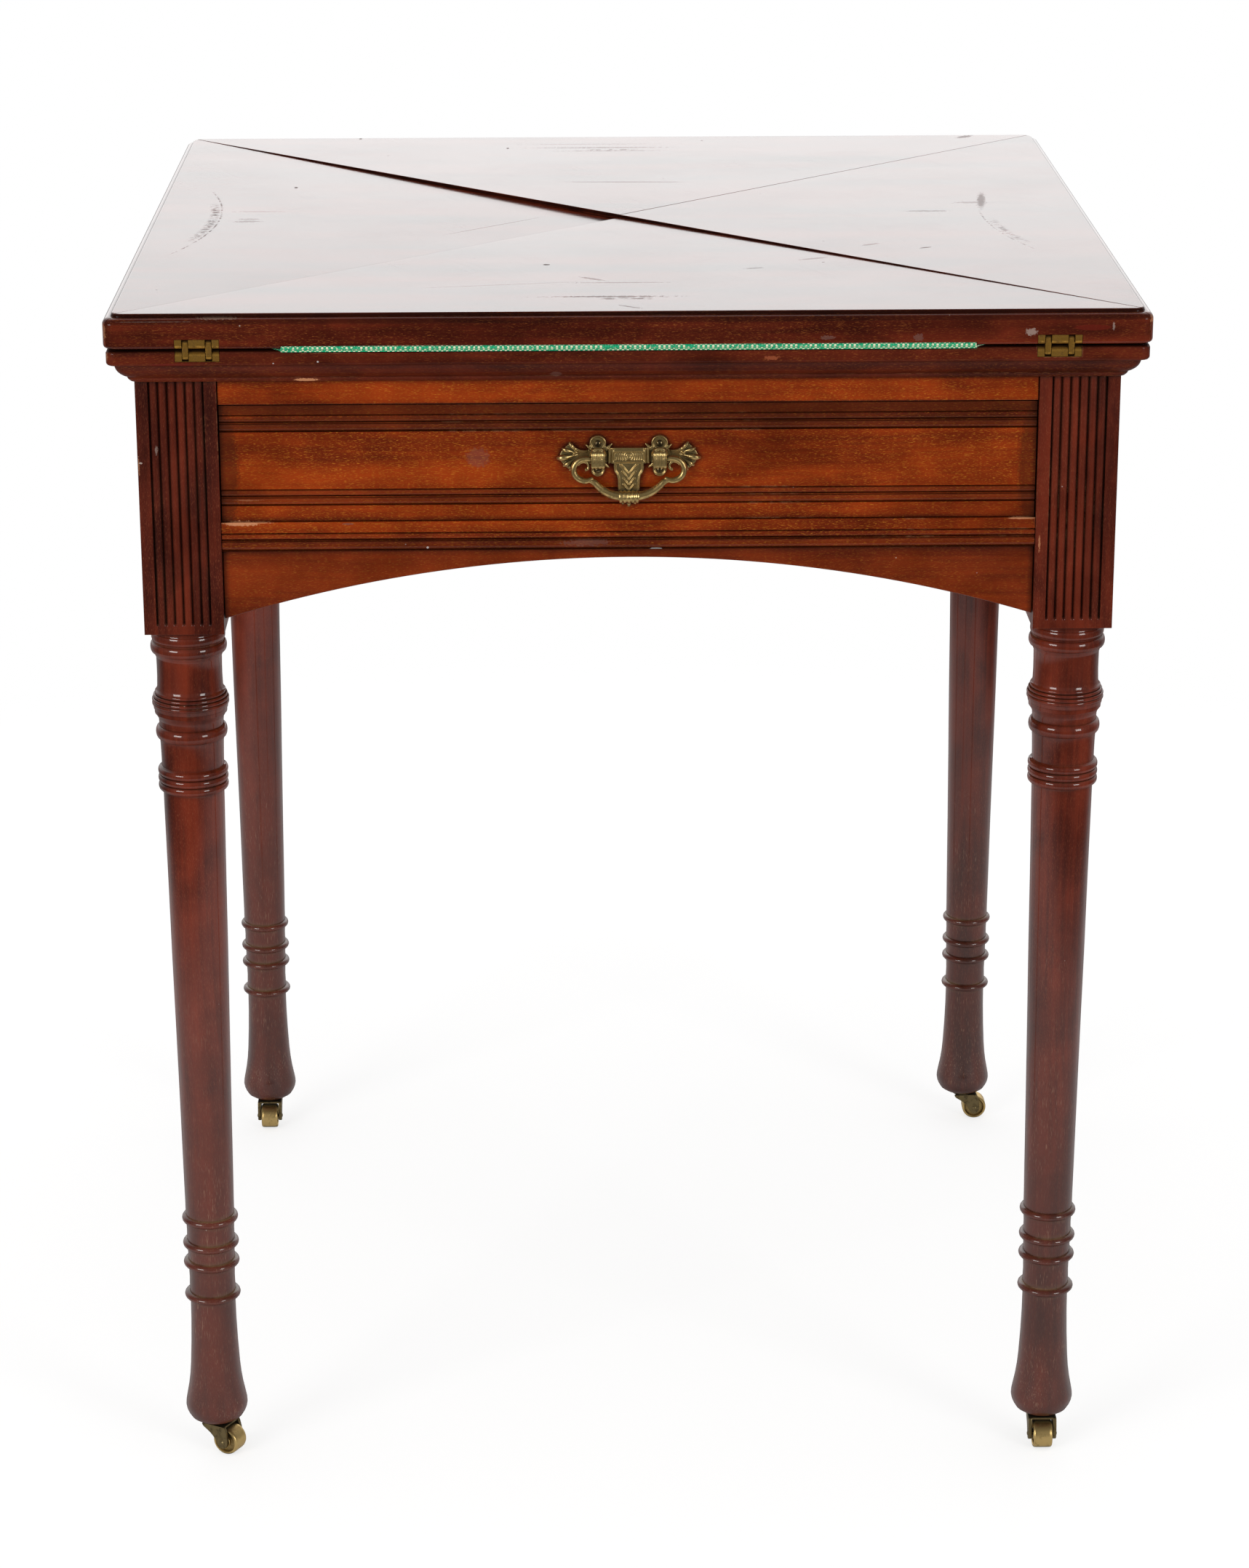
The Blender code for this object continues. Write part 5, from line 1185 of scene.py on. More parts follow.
def build_legs(sizes, colours):
    """Make the four legs: a reeded block over a turned shaft."""
    left, right = LEG_LOW.x, LEG_HIGH.x
    front, back = LEG_LOW.y, LEG_HIGH.y
    reeds = reeded_edge(sizes)
    foot = [(left, front)]
    foot += [(left + along, front + depth) for along, depth in reeds]
    foot += [(right, front), (right, back), (left, back)]
    foot += [(left + depth, front + along) for along, depth in reversed(reeds)]
    leg = outline("leg", [(x, y, BLOCK_BOTTOM) for x, y in foot])
    levels = (BLOCK_BOTTOM, BLOCK_BOTTOM + REED_STOP - REED_STOP_SLOPE, BLOCK_BOTTOM + REED_STOP, LEG_HIGH.z)
    edit(leg, "EDGE")
    for low, high in zip(levels, levels[1:]):
        bpy.ops.mesh.extrude_edges_move(TRANSFORM_OT_translate={"value": (0.0, 0.0, high - low)})
    bpy.ops.mesh.select_all(action="SELECT")
    bpy.ops.mesh.fill_holes(sides=0)
    done(leg)
    stop = (levels[1] + levels[2]) / 2
    for vertex in leg.data.vertices:
        spot = vertex.co
        if spot.z > stop:
            continue
        if spot.y < front + sizes.reed_depth + HAIR and spot.x > left + OVERCUT:
            spot.y = front
        if spot.x < left + sizes.reed_depth + HAIR and spot.y > front + OVERCUT:
            spot.x = left
    ease(leg, FINE_ROUND, angle=60.0)
    carve(leg, lathe("turning", turned_profile(), (LEG_AXIS, LEG_AXIS), sizes.turning_sides), "UNION")
    finish = leg_wood(colours)
    for quarter, corner in enumerate(CORNERS):
        twin = copied(leg, "turned_leg_" + corner, Matrix.Rotation(QUARTER * quarter, 4, "Z"))
        lay_grain(twin, (0, 0, 1), (1, 0, 0), LEG_GRAIN_STEP * (quarter + 1))
        polish(twin)
        fit(twin, "stand", "red_mahogany", finish, "leg_" + corner)
    discard(leg)


# Rails, apron and panels

BEAD_GAP = 0.0004
BEAD_ARC_STEPS = 7
# Upper and lower heights of the beads and the fillets, in millimetres
DRAWER_BEADS = ((677.7, 673.4), (673.0, 668.1), (633.2, 629.2), (628.8, 624.0))
DRAWER_FILLETS = ((668.1, 666.8), (634.5, 633.2))
LOWER_BEADS = ((607.5, 603.5), (602.9, 597.2))
FILLET_DEPTH = 0.0006
ARCH_LEVEL = APRON_LOW.z + 0.036
ARCH_STEPS = 48


def beaded_bar(name, low, high, beads, depth):
    """Make a board between two corners, with half-round beads between dark quirks on its face."""
    face, back = low.y, high.y
    points = [(back, high.z), (face, high.z)]
    for top, bottom in in_metres(beads):
        points.append((face, top + BEAD_GAP))
        for step in range(BEAD_ARC_STEPS + 1):
            angle = math.pi * step / BEAD_ARC_STEPS
            height = (top + bottom) / 2 + (top - bottom) / 2 * math.cos(angle)
            points.append((face + depth * (1.0 - math.sin(angle)), height))
        if bottom - BEAD_GAP > low.z + BEAD_GAP:
            points.append((face, bottom - BEAD_GAP))
    points += [(face, low.z), (back, low.z)]
    section = []
    for point in points:
        if not section or (Vector(point) - Vector(section[-1])).length > JOIN_DISTANCE:
            section.append(point)
    return bar(name, [(low.x, y, z) for y, z in section], (high.x - low.x, 0.0, 0.0))


def arched(name, low, high):
    """Make a board between two corners, whose lower edge is one shallow arc."""
    half = APRON_HIGH.x
    rise = ARCH_LEVEL - low.z
    radius = (half ** 2 + rise ** 2) / (2 * rise)
    spread = math.degrees(math.asin(half / radius))
    lower = arc((0.0, ARCH_LEVEL - radius), radius, 90.0 + spread, 90.0 - spread, ARCH_STEPS)
    points = lower + [(half, high.z), (-half, high.z)]
    piece = bar(name, [(x, low.y, z) for x, z in points], (0.0, high.y - low.y, 0.0))
    return ease(piece, SOFT_ROUND, angle=60.0)


def build_frame(sizes, colours):
    """Make the rails, the apron and the three panels."""
    brown = brown_wood(colours)
    plain = apron_wood(colours)
    inside = bare_wood("bare_frame_wood", colours.lining)
    top_rail = block("front_upper_rail", RAIL_LOW, RAIL_HIGH, SOFT_ROUND)
    lower_rail = beaded_bar("front_beaded_rail", LOWER_LOW, LOWER_HIGH, LOWER_BEADS, sizes.bead_quirk)
    ease(lower_rail, FINE_ROUND / 2, angle=75.0)
    apron = arched("front_arched_apron", APRON_LOW, APRON_HIGH)
    for piece, shift, finish, node in (
        (top_rail, RAIL_GRAIN, brown, "front_top_rail"),
        (lower_rail, LOWER_RAIL_GRAIN, brown, "front_lower_rail"),
        (apron, APRON_GRAIN, plain, "front_apron"),
    ):
        lay_grain(piece, (1, 0, 0), (0, 0, 1), shift)
        fit(piece, "stand", "brown_mahogany", [finish, inside], node)
        back_faces(piece, lambda face: face.normal.y > BACK_FACING and face.center.y > APRON_HIGH.y - HAIR)
        polish(piece)
    low = Vector((PANEL_LOW.x, -PANEL_HIGH.y, PANEL_LOW.z))
    high = Vector((PANEL_HIGH.x, -PANEL_LOW.y, PANEL_HIGH.z))
    panel = arched("arched_panel", low, high)
    for index, side in enumerate(SIDES[1:]):
        turn = turned_to(side)
        outward = turn @ Vector((0.0, -1.0, 0.0))
        twin = copied(panel, "arched_" + side + "_panel", turn)
        along = turn @ Vector((1.0, 0.0, 0.0))
        lay_grain(twin, along, (0, 0, 1), PANEL_GRAIN + PANEL_GRAIN_STEP * index)
        back_faces(twin, lambda face: face.normal.dot(outward) < -BACK_FACING)
        polish(twin)
        fit(twin, "stand", "brown_mahogany", [plain, inside], side + "_panel")
    discard(panel)


# Folding top

CORNER_STEPS = 8
LIP_CORNER = 0.0060
TOP_CORNER = 0.0065
SEAM_TRIM = 0.0001
SEAM_ROUND = 0.0001
CLOTH_CUT = 0.100
CLOTH_MARGIN = 0.0003
CLOTH_LOFT = 0.0005
CLOTH_ROUND = 0.0002
HINGE_PLACES = (-0.2475, 0.2475)
HINGE_LENGTH = 0.0256
POCKET_PLAY = 0.0001
PIN_INSET = 0.002925
PIN_RADIUS = 0.0009
PIN_SIDES = 20
PIN_ROUND = 0.0002
PLATE_DEPTH = 0.0064
PLATE_ROUND = 0.00018
FLAP_PLATE_HEIGHT = 0.0058
BOARD_PLATE_HEIGHT = 0.0061
KNUCKLE_STEPS = 6
LINK_WIDTH = 0.0034
LINK_PLACES = (-0.0067, 0.0067)
LINK_RADIUS = 0.0026
LINK_PLAY = 0.0003
LINK_ROUND = 0.0003
LINK_STEPS = 10
BORE_SIDES = 32

# Bore for the pivot's bolt and its head, from below: radius and height, in millimetres
BOLT_BORE = ((0.0, 690.0), (5.3, 690.0), (5.3, 714.7), (10.6, 714.7), (10.6, 723.0), (0.0, 723.0))

# Section of the board from its cloth down: half width and height, in millimetres
BOARD_STEPS = (
    (298.0, 719.8), (299.2, 719.5), (299.9, 719.0), (300.3, 718.2), (300.3, 712.8), (300.1, 711.9),
    (299.5, 711.2), (298.5, 710.9), (296.6, 710.8), (296.2, 710.3), (296.0, 709.2), (295.5, 707.6),
    (294.6, 706.0), (293.3, 704.5), (291.7, 703.2), (290.0, 702.3), (289.6, 702.2), (289.6, 701.4),
    (289.0, 700.4), (288.0, 699.35),
)

# Section of the flaps from their polished face down: half width and height, in millimetres
FLAP_STEPS = (
    (295.5, 741.0), (296.0, 740.95), (296.5, 740.6), (296.8, 739.9), (296.9, 739.1), (297.1, 738.85),
    (297.5, 738.8), (298.4, 738.75), (299.5, 738.45), (300.4, 737.85), (301.0, 737.0), (301.4, 736.1),
    (301.5, 735.2), (301.5, 723.6), (301.3, 722.5), (300.8, 721.7), (300.0, 721.2), (299.0, 721.0),
)


def rounded_square(half, height, radius):
    """List the points of a square with round corners."""
    points = []
    for quarter in range(4):
        turn = Matrix.Rotation(QUARTER * quarter, 3, "Z")
        middle = (half - radius, -half + radius)
        for x, y in arc(middle, radius, -90.0, 0.0, CORNER_STEPS):
            points.append(turn @ Vector((x, y, height)))
    return points


def lofted(name, steps, radius):
    """Draw a square with round corners through a section of half widths and heights in millimetres."""
    steps = in_metres(steps)
    half, height = steps[0]
    piece = outline(name, rounded_square(half, height, radius))
    edit(piece, "EDGE")
    for (old_half, old_height), (new_half, new_height) in zip(steps, steps[1:]):
        bpy.ops.mesh.extrude_edges_move(TRANSFORM_OT_translate={"value": (0.0, 0.0, new_height - old_height)})
        share = new_half / old_half
        bpy.ops.transform.resize(value=(share, share, 1.0), center_override=(0.0, 0.0, new_height))
    bpy.ops.mesh.select_all(action="SELECT")
    bpy.ops.mesh.fill_holes(sides=0)
    return done(piece)


def octagon(reach, margin):
    """List the corners of the board's cloth, or of its recess."""
    edge = CLOTH_HIGH.x
    short = 2 * edge - CLOTH_CUT + margin * math.sqrt(2.0) - reach
    return [
        (-short, -reach), (short, -reach), (reach, -short), (reach, short),
        (short, reach), (-short, reach), (-reach, short), (-reach, -short),
    ]


def flap_triangle(reach, margin):
    """List the corners of the front flap's cloth, or of its recess."""
    side = FLAP_CLOTH_HIGH.x + margin
    tip = CLOTH_CUT - margin * math.sqrt(2.0)
    return [(-side, -reach), (side, -reach), (side, -tip - side), (0.0, -tip), (-side, -tip - side)]


def prism(name, corners, low, high):
    """Draw flat corners up into a solid."""
    return bar(name, [(x, y, low) for x, y in corners], (0.0, 0.0, high - low))


def hinge_plate(name, middle, face, level, up, height):
    """Make one plate of a hinge: its knuckle round the pin, with two slots for the links."""
    half = HINGE_LENGTH / 2
    pin_z = level + PIN_INSET * up
    knuckle = PIN_INSET - POCKET_PLAY
    front = arc((face + knuckle, pin_z), knuckle, 180.0, 270.0 if up > 0 else 90.0, KNUCKLE_STEPS)
    back = face + PLATE_DEPTH
    points = [(face, level + height * up), *front, (back, level + HAIR * up), (back, level + height * up)]
    plate = bar(name, [(middle - half, y, z) for y, z in points], (HINGE_LENGTH, 0.0, 0.0))
    ease(plate, PLATE_ROUND, 1, 60.0)
    slot_half = LINK_WIDTH / 2 + LINK_PLAY
    reach = LINK_RADIUS + LINK_PLAY
    low, high = sorted((level - OVERCUT * up, pin_z + reach * up))
    for place in LINK_PLACES:
        corner = (middle + place - slot_half, face - OVERCUT, low)
        far_corner = (middle + place + slot_half, reach - LINK_PIN, high)
        carve(plate, block("slot", corner, far_corner))
    return plate


def hinge_links(name, middle):
    """Make one hinge's two links and the two pins that they turn on."""
    pieces = []
    board_pin = CLOTH_HIGH.z - PIN_INSET
    flap_pin = FLAP_LOW.z + PIN_INSET
    rounds = arc((-LINK_PIN, flap_pin), LINK_RADIUS, 0.0, 180.0, LINK_STEPS)
    rounds += arc((-LINK_PIN, board_pin), LINK_RADIUS, 180.0, 360.0, LINK_STEPS)
    for place in LINK_PLACES:
        start = middle + place - LINK_WIDTH / 2
        link = bar("link", [(start, y, z) for y, z in rounds], (LINK_WIDTH, 0.0, 0.0))
        pieces.append(ease(link, LINK_ROUND, 2, 60.0))
    for level in (board_pin, flap_pin):
        place = (middle, -LINK_PIN, level)
        pin = added(
            "pin", bpy.ops.mesh.primitive_cylinder_add, vertices=PIN_SIDES, radius=PIN_RADIUS,
            depth=HINGE_LENGTH - 2 * LINK_PLAY, location=place, rotation=(0.0, QUARTER, 0.0),
        )
        bpy.ops.object.transform_apply(location=True, rotation=True, scale=True)
        pieces.append(ease(pin, PIN_ROUND, 1))
    return joined(name, pieces)


def hinge_pocket(high, low, face):
    """Make the tool that lets one hinge plate into the front edge, left of the middle."""
    half = HINGE_LENGTH / 2 + POCKET_PLAY
    low, high = sorted((low, high))
    return block(
        "pocket",
        (HINGE_PLACES[0] - half, face - OVERCUT, low),
        (HINGE_PLACES[0] + half, face + PLATE_DEPTH + POCKET_PLAY, high),
    )


def cut_pockets(piece, pocket, sides):
    """Cut a pocket and its mirror image out of a piece's sides."""
    for side in sides:
        for mirror in (1.0, -1.0):
            matrix = turned_to(side) @ Matrix.Diagonal((mirror, 1.0, 1.0, 1.0))
            carve(piece, copied(pocket, "pocket_tool", matrix))
    discard(pocket)


def build_board(sizes, colours):
    """Make the board under the flaps: a round lip over a hollow, recessed for its cloth."""
    piece = lofted("moulded_board", BOARD_STEPS, LIP_CORNER)
    corners = octagon(BOARD_HALF + OVERCUT, CLOTH_MARGIN)
    carve(piece, prism("recess", corners, CLOTH_LOW.z - CLOTH_MARGIN, CLOTH_HIGH.z + OVERCUT))
    carve(piece, lathe("bore", in_metres(BOLT_BORE), (0.0, 0.0), BORE_SIDES))
    depth = BOARD_PLATE_HEIGHT + POCKET_PLAY
    cut_pockets(piece, hinge_pocket(CLOTH_HIGH.z + OVERCUT, CLOTH_HIGH.z - depth, -BOARD_HALF), SIDES)
    lay_grain(piece, (1, 0, 0), (0, 1, 0), BOARD_GRAIN)
    back_faces(piece, lambda face: face.normal.z < -UNDER_FACING and face.center.z < BOARD_LOW.z + HAIR)
    polish(piece)
    finishes = [edge_wood(colours), bare_wood("bare_board_wood", colours.lining)]
    fit(piece, "top", "red_mahogany", finishes, "base_board")


def build_flaps(sizes, colours):
    """Make the four flaps: the moulded square, cut along its diagonals."""
    whole = lofted("flap", FLAP_STEPS, TOP_CORNER)
    edit(whole)
    for turn in (-1.0, 1.0):
        bpy.ops.mesh.select_all(action="SELECT")
        bpy.ops.mesh.bisect(
            plane_co=(0.0, -SEAM_TRIM * math.sqrt(2.0), 0.0), plane_no=(turn, 1.0, 0.0),
            use_fill=True, clear_outer=True,
        )
    done(whole)
    ease(whole, SEAM_ROUND, 1, 50.0)
    corners = flap_triangle(TOP_HALF + OVERCUT, CLOTH_MARGIN)
    ceiling = FLAP_CLOTH_HIGH.z + CLOTH_LOFT + CLOTH_MARGIN
    carve(whole, prism("recess", corners, FLAP_LOW.z - OVERCUT, ceiling))
    height = FLAP_PLATE_HEIGHT + POCKET_PLAY
    cut_pockets(whole, hinge_pocket(FLAP_LOW.z - OVERCUT, FLAP_LOW.z + height, -TOP_HALF), SIDES[:1])
    top = top_wood(colours.red_dark, colours.red_light)
    under = bare_wood("flap_border_wood", colours.red_light)
    falls = (sizes.flap_dip_front, sizes.flap_dip_right, 0.0, sizes.flap_dip_left)
    for index, (side, fall) in enumerate(zip(SIDES, falls)):
        twin = copied(whole, "moulded_flap_" + side)
        vertices = twin.data.vertices
        shift, rub = RUBS[side]
        offset = Vector((0.0, shift, 0.0))
        store(twin, "flap_place", [number for vertex in vertices for number in vertex.co - offset])
        store(twin, "rub", list(rub) * len(vertices))
        for vertex in vertices:
            vertex.co.z -= fall * max(0.0, 1.0 + vertex.co.y / TOP_HALF)
        twin.data.transform(turned_to(side))
        lay_grain(twin, (1, 0, 0), (0, 1, 0), FLAP_GRAIN + FLAP_GRAIN_STEP * index)
        polish(twin)
        fit(twin, "flap_" + side + "_body", "red_mahogany", [top, under], "flap_" + side)
    discard(whole)


def build_hinges(sizes, colours):
    """Make the sixteen hinge plates, and the links and pins between them."""
    finish = old_brass("hinge_brass", HINGE_BRASS, HINGE_TARNISH, 0.38, 0.38)
    pair = {}
    for end, middle in zip(("left", "right"), HINGE_PLACES):
        pair[end] = (
            hinge_plate("flap_plate", middle, -TOP_HALF, FLAP_LOW.z, 1, FLAP_PLATE_HEIGHT),
            hinge_plate("board_plate", middle, -BOARD_HALF, CLOTH_HIGH.z, -1, BOARD_PLATE_HEIGHT),
            hinge_links("links", middle),
        )
    board_plates = []
    for side in SIDES:
        matrix = turned_to(side)
        plates = joined("flap_hinge_plates_" + side, [copied(pair[end][0], "plate", matrix) for end in pair])
        fit(polish(plates), "flap_" + side + "_body", "aged_brass", finish)
        board_plates += [copied(pair[end][1], "plate", matrix) for end in pair]
        for end in pair:
            links = copied(pair[end][2], "links_" + side + "_" + end, matrix)
            fit(polish(links), "links_" + side, "aged_brass", finish, "hinge_link_" + side + "_" + end)
    fit(polish(joined("board_hinge_plates", board_plates)), "top", "aged_brass", finish)
    for pieces in pair.values():
        discard(*pieces)


def build_cloth(sizes, colours):
    """Lay the green cloth on the board and on the inner face of each flap."""
    finish = playing_cloth(colours.cloth, colours.cloth_fleck, sizes.weave_pitch)
    corners = octagon(CLOTH_HIGH.x, 0.0)
    base = prism("board_cloth", corners, CLOTH_LOW.z, CLOTH_HIGH.z + CLOTH_LOFT)
    ease(base, CLOTH_ROUND, 2)
    lay_grain(base, (1, 0, 0), (0, 1, 0), 0.0)
    fit(polish(base), "top", "green_cloth", finish, "base_baize")
    corners = flap_triangle(-FLAP_CLOTH_LOW.y, 0.0)
    floor = FLAP_CLOTH_LOW.z - CLOTH_LOFT
    triangle = prism("flap_cloth", corners, floor, FLAP_CLOTH_HIGH.z + CLOTH_LOFT)
    ease(triangle, CLOTH_ROUND, 2)
    for side in SIDES:
        twin = copied(triangle, "flap_cloth_" + side, turned_to(side))
        lay_grain(twin, (1, 0, 0), (0, 1, 0), 0.0)
        fit(polish(twin), "flap_" + side + "_body", "green_cloth", finish, "flap_baize_" + side)
    discard(triangle)


# Drawer


def build_drawer_front(sizes, colours):
    """Make the drawer's front: beads between quirks above and below a plain field."""
    piece = beaded_bar("beaded_drawer_front", DRAWER_LOW, DRAWER_HIGH, DRAWER_BEADS, sizes.bead_quirk)
    for high, low in in_metres(DRAWER_FILLETS):
        corner = (DRAWER_LOW.x - OVERCUT, DRAWER_LOW.y - OVERCUT, low)
        far_corner = (DRAWER_HIGH.x + OVERCUT, DRAWER_LOW.y + FILLET_DEPTH, high)
        carve(piece, block("fillet", corner, far_corner))
    ease(piece, FINE_ROUND / 2, angle=75.0)
    lay_grain(piece, (1, 0, 0), (0, 0, 1), DRAWER_GRAIN)
    back_faces(piece, lambda face: face.normal.y > BACK_FACING)
    inside = bare_wood("drawer_lining_wood", colours.lining)
    fit(polish(piece), "drawer", "brown_mahogany", [brown_wood(colours), inside], "drawer_front")


# Handle, all of it in millimetres

PLATE_BACK = -282.8
PLATE_THICKNESS = 1.8
PLATE_FACE = PLATE_BACK - PLATE_THICKNESS
HAND_PLACE = 18.0
BAIL_LEVEL = JOINTS["bail_swing"]["pos_m"][2] / MILLIMETRE
BAIL_DEPTH = JOINTS["bail_swing"]["pos_m"][1] / MILLIMETRE
BORE_RADIUS = 1.95
BORE_REACH = 6.0
BAIL_BORE_SIDES = 24

# The left half: across, depth, height and radius of each rod's points
PETALS = (
    ((-28.6, -284.0, 655.2, 0.5), (-31.2, -284.4, 656.9, 0.8), (-33.3, -284.9, 659.2, 1.2),
     (-34.7, -284.2, 661.3, 0.5)),
    ((-29.6, -284.0, 654.6, 0.4), (-33.0, -284.5, 655.6, 0.8), (-36.6, -285.0, 656.6, 1.3),
     (-39.0, -284.2, 657.6, 0.5)),
    ((-30.0, -284.0, 653.6, 0.5), (-34.0, -284.7, 652.9, 1.1), (-38.6, -285.2, 652.1, 1.9),
     (-42.0, -284.2, 651.6, 0.7)),
    ((-29.8, -284.0, 652.3, 0.4), (-32.6, -284.5, 650.4, 0.9), (-35.8, -284.9, 648.4, 1.4),
     (-38.3, -284.2, 646.9, 0.6)),
    ((-29.4, -284.0, 651.4, 0.4), (-31.4, -284.3, 648.6, 0.8), (-33.2, -284.7, 646.2, 1.15),
     (-34.7, -284.2, 644.1, 0.5)),
    ((-33.6, -284.0, 660.0, 0.4), (-31.0, -284.3, 657.6, 0.6), (-28.4, -284.4, 656.2, 0.65),
     (-25.2, -284.4, 655.7, 0.75), (-24.2, -284.2, 656.3, 0.4)),
    ((-31.2, -284.6, 654.9, 0.5), (-31.8, -284.9, 654.7, 0.95), (-32.4, -284.6, 654.5, 0.5)),
)
EARS = (
    ((-13.4, -284.0, 656.8, 1.4), (-11.4, -284.3, 658.6, 0.9), (-9.5, -284.2, 660.4, 0.3)),
    ((-22.0, -284.0, 657.2, 1.3), (-23.6, -284.2, 658.5, 0.8), (-25.0, -284.1, 659.7, 0.3)),
    ((-14.6, -284.0, 648.6, 1.3), (-13.0, -284.2, 647.2, 0.9), (-11.3, -284.2, 645.9, 0.3)),
)
NECK = (
    (-12.0, 650.0), (-12.0, 657.0), (-16.0, 659.5), (-20.0, 659.5), (-24.0, 656.0), (-27.6, 655.6),
    (-31.0, 657.2), (-34.4, 660.4), (-38.4, 657.0), (-41.0, 652.0), (-37.6, 647.2), (-34.4, 644.8),
    (-31.0, 648.0), (-27.0, 649.4), (-22.0, 648.0), (-19.0, 643.0), (-14.0, 648.0),
)
STEM = (
    (-8.2, 649.4), (-8.1, 644.4), (-6.7, 641.8), (-6.0, 638.5), (-5.8, 634.0), (-4.9, 627.0),
    (-1.6, 625.2),
)
STEM_VEINS = (
    ((-4.9, -284.9, 647.7, 0.4), (-2.6, -285.0, 645.2, 0.45), (-0.4, -284.9, 642.4, 0.3)),
    ((-3.9, -284.9, 643.6, 0.4), (-2.1, -285.0, 641.2, 0.45), (-0.4, -284.9, 638.6, 0.3)),
    ((-3.3, -284.9, 639.6, 0.4), (-1.8, -285.0, 637.5, 0.45), (-0.3, -284.9, 635.2, 0.3)),
    ((-3.2, -284.9, 636.0, 0.35), (-1.9, -285.0, 634.2, 0.4), (-0.4, -284.9, 632.2, 0.3)),
)
STEM_LEAVES = (
    ((-3.3, -285.0, 627.4, 0.9), (-3.5, -285.4, 625.6, 1.25), (-3.7, -285.0, 623.9, 0.5)),
    ((0.0, -285.0, 627.2, 1.1), (0.0, -285.6, 625.0, 1.6), (0.0, -285.0, 622.6, 0.6)),
)
FINGERS = (-3.1, -1.05, 1.05, 3.1)
FINGER = (
    (-284.6, 656.6, 0.9), (-287.6, 656.8, 1.0), (-289.7, 655.4, 1.05), (-290.2, 652.5, 1.0),
    (-290.1, 649.8, 1.0), (-289.6, 647.6, 1.15), (-288.2, 646.7, 0.8),
)
CUFF = (
    (-4.2, -287.4, 651.2, 0.55), (-4.2, -288.2, 654.2, 0.75), (-3.2, -288.6, 656.6, 0.8),
    (-1.2, -288.8, 657.9, 0.85), (1.2, -288.8, 657.9, 0.85), (3.2, -288.6, 656.6, 0.8),
    (4.2, -288.2, 654.2, 0.75), (4.2, -287.4, 651.6, 0.5),
)
UPPER_LOBE = ((0.0, 0.0), (4.9, 0.0), (4.9, 1.5), (4.6, 2.1), (4.1, 2.1), (3.6, 1.5), (0.0, 1.4))
LOWER_LOBE = ((0.0, 0.0), (4.1, 0.0), (4.1, 1.4), (3.8, 1.9), (3.3, 1.9), (2.9, 1.4), (0.0, 1.4))
UPPER_LOBE_LEVEL = 660.3
LOWER_LOBE_LEVEL = 644.6
SCREW_DOME = ((0.0, 1.0), (2.15, 1.0), (2.1, 1.5), (1.75, 2.1), (1.1, 2.55), (0.0, 2.7))
SCREW_TURNS = (25.0, -40.0, 65.0, 10.0)
HAND_HALF = 3.9
HAND_FACE = -288.7
HAND_LOW = 647.6
HAND_HIGH = 656.6
HAND_ROUND = 1.2
NECK_SINK = 0.4
SMALL_ROUND = 0.3
BAR_FACE = PLATE_FACE - 0.5
BAR_HALF = 12.2
BAR_LOW = 648.8
BAR_HIGH = 657.8
PANEL_HALF = 8.5
PANEL_BOTTOM = 650.2
PANEL_TOP = 655.1
PANEL_DEPTH = 0.6
FRAME_LINE_LEVELS = (649.5, 655.8)
FRAME_LINE_HALF = 8.9
FRAME_LINE_RADIUS = 0.42
END_BANDS = (-11.5, -9.6, 9.6, 11.5)
END_BAND_LOW = BAR_LOW - 0.2
END_BAND_HIGH = BAR_HIGH + 0.1
END_BAND_RADIUS = 0.7
RING_CENTRE = (0.0, 652.6)
RING_PITCH = 1.3
RING_COUNT = 6
RING_HALF_HEIGHT = 2.1
RING_INSET = 0.45
RING_WIRE = 0.36
RING_STEPS = 10
RIM_INSET = 0.1
RIM_RADIUS = 0.6
SCROLL = (
    (-13.9, 0.0, 651.65, 1.5), (-18.0, 0.0, 651.65, 1.5), (-21.6, 0.0, 651.8, 1.5),
    (-25.6, 0.0, 652.2, 1.7), (-28.9, 0.0, 651.2, 1.8), (-31.3, 0.0, 648.8, 1.85),
    (-32.2, 0.0, 645.6, 1.85), (-31.3, 0.0, 642.3, 1.85), (-28.9, 0.0, 639.9, 1.85),
    (-25.6, 0.0, 638.9, 1.8), (-23.2, 0.0, 639.4, 1.55), (-21.0, 0.0, 640.7, 0.9),
)
BOW = (
    (-23.4, 0.0, 639.0, 1.2), (-20.6, 0.0, 638.2, 1.9), (-17.8, -0.1, 635.6, 2.15),
    (-14.6, -0.2, 633.0, 2.35), (-10.5, -0.3, 631.0, 2.6), (-5.9, -0.4, 629.8, 2.8),
    (0.0, -0.4, 629.4, 2.85),
)
VOLUTE = (
    (-29.6, 0.0, 648.2, 0.6), (-28.2, 0.0, 649.8, 0.8), (-26.0, 0.0, 650.4, 0.85),
    (-24.1, 0.0, 649.4, 0.85), (-23.5, 0.0, 647.5, 0.85), (-24.2, 0.0, 646.0, 0.9),
    (-25.6, 0.0, 645.7, 1.05),
)
CLASP_RINGS = (-4.8, -2.4, 0.0, 2.4, 4.8)
CLASP_RADIUS = 2.75
CLASP_WIRE = 1.1
CLASP_SIDES = 32
CLASP_WIRE_SIDES = 12
CLASP_DEPTH = BAIL_DEPTH - 0.3
CLASP_LEVEL = 629.3
CLASP_FLATNESS_SHARE = 0.85
SCREW_SIDES = 28
SCREW_SLOT_HALF = 0.3
SCREW_SLOT_FLOOR = -2.1
SCREW_SLOT_FRONT = -4.0
SCREW_SLOT_REACH = 3.0
CAST_SMOOTHING = 2
CAST_ANGLE = 60.0


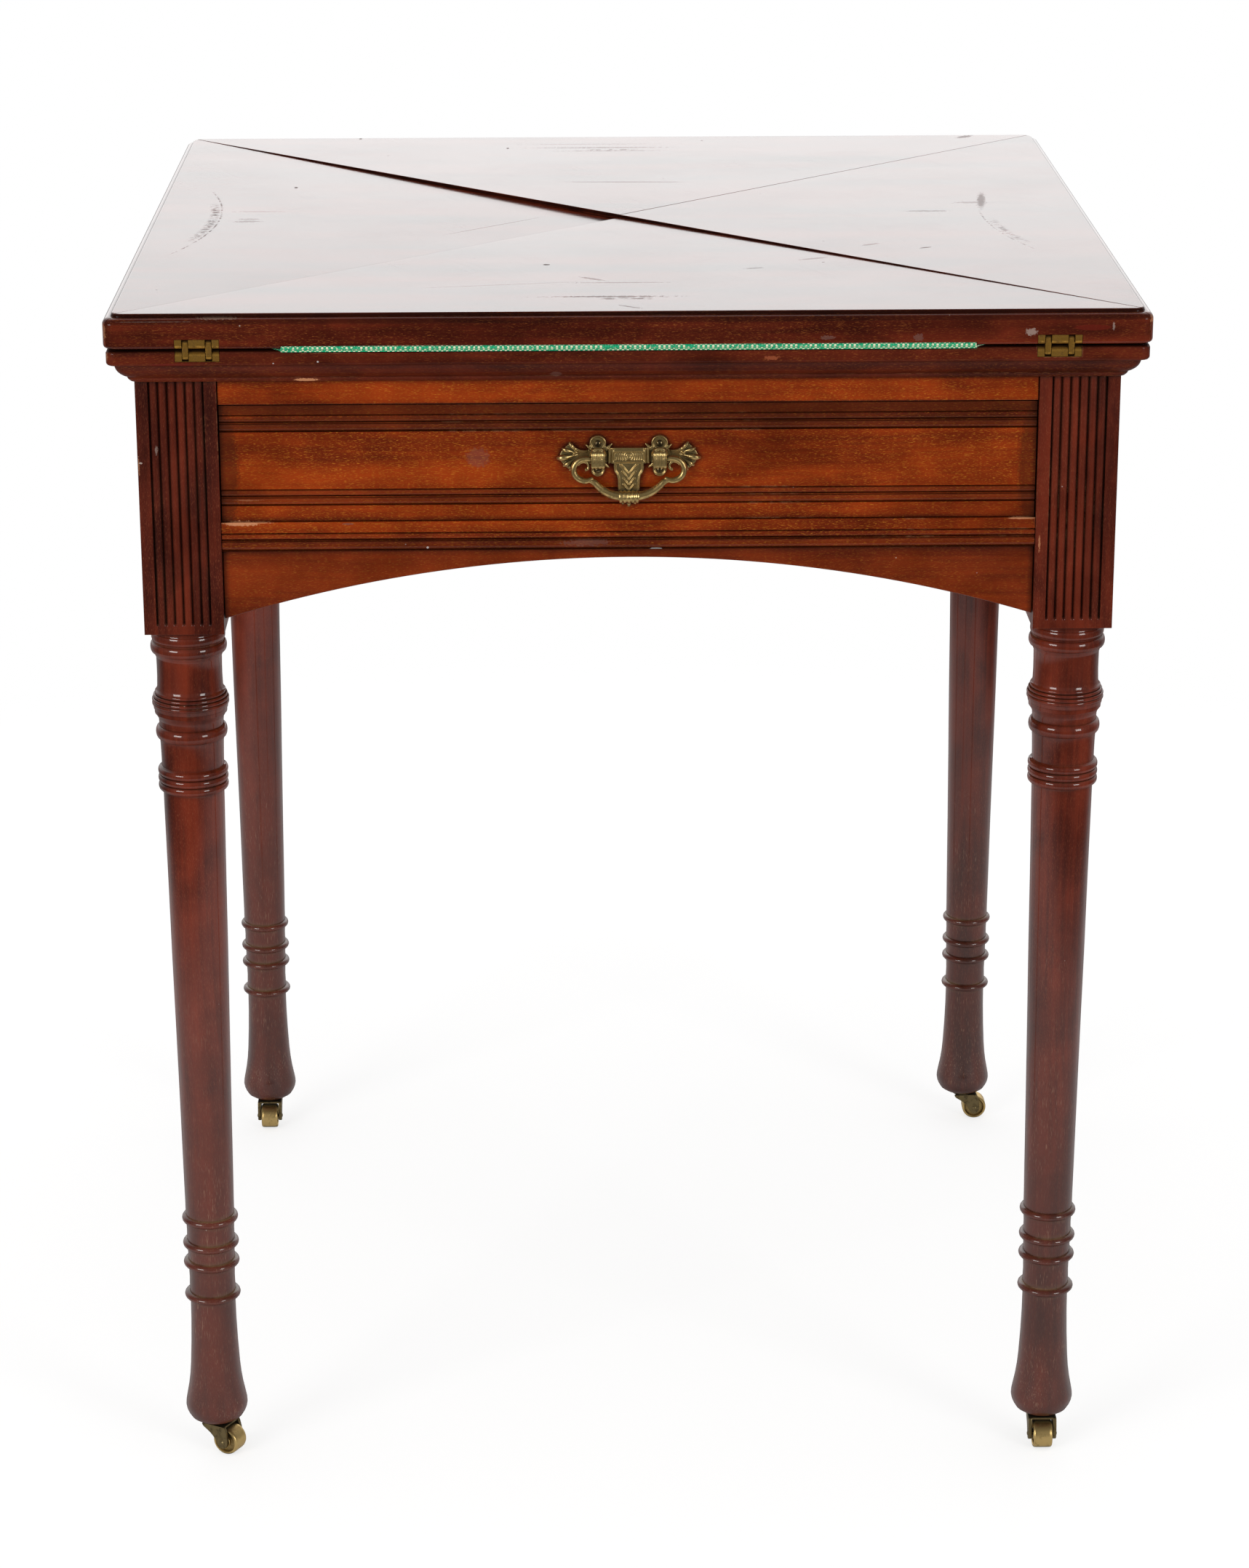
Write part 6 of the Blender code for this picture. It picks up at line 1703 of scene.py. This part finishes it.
def sheet_metal(name, outline_points, front, back):
    """Cut a flat shape of across and height points out of plate."""
    points = in_metres([(x, back, z) for x, z in outline_points])
    return bar(name, points, (0.0, (front - back) * MILLIMETRE, 0.0))


def small_block(name, low, high, round_width=SMALL_ROUND):
    """Make an eased block from corners in millimetres."""
    return block(name, *in_metres((low, high)), round_width * MILLIMETRE)


def brass_rod(name, rows, shift=(0.0, 0.0, 0.0), **settings):
    """Draw a rod from points in millimetres."""
    return rod(name, in_metres(rows, shift), **settings)


def handle_side():
    """Make the pieces of the handle's left side: palmette, lobes, ears and hand."""
    pieces = [sheet_metal("neck", NECK, PLATE_FACE + NECK_SINK, PLATE_BACK)]
    pieces += [brass_rod("petal", rows) for rows in PETALS + EARS]
    for profile, level in ((UPPER_LOBE, UPPER_LOBE_LEVEL), (LOWER_LOBE, LOWER_LOBE_LEVEL)):
        place = Vector((-HAND_PLACE, PLATE_BACK, level)) * MILLIMETRE
        pieces.append(boss("lobe", in_metres(profile), place))
    corner = (-HAND_PLACE - HAND_HALF, HAND_FACE, HAND_LOW)
    pieces.append(small_block("hand", corner, (-HAND_PLACE + HAND_HALF, PLATE_BACK, HAND_HIGH), HAND_ROUND))
    for across in FINGERS:
        pieces.append(brass_rod("finger", [(across - HAND_PLACE, *row) for row in FINGER]))
    pieces.append(brass_rod("cuff", CUFF, (-HAND_PLACE, 0.0, 0.0)))
    return pieces


def handle_middle():
    """Make the handle's bar with its rings and bands, and the veined stem below it."""
    plate = small_block("bar", (-BAR_HALF, BAR_FACE, BAR_LOW), (BAR_HALF, PLATE_BACK, BAR_HIGH))
    corner = (-PANEL_HALF, BAR_FACE - PANEL_DEPTH, PANEL_BOTTOM)
    carve(plate, small_block("panel", corner, (PANEL_HALF, BAR_FACE + PANEL_DEPTH, PANEL_TOP), 0.0))
    pieces = [plate]
    for level in FRAME_LINE_LEVELS:
        rows = [(x, BAR_FACE, level, FRAME_LINE_RADIUS) for x in (-FRAME_LINE_HALF, FRAME_LINE_HALF)]
        pieces.append(brass_rod("frame_line", rows))
    for across in END_BANDS:
        rows = [(across, BAR_FACE, z, END_BAND_RADIUS) for z in (END_BAND_LOW, END_BAND_HIGH)]
        pieces.append(brass_rod("end_band", rows))
    for index in range(1, RING_COUNT + 1):
        radius = RING_PITCH * index
        sweep = 180.0
        if radius > RING_HALF_HEIGHT:
            sweep = 2 * math.degrees(math.asin(RING_HALF_HEIGHT / radius))
        for start in (-sweep / 2, 180.0 - sweep / 2):
            spots = arc(RING_CENTRE, radius, start, start + sweep, RING_STEPS)
            rows = [(x, BAR_FACE + RING_INSET, z, RING_WIRE) for x, z in spots]
            pieces.append(brass_rod("ring", rows, steps=1, fineness=1))
    outline_points = list(STEM) + [(-x, z) for x, z in reversed(STEM)]
    pieces.append(sheet_metal("stem", outline_points, PLATE_FACE, PLATE_BACK))
    for mirror in (1.0, -1.0):
        rim = [(x * mirror, PLATE_FACE - RIM_INSET, z, RIM_RADIUS) for x, z in STEM]
        pieces.append(brass_rod("stem_rim", rim))
        for vein in STEM_VEINS:
            pieces.append(brass_rod("vein", [(x * mirror, y, z, radius) for x, y, z, radius in vein]))
    leaves = [brass_rod("leaf", leaf) for leaf in STEM_LEAVES]
    return pieces + leaves + [mirrored(leaves[0], "leaf")]


def build_backplate(sizes, finish):
    """Cast the plate with its two hands, and bore them for the bail's ends."""
    side = handle_side()
    pieces = side + [mirrored(piece, piece.name) for piece in side] + handle_middle()
    plate = cast(joined("handle_backplate", pieces), sizes.cast_fineness)
    profile = ((0.0, -BORE_REACH), (BORE_RADIUS, -BORE_REACH), (BORE_RADIUS, BORE_REACH), (0.0, BORE_REACH))
    for across in (-HAND_PLACE, HAND_PLACE):
        bore = boss("bore", in_metres(profile), (0.0, 0.0, 0.0), BAIL_BORE_SIDES)
        place = Vector((across, BAIL_DEPTH, BAIL_LEVEL)) * MILLIMETRE
        bore.data.transform(Matrix.Translation(place) @ Matrix.Rotation(QUARTER, 4, "Z"))
        carve(plate, bore)
    fit(polish(plate, CAST_ANGLE), "drawer", "aged_brass", finish, "handle_plate")


def build_bail(sizes, finish):
    """Cast the swinging bail: scrolls, volutes and bow, with a ringed clasp in its middle."""
    side = [brass_rod("wire", rows, (0.0, BAIL_DEPTH, 0.0)) for rows in (SCROLL, BOW, VOLUTE)]
    pieces = side + [mirrored(piece, "wire") for piece in side]
    for across in CLASP_RINGS:
        ring = added(
            "ring", bpy.ops.mesh.primitive_torus_add, major_radius=CLASP_RADIUS * MILLIMETRE,
            minor_radius=CLASP_WIRE * MILLIMETRE, major_segments=CLASP_SIDES, minor_segments=CLASP_WIRE_SIDES,
        )
        place = Matrix.Translation(Vector((across, CLASP_DEPTH, CLASP_LEVEL)) * MILLIMETRE)
        flatten = Matrix.Diagonal((1.0, CLASP_FLATNESS_SHARE, 1.0, 1.0))
        ring.data.transform(place @ flatten @ Matrix.Rotation(QUARTER, 4, "Y"))
        pieces.append(ring)
    bail = cast(joined("handle_bail_casting", pieces), sizes.cast_fineness)
    fit(polish(bail, CAST_ANGLE), "bail", "aged_brass", finish, "handle_bail")


def build_handle(sizes, colours):
    """Make the cast handle: its plate with two hands, its bail and its four screws."""
    brass = old_brass("cast_brass", colours.brass, colours.brass_dark)
    build_backplate(sizes, brass)
    build_bail(sizes, brass)
    screws = []
    for index, turn in enumerate(SCREW_TURNS):
        across = HAND_PLACE if index % 2 else -HAND_PLACE
        level = UPPER_LOBE_LEVEL if index < 2 else LOWER_LOBE_LEVEL
        screw = boss("screw", in_metres(SCREW_DOME), (0.0, 0.0, 0.0), SCREW_SIDES)
        corner = (-SCREW_SLOT_HALF, SCREW_SLOT_FRONT, -SCREW_SLOT_REACH)
        carve(screw, small_block("slot", corner, (SCREW_SLOT_HALF, SCREW_SLOT_FLOOR, SCREW_SLOT_REACH), 0.0))
        place = Matrix.Translation(Vector((across, PLATE_BACK, level)) * MILLIMETRE)
        screw.data.transform(place @ Matrix.Rotation(math.radians(turn), 4, "Y"))
        screws.append(screw)
    finish = old_brass("screw_brass", SCREW_BRASS, SCREW_TARNISH, 0.22)
    fit(polish(joined("handle_screws", screws)), "drawer", "aged_brass", finish)


# Kept pieces: the drawer's inside, the runners, the pivot rail and the pivot's ironwork

KEPT_WOOD = {
    "drawer_side_left": QUARTER, "drawer_side_right": QUARTER, "drawer_back": 0.0, "drawer_bottom": 0.0,
    "drawer_runner_left": QUARTER, "drawer_runner_right": QUARTER, "pivot_rail": QUARTER,
}
KEPT_IRON = ("pivot_bolt", "pivot_washer", "pivot_nut", "stop_peg")
KEPT_ROUND = 0.0005


def refinished(name, finish):
    """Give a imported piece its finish, and leave its mesh alone."""
    piece = bpy.data.objects[name]
    piece.data.materials.clear()
    piece.data.materials.append(finish)
    return piece


def build_kept(sizes, colours):
    """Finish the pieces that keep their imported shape, and ease the wooden ones' edges."""
    for name, turn in KEPT_WOOD.items():
        piece = refinished(name, bare_wood("inside_wood_" + name, colours.lining, None, turn))
        piece.modifiers.new("weld", "WELD").merge_threshold = JOIN_DISTANCE
        round_edge = piece.modifiers.new("bevel", "BEVEL")
        round_edge.width = KEPT_ROUND
        round_edge.segments = 2
    iron = worn_iron("pivot_iron", PIVOT_IRON, 0.35)
    for name in KEPT_IRON:
        refinished(name, iron)


# Casters

AXLE_LEVEL = JOINTS["wheel_roll_front_right"]["pos_m"][2]
CASTER_TRAIL = 0.009
CHEEK_PLAY = 0.0006
CHEEK_THICKNESS = 0.0023
CHEEK_ROUND = 0.00045
CHEEK_START = (WHEEL_HIGH.x - WHEEL_LOW.x) / 2 + CHEEK_PLAY
CASTER_SIDES = 40
AXLE_SIDES = 24
WHEEL_SIDES = 56

# Caster in millimetres: the bridge between its cheeks, radius and height of its turned pieces, and the
# outline of a cheek
BRIDGE_BACK = -5.2
BRIDGE_FRONT = 10.4
BRIDGE_LOW = 18.8
BRIDGE_HIGH = 20.3
BRIDGE_HALF = CHEEK_START / MILLIMETRE + 1.2
BRIDGE_ROUND = 0.4
AXLE_END = ((0.0, -9.6), (1.0, -9.4), (1.7, -9.0), (1.7, -8.6), (1.2, -8.5))
WHEEL_SIDE = (
    (1.55, -5.9), (3.3, -5.9), (3.6, -5.5), (3.6, -3.9), (4.2, -3.6), (6.6, -3.6), (7.0, -4.2), (7.05, -5.5),
    (7.4, -5.9), (8.0, -5.95), (8.5, -5.6), (8.8, -4.8), (8.889, -3.6),
)
FOOT_PLATE_PROFILE = (
    (2.5, 20.80), (8.8, 20.80), (9.3, 20.95), (9.5, 21.4), (9.4, 21.9), (9.0, 22.18), (2.5, 22.18),
    (2.5, 20.80),
)
CROWN_PROFILE = (
    (0.0, 18.7), (5.6, 18.7), (6.6, 18.9), (7.2, 19.4), (7.3, 19.9), (6.9, 20.3), (6.2, 20.45),
    (2.6, 20.45), (2.1, 20.8), (2.1, 35.6), (1.6, 36.1), (0.0, 36.15),
)
CHEEK = (
    (-6.3, 19.9), (-5.9, 18.6), (-4.6, 17.4), (-2.6, 16.2), (-0.6, 14.9), (1.2, 13.4), (2.9, 11.6),
    (4.2, 9.9), (5.0, 8.4), (5.6, 6.9), (6.6, 5.7), (8.0, 5.05), (9.6, 5.1), (11.0, 5.8), (12.2, 7.1),
    (12.7, 8.8), (12.7, 11.5), (12.3, 15.0), (11.4, 18.4), (10.6, 20.2), (2.0, 20.3),
)


def both_sides(rows):
    """Carry on half of a profile of radius and height with its mirror image."""
    return [*rows, *((radius, -height) for radius, height in reversed(rows))]


def build_fork():
    """Make a caster's fork: its crown and stem, two cheeks and the bridge between them."""
    fork = lathe("fork", in_metres(CROWN_PROFILE), (0.0, 0.0), CASTER_SIDES)
    for start in (CHEEK_START, -CHEEK_START - CHEEK_THICKNESS):
        points = [(x * MILLIMETRE, start, z * MILLIMETRE) for x, z in CHEEK]
        cheek = bar("cheek", points, (0.0, CHEEK_THICKNESS, 0.0))
        carve(fork, ease(cheek, CHEEK_ROUND, 2, 50.0), "UNION")
    corner = (BRIDGE_BACK, -BRIDGE_HALF, BRIDGE_LOW)
    bridge = small_block("bridge", corner, (BRIDGE_FRONT, BRIDGE_HALF, BRIDGE_HIGH), BRIDGE_ROUND)
    return carve(fork, bridge, "UNION")


def build_casters(sizes, colours):
    """Make the four casters from one pattern: foot plate, fork, axle and wheel."""
    tread = old_brass("caster_tread_brass", colours.brass, colours.brass_dark, 0.36, 0.50)
    dull = old_brass("caster_fork_brass", FORK_BRASS, FORK_TARNISH, 0.40, 0.44)
    fork = build_fork()
    axle = lathe("axle", in_metres(both_sides(AXLE_END)), (0.0, 0.0), AXLE_SIDES)
    rows = both_sides(WHEEL_SIDE) + [WHEEL_SIDE[0]]
    wheel = lathe("wheel", in_metres(rows), (0.0, 0.0), WHEEL_SIDES)
    hung = Matrix.Translation((CASTER_TRAIL, 0.0, AXLE_LEVEL)) @ Matrix.Rotation(QUARTER, 4, "X")
    for piece in (axle, wheel):
        piece.data.transform(hung)
    plate = lathe("plate", in_metres(FOOT_PLATE_PROFILE), (0.0, 0.0), CASTER_SIDES)
    for corner in CORNERS:
        side = Vector(JOINTS["swivel_turn_" + corner]["pos_m"])
        hub = Vector(JOINTS["wheel_roll_" + corner]["pos_m"])
        heading = math.atan2(hub.y - side.y, hub.x - side.x)
        place = Matrix.Translation((side.x, side.y, 0.0)) @ Matrix.Rotation(heading, 4, "Z")
        for pattern, name, body, node, finish in (
            (plate, "caster_foot_plate_", "stand", "caster_plate_", dull),
            (fork, "caster_horn_", "swivel_" + corner, "caster_fork_", dull),
            (axle, "caster_pin_", "swivel_" + corner, "caster_axle_", dull),
            (wheel, "caster_roller_", "wheel_" + corner, "caster_wheel_", tread),
        ):
            twin = copied(pattern, name + corner, place)
            fit(polish(twin), body, "aged_brass", finish, node + corner)
    discard(plate, fork, axle, wheel)


# Stage

CAMERA_PLACE = (-0.0429, -2.6052, 1.2308)
CAMERA_PITCH = math.radians(18.564)
CAMERA_ROLL = math.radians(-0.128)
CAMERA_YAW = math.radians(-0.987)
CAMERA_LENS = 94.0
CAMERA_SENSOR = 36.0
FLOOR_RADIUS = 1.5
FLOOR_FADE = 0.5
FLOOR_SIDES = 96
FLOOR_GREY = 0.42
FLOOR_GLOW = 0.71
FLOOR_MIRRORED_SHARE = 0.25
ROOM_LIGHT = 0.62
LAMPS = (
    ("back_softbox", (0.0, 1.9, 1.15), (0.0, 0.0, 0.74), 2.0, 0.9, 3.4, (1.0, 1.0, 1.0)),
    ("left_softbox", (-2.5, -2.7, 1.3), (0.0, 0.0, 0.45), 1.5, 1.0, 39.0, (1.0, 0.99, 0.97)),
    ("right_softbox", (2.5, -2.8, 1.2), (0.0, 0.0, 0.45), 1.1, 1.2, 30.0, (1.0, 0.99, 0.97)),
)


def seen_directly(wires):
    """Read the ray's path, and whether the camera sees this spot directly or through glass."""
    path = wires.add("LightPath").outputs
    return path, wires.maths("MAXIMUM", path["Is Camera Ray"], path["Is Transmission Ray"])


def build_floor():
    """Lay the pale floor, which fades out into the background."""
    floor = added(
        "studio_floor", bpy.ops.mesh.primitive_circle_add, vertices=FLOOR_SIDES, radius=FLOOR_RADIUS,
        fill_type="NGON",
    )
    material, wires, shader = blank("studio_floor_white")
    path, seen = seen_directly(wires)
    seen = wires.maths("MAXIMUM", seen, wires.times(path["Is Glossy Ray"], FLOOR_MIRRORED_SHARE))
    reach = wires.vectors("LENGTH", own_place(wires))
    dress(shader, wires, {
        "Base Color": solid((FLOOR_GREY, FLOOR_GREY, FLOOR_GREY)),
        "Roughness": 1.0,
        "Specular IOR Level": 0.0,
        "Emission Color": (1.0, 1.0, 1.0, 1.0),
        "Emission Strength": wires.times(seen, FLOOR_GLOW),
        "Alpha": wires.fade(reach, FLOOR_RADIUS - FLOOR_FADE, FLOOR_RADIUS),
    })
    floor.data.materials.append(material)
    return floor


def build_lamp(name, place, target, width, height, power, colour):
    """Hang one soft light and turn it to its target."""
    lamp = added(name, bpy.ops.object.light_add, type="AREA", location=place)
    lamp.data.shape = "RECTANGLE"
    lamp.data.size = width
    lamp.data.size_y = height
    lamp.data.energy = power
    lamp.data.color = colour
    lamp.visible_camera = False
    way = Vector(target) - Vector(place)
    lamp.rotation_euler = way.to_track_quat("-Z", "Y").to_euler()
    return lamp


def build_room():
    """Light the room: white to the camera, plain on the pieces, and brightest behind in reflections."""
    world = bpy.context.scene.world or bpy.data.worlds.new("studio_world")
    bpy.context.scene.world = world
    world.use_nodes = True
    wires = Wiring(world.node_tree)
    ground = next(node for node in world.node_tree.nodes if node.type == "BACKGROUND")
    path, seen = seen_directly(wires)
    way = wires.apart(wires.add("TexCoord").outputs["Generated"])
    behind = wires.span(way["Y"], 0.10, 0.98, 0.10, 1.0)
    behind = wires.times(behind, wires.span(way["Z"], -0.15, 0.15, 0.35, 1.0))
    reflected = wires.times(path["Is Glossy Ray"], behind)
    plain = wires.times(wires.maths("SUBTRACT", 1.0, path["Is Glossy Ray"]), ROOM_LIGHT)
    level = wires.maths("ADD", reflected, plain)
    wires.join((1.0, 1.0, 1.0, 1.0), ground.inputs["Color"])
    wires.join(wires.maths("MAXIMUM", seen, level), ground.inputs["Strength"])


def build_camera():
    """Set the camera where the photographer stood."""
    pitch, roll, yaw = CAMERA_PITCH, CAMERA_ROLL, CAMERA_YAW
    ahead = Vector((-math.sin(yaw) * math.cos(pitch), math.cos(yaw) * math.cos(pitch), -math.sin(pitch)))
    level_right = Vector((math.cos(yaw), math.sin(yaw), 0.0))
    level_up = level_right.cross(ahead)
    right = level_right * math.cos(roll) + level_up * math.sin(roll)
    up = level_up * math.cos(roll) - level_right * math.sin(roll)
    camera = added("photo_camera", bpy.ops.object.camera_add, location=CAMERA_PLACE)
    camera.rotation_euler = Matrix((right, up, -ahead)).transposed().to_euler()
    camera.data.lens = CAMERA_LENS
    camera.data.sensor_width = CAMERA_SENSOR
    camera.data.sensor_fit = "AUTO"
    bpy.context.scene.camera = camera
    return camera


def build_stage():
    """Set the floor, the soft light and the camera."""
    things = [build_floor()]
    things += [build_lamp(*row) for row in LAMPS]
    build_room()
    things.append(build_camera())
    bpy.context.scene.view_settings.view_transform = "Standard"


# Add-on


def table_values(context):
    """Read the sizes and the colours."""
    return context.scene.table_sizes, context.scene.table_colours


class LegsOperator(bpy.types.Operator):
    """Make the four turned legs"""

    bl_idname = "game_table.legs"
    bl_label = "Turned legs"

    def execute(self, context):
        build_legs(*table_values(context))
        return {"FINISHED"}


class FrameOperator(bpy.types.Operator):
    """Make the rails, the apron and the panels"""

    bl_idname = "game_table.frame"
    bl_label = "Rails and panels"

    def execute(self, context):
        build_frame(*table_values(context))
        return {"FINISHED"}


class BoardOperator(bpy.types.Operator):
    """Make the moulded board under the flaps"""

    bl_idname = "game_table.board"
    bl_label = "Board"

    def execute(self, context):
        build_board(*table_values(context))
        return {"FINISHED"}


class FlapsOperator(bpy.types.Operator):
    """Make the four triangular flaps"""

    bl_idname = "game_table.flaps"
    bl_label = "Flaps"

    def execute(self, context):
        build_flaps(*table_values(context))
        return {"FINISHED"}


class HingesOperator(bpy.types.Operator):
    """Make the brass link hinges"""

    bl_idname = "game_table.hinges"
    bl_label = "Link hinges"

    def execute(self, context):
        build_hinges(*table_values(context))
        return {"FINISHED"}


class ClothOperator(bpy.types.Operator):
    """Lay the green cloth"""

    bl_idname = "game_table.cloth"
    bl_label = "Playing cloth"

    def execute(self, context):
        build_cloth(*table_values(context))
        return {"FINISHED"}


class DrawerOperator(bpy.types.Operator):
    """Make the beaded drawer front"""

    bl_idname = "game_table.drawer"
    bl_label = "Drawer front"

    def execute(self, context):
        build_drawer_front(*table_values(context))
        return {"FINISHED"}


class HandleOperator(bpy.types.Operator):
    """Make the cast brass handle"""

    bl_idname = "game_table.handle"
    bl_label = "Handle"

    def execute(self, context):
        build_handle(*table_values(context))
        return {"FINISHED"}


class KeptOperator(bpy.types.Operator):
    """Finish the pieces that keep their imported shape"""

    bl_idname = "game_table.kept"
    bl_label = "Drawer's inside and pivot"

    def execute(self, context):
        build_kept(*table_values(context))
        return {"FINISHED"}


class CastersOperator(bpy.types.Operator):
    """Make the four casters"""

    bl_idname = "game_table.casters"
    bl_label = "Casters"

    def execute(self, context):
        build_casters(*table_values(context))
        return {"FINISHED"}


class StageOperator(bpy.types.Operator):
    """Set the floor, the light and the camera"""

    bl_idname = "game_table.stage"
    bl_label = "Studio"

    def execute(self, context):
        build_stage()
        return {"FINISHED"}


STEPS = (
    LegsOperator, FrameOperator, BoardOperator, FlapsOperator, HingesOperator, ClothOperator,
    DrawerOperator, HandleOperator, KeptOperator, CastersOperator, StageOperator,
)


class GameTablePanel(bpy.types.Panel):
    """Lists the steps that dress the table"""

    bl_idname = "VIEW3D_PT_game_table"
    bl_label = "Fold-top game table"
    bl_space_type = "VIEW_3D"
    bl_region_type = "UI"
    bl_category = "Game table"

    def draw(self, context):
        for group in table_values(context):
            for name in group.__annotations__:
                self.layout.prop(group, name)
        for step in STEPS:
            self.layout.operator(step.bl_idname)


CLASSES = (TableSizes, TableColours, *STEPS, GameTablePanel)


def register():
    """Make the table's settings, steps and panel known."""
    for entry in CLASSES:
        bpy.utils.register_class(entry)
    bpy.types.Scene.table_sizes = bpy.props.PointerProperty(type=TableSizes)
    bpy.types.Scene.table_colours = bpy.props.PointerProperty(type=TableColours)


def unregister():
    """Take the table's settings, steps and panel away again."""
    del bpy.types.Scene.table_colours
    del bpy.types.Scene.table_sizes
    for entry in reversed(CLASSES):
        bpy.utils.unregister_class(entry)


def main():
    """Dress the table step by step."""
    register()
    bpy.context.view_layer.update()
    bpy.ops.game_table.legs()
    bpy.ops.game_table.frame()
    bpy.ops.game_table.board()
    bpy.ops.game_table.flaps()
    bpy.ops.game_table.hinges()
    bpy.ops.game_table.cloth()
    bpy.ops.game_table.drawer()
    bpy.ops.game_table.handle()
    bpy.ops.game_table.kept()
    bpy.ops.game_table.casters()
    bpy.ops.game_table.stage()


if __name__ == "__main__":
    main()
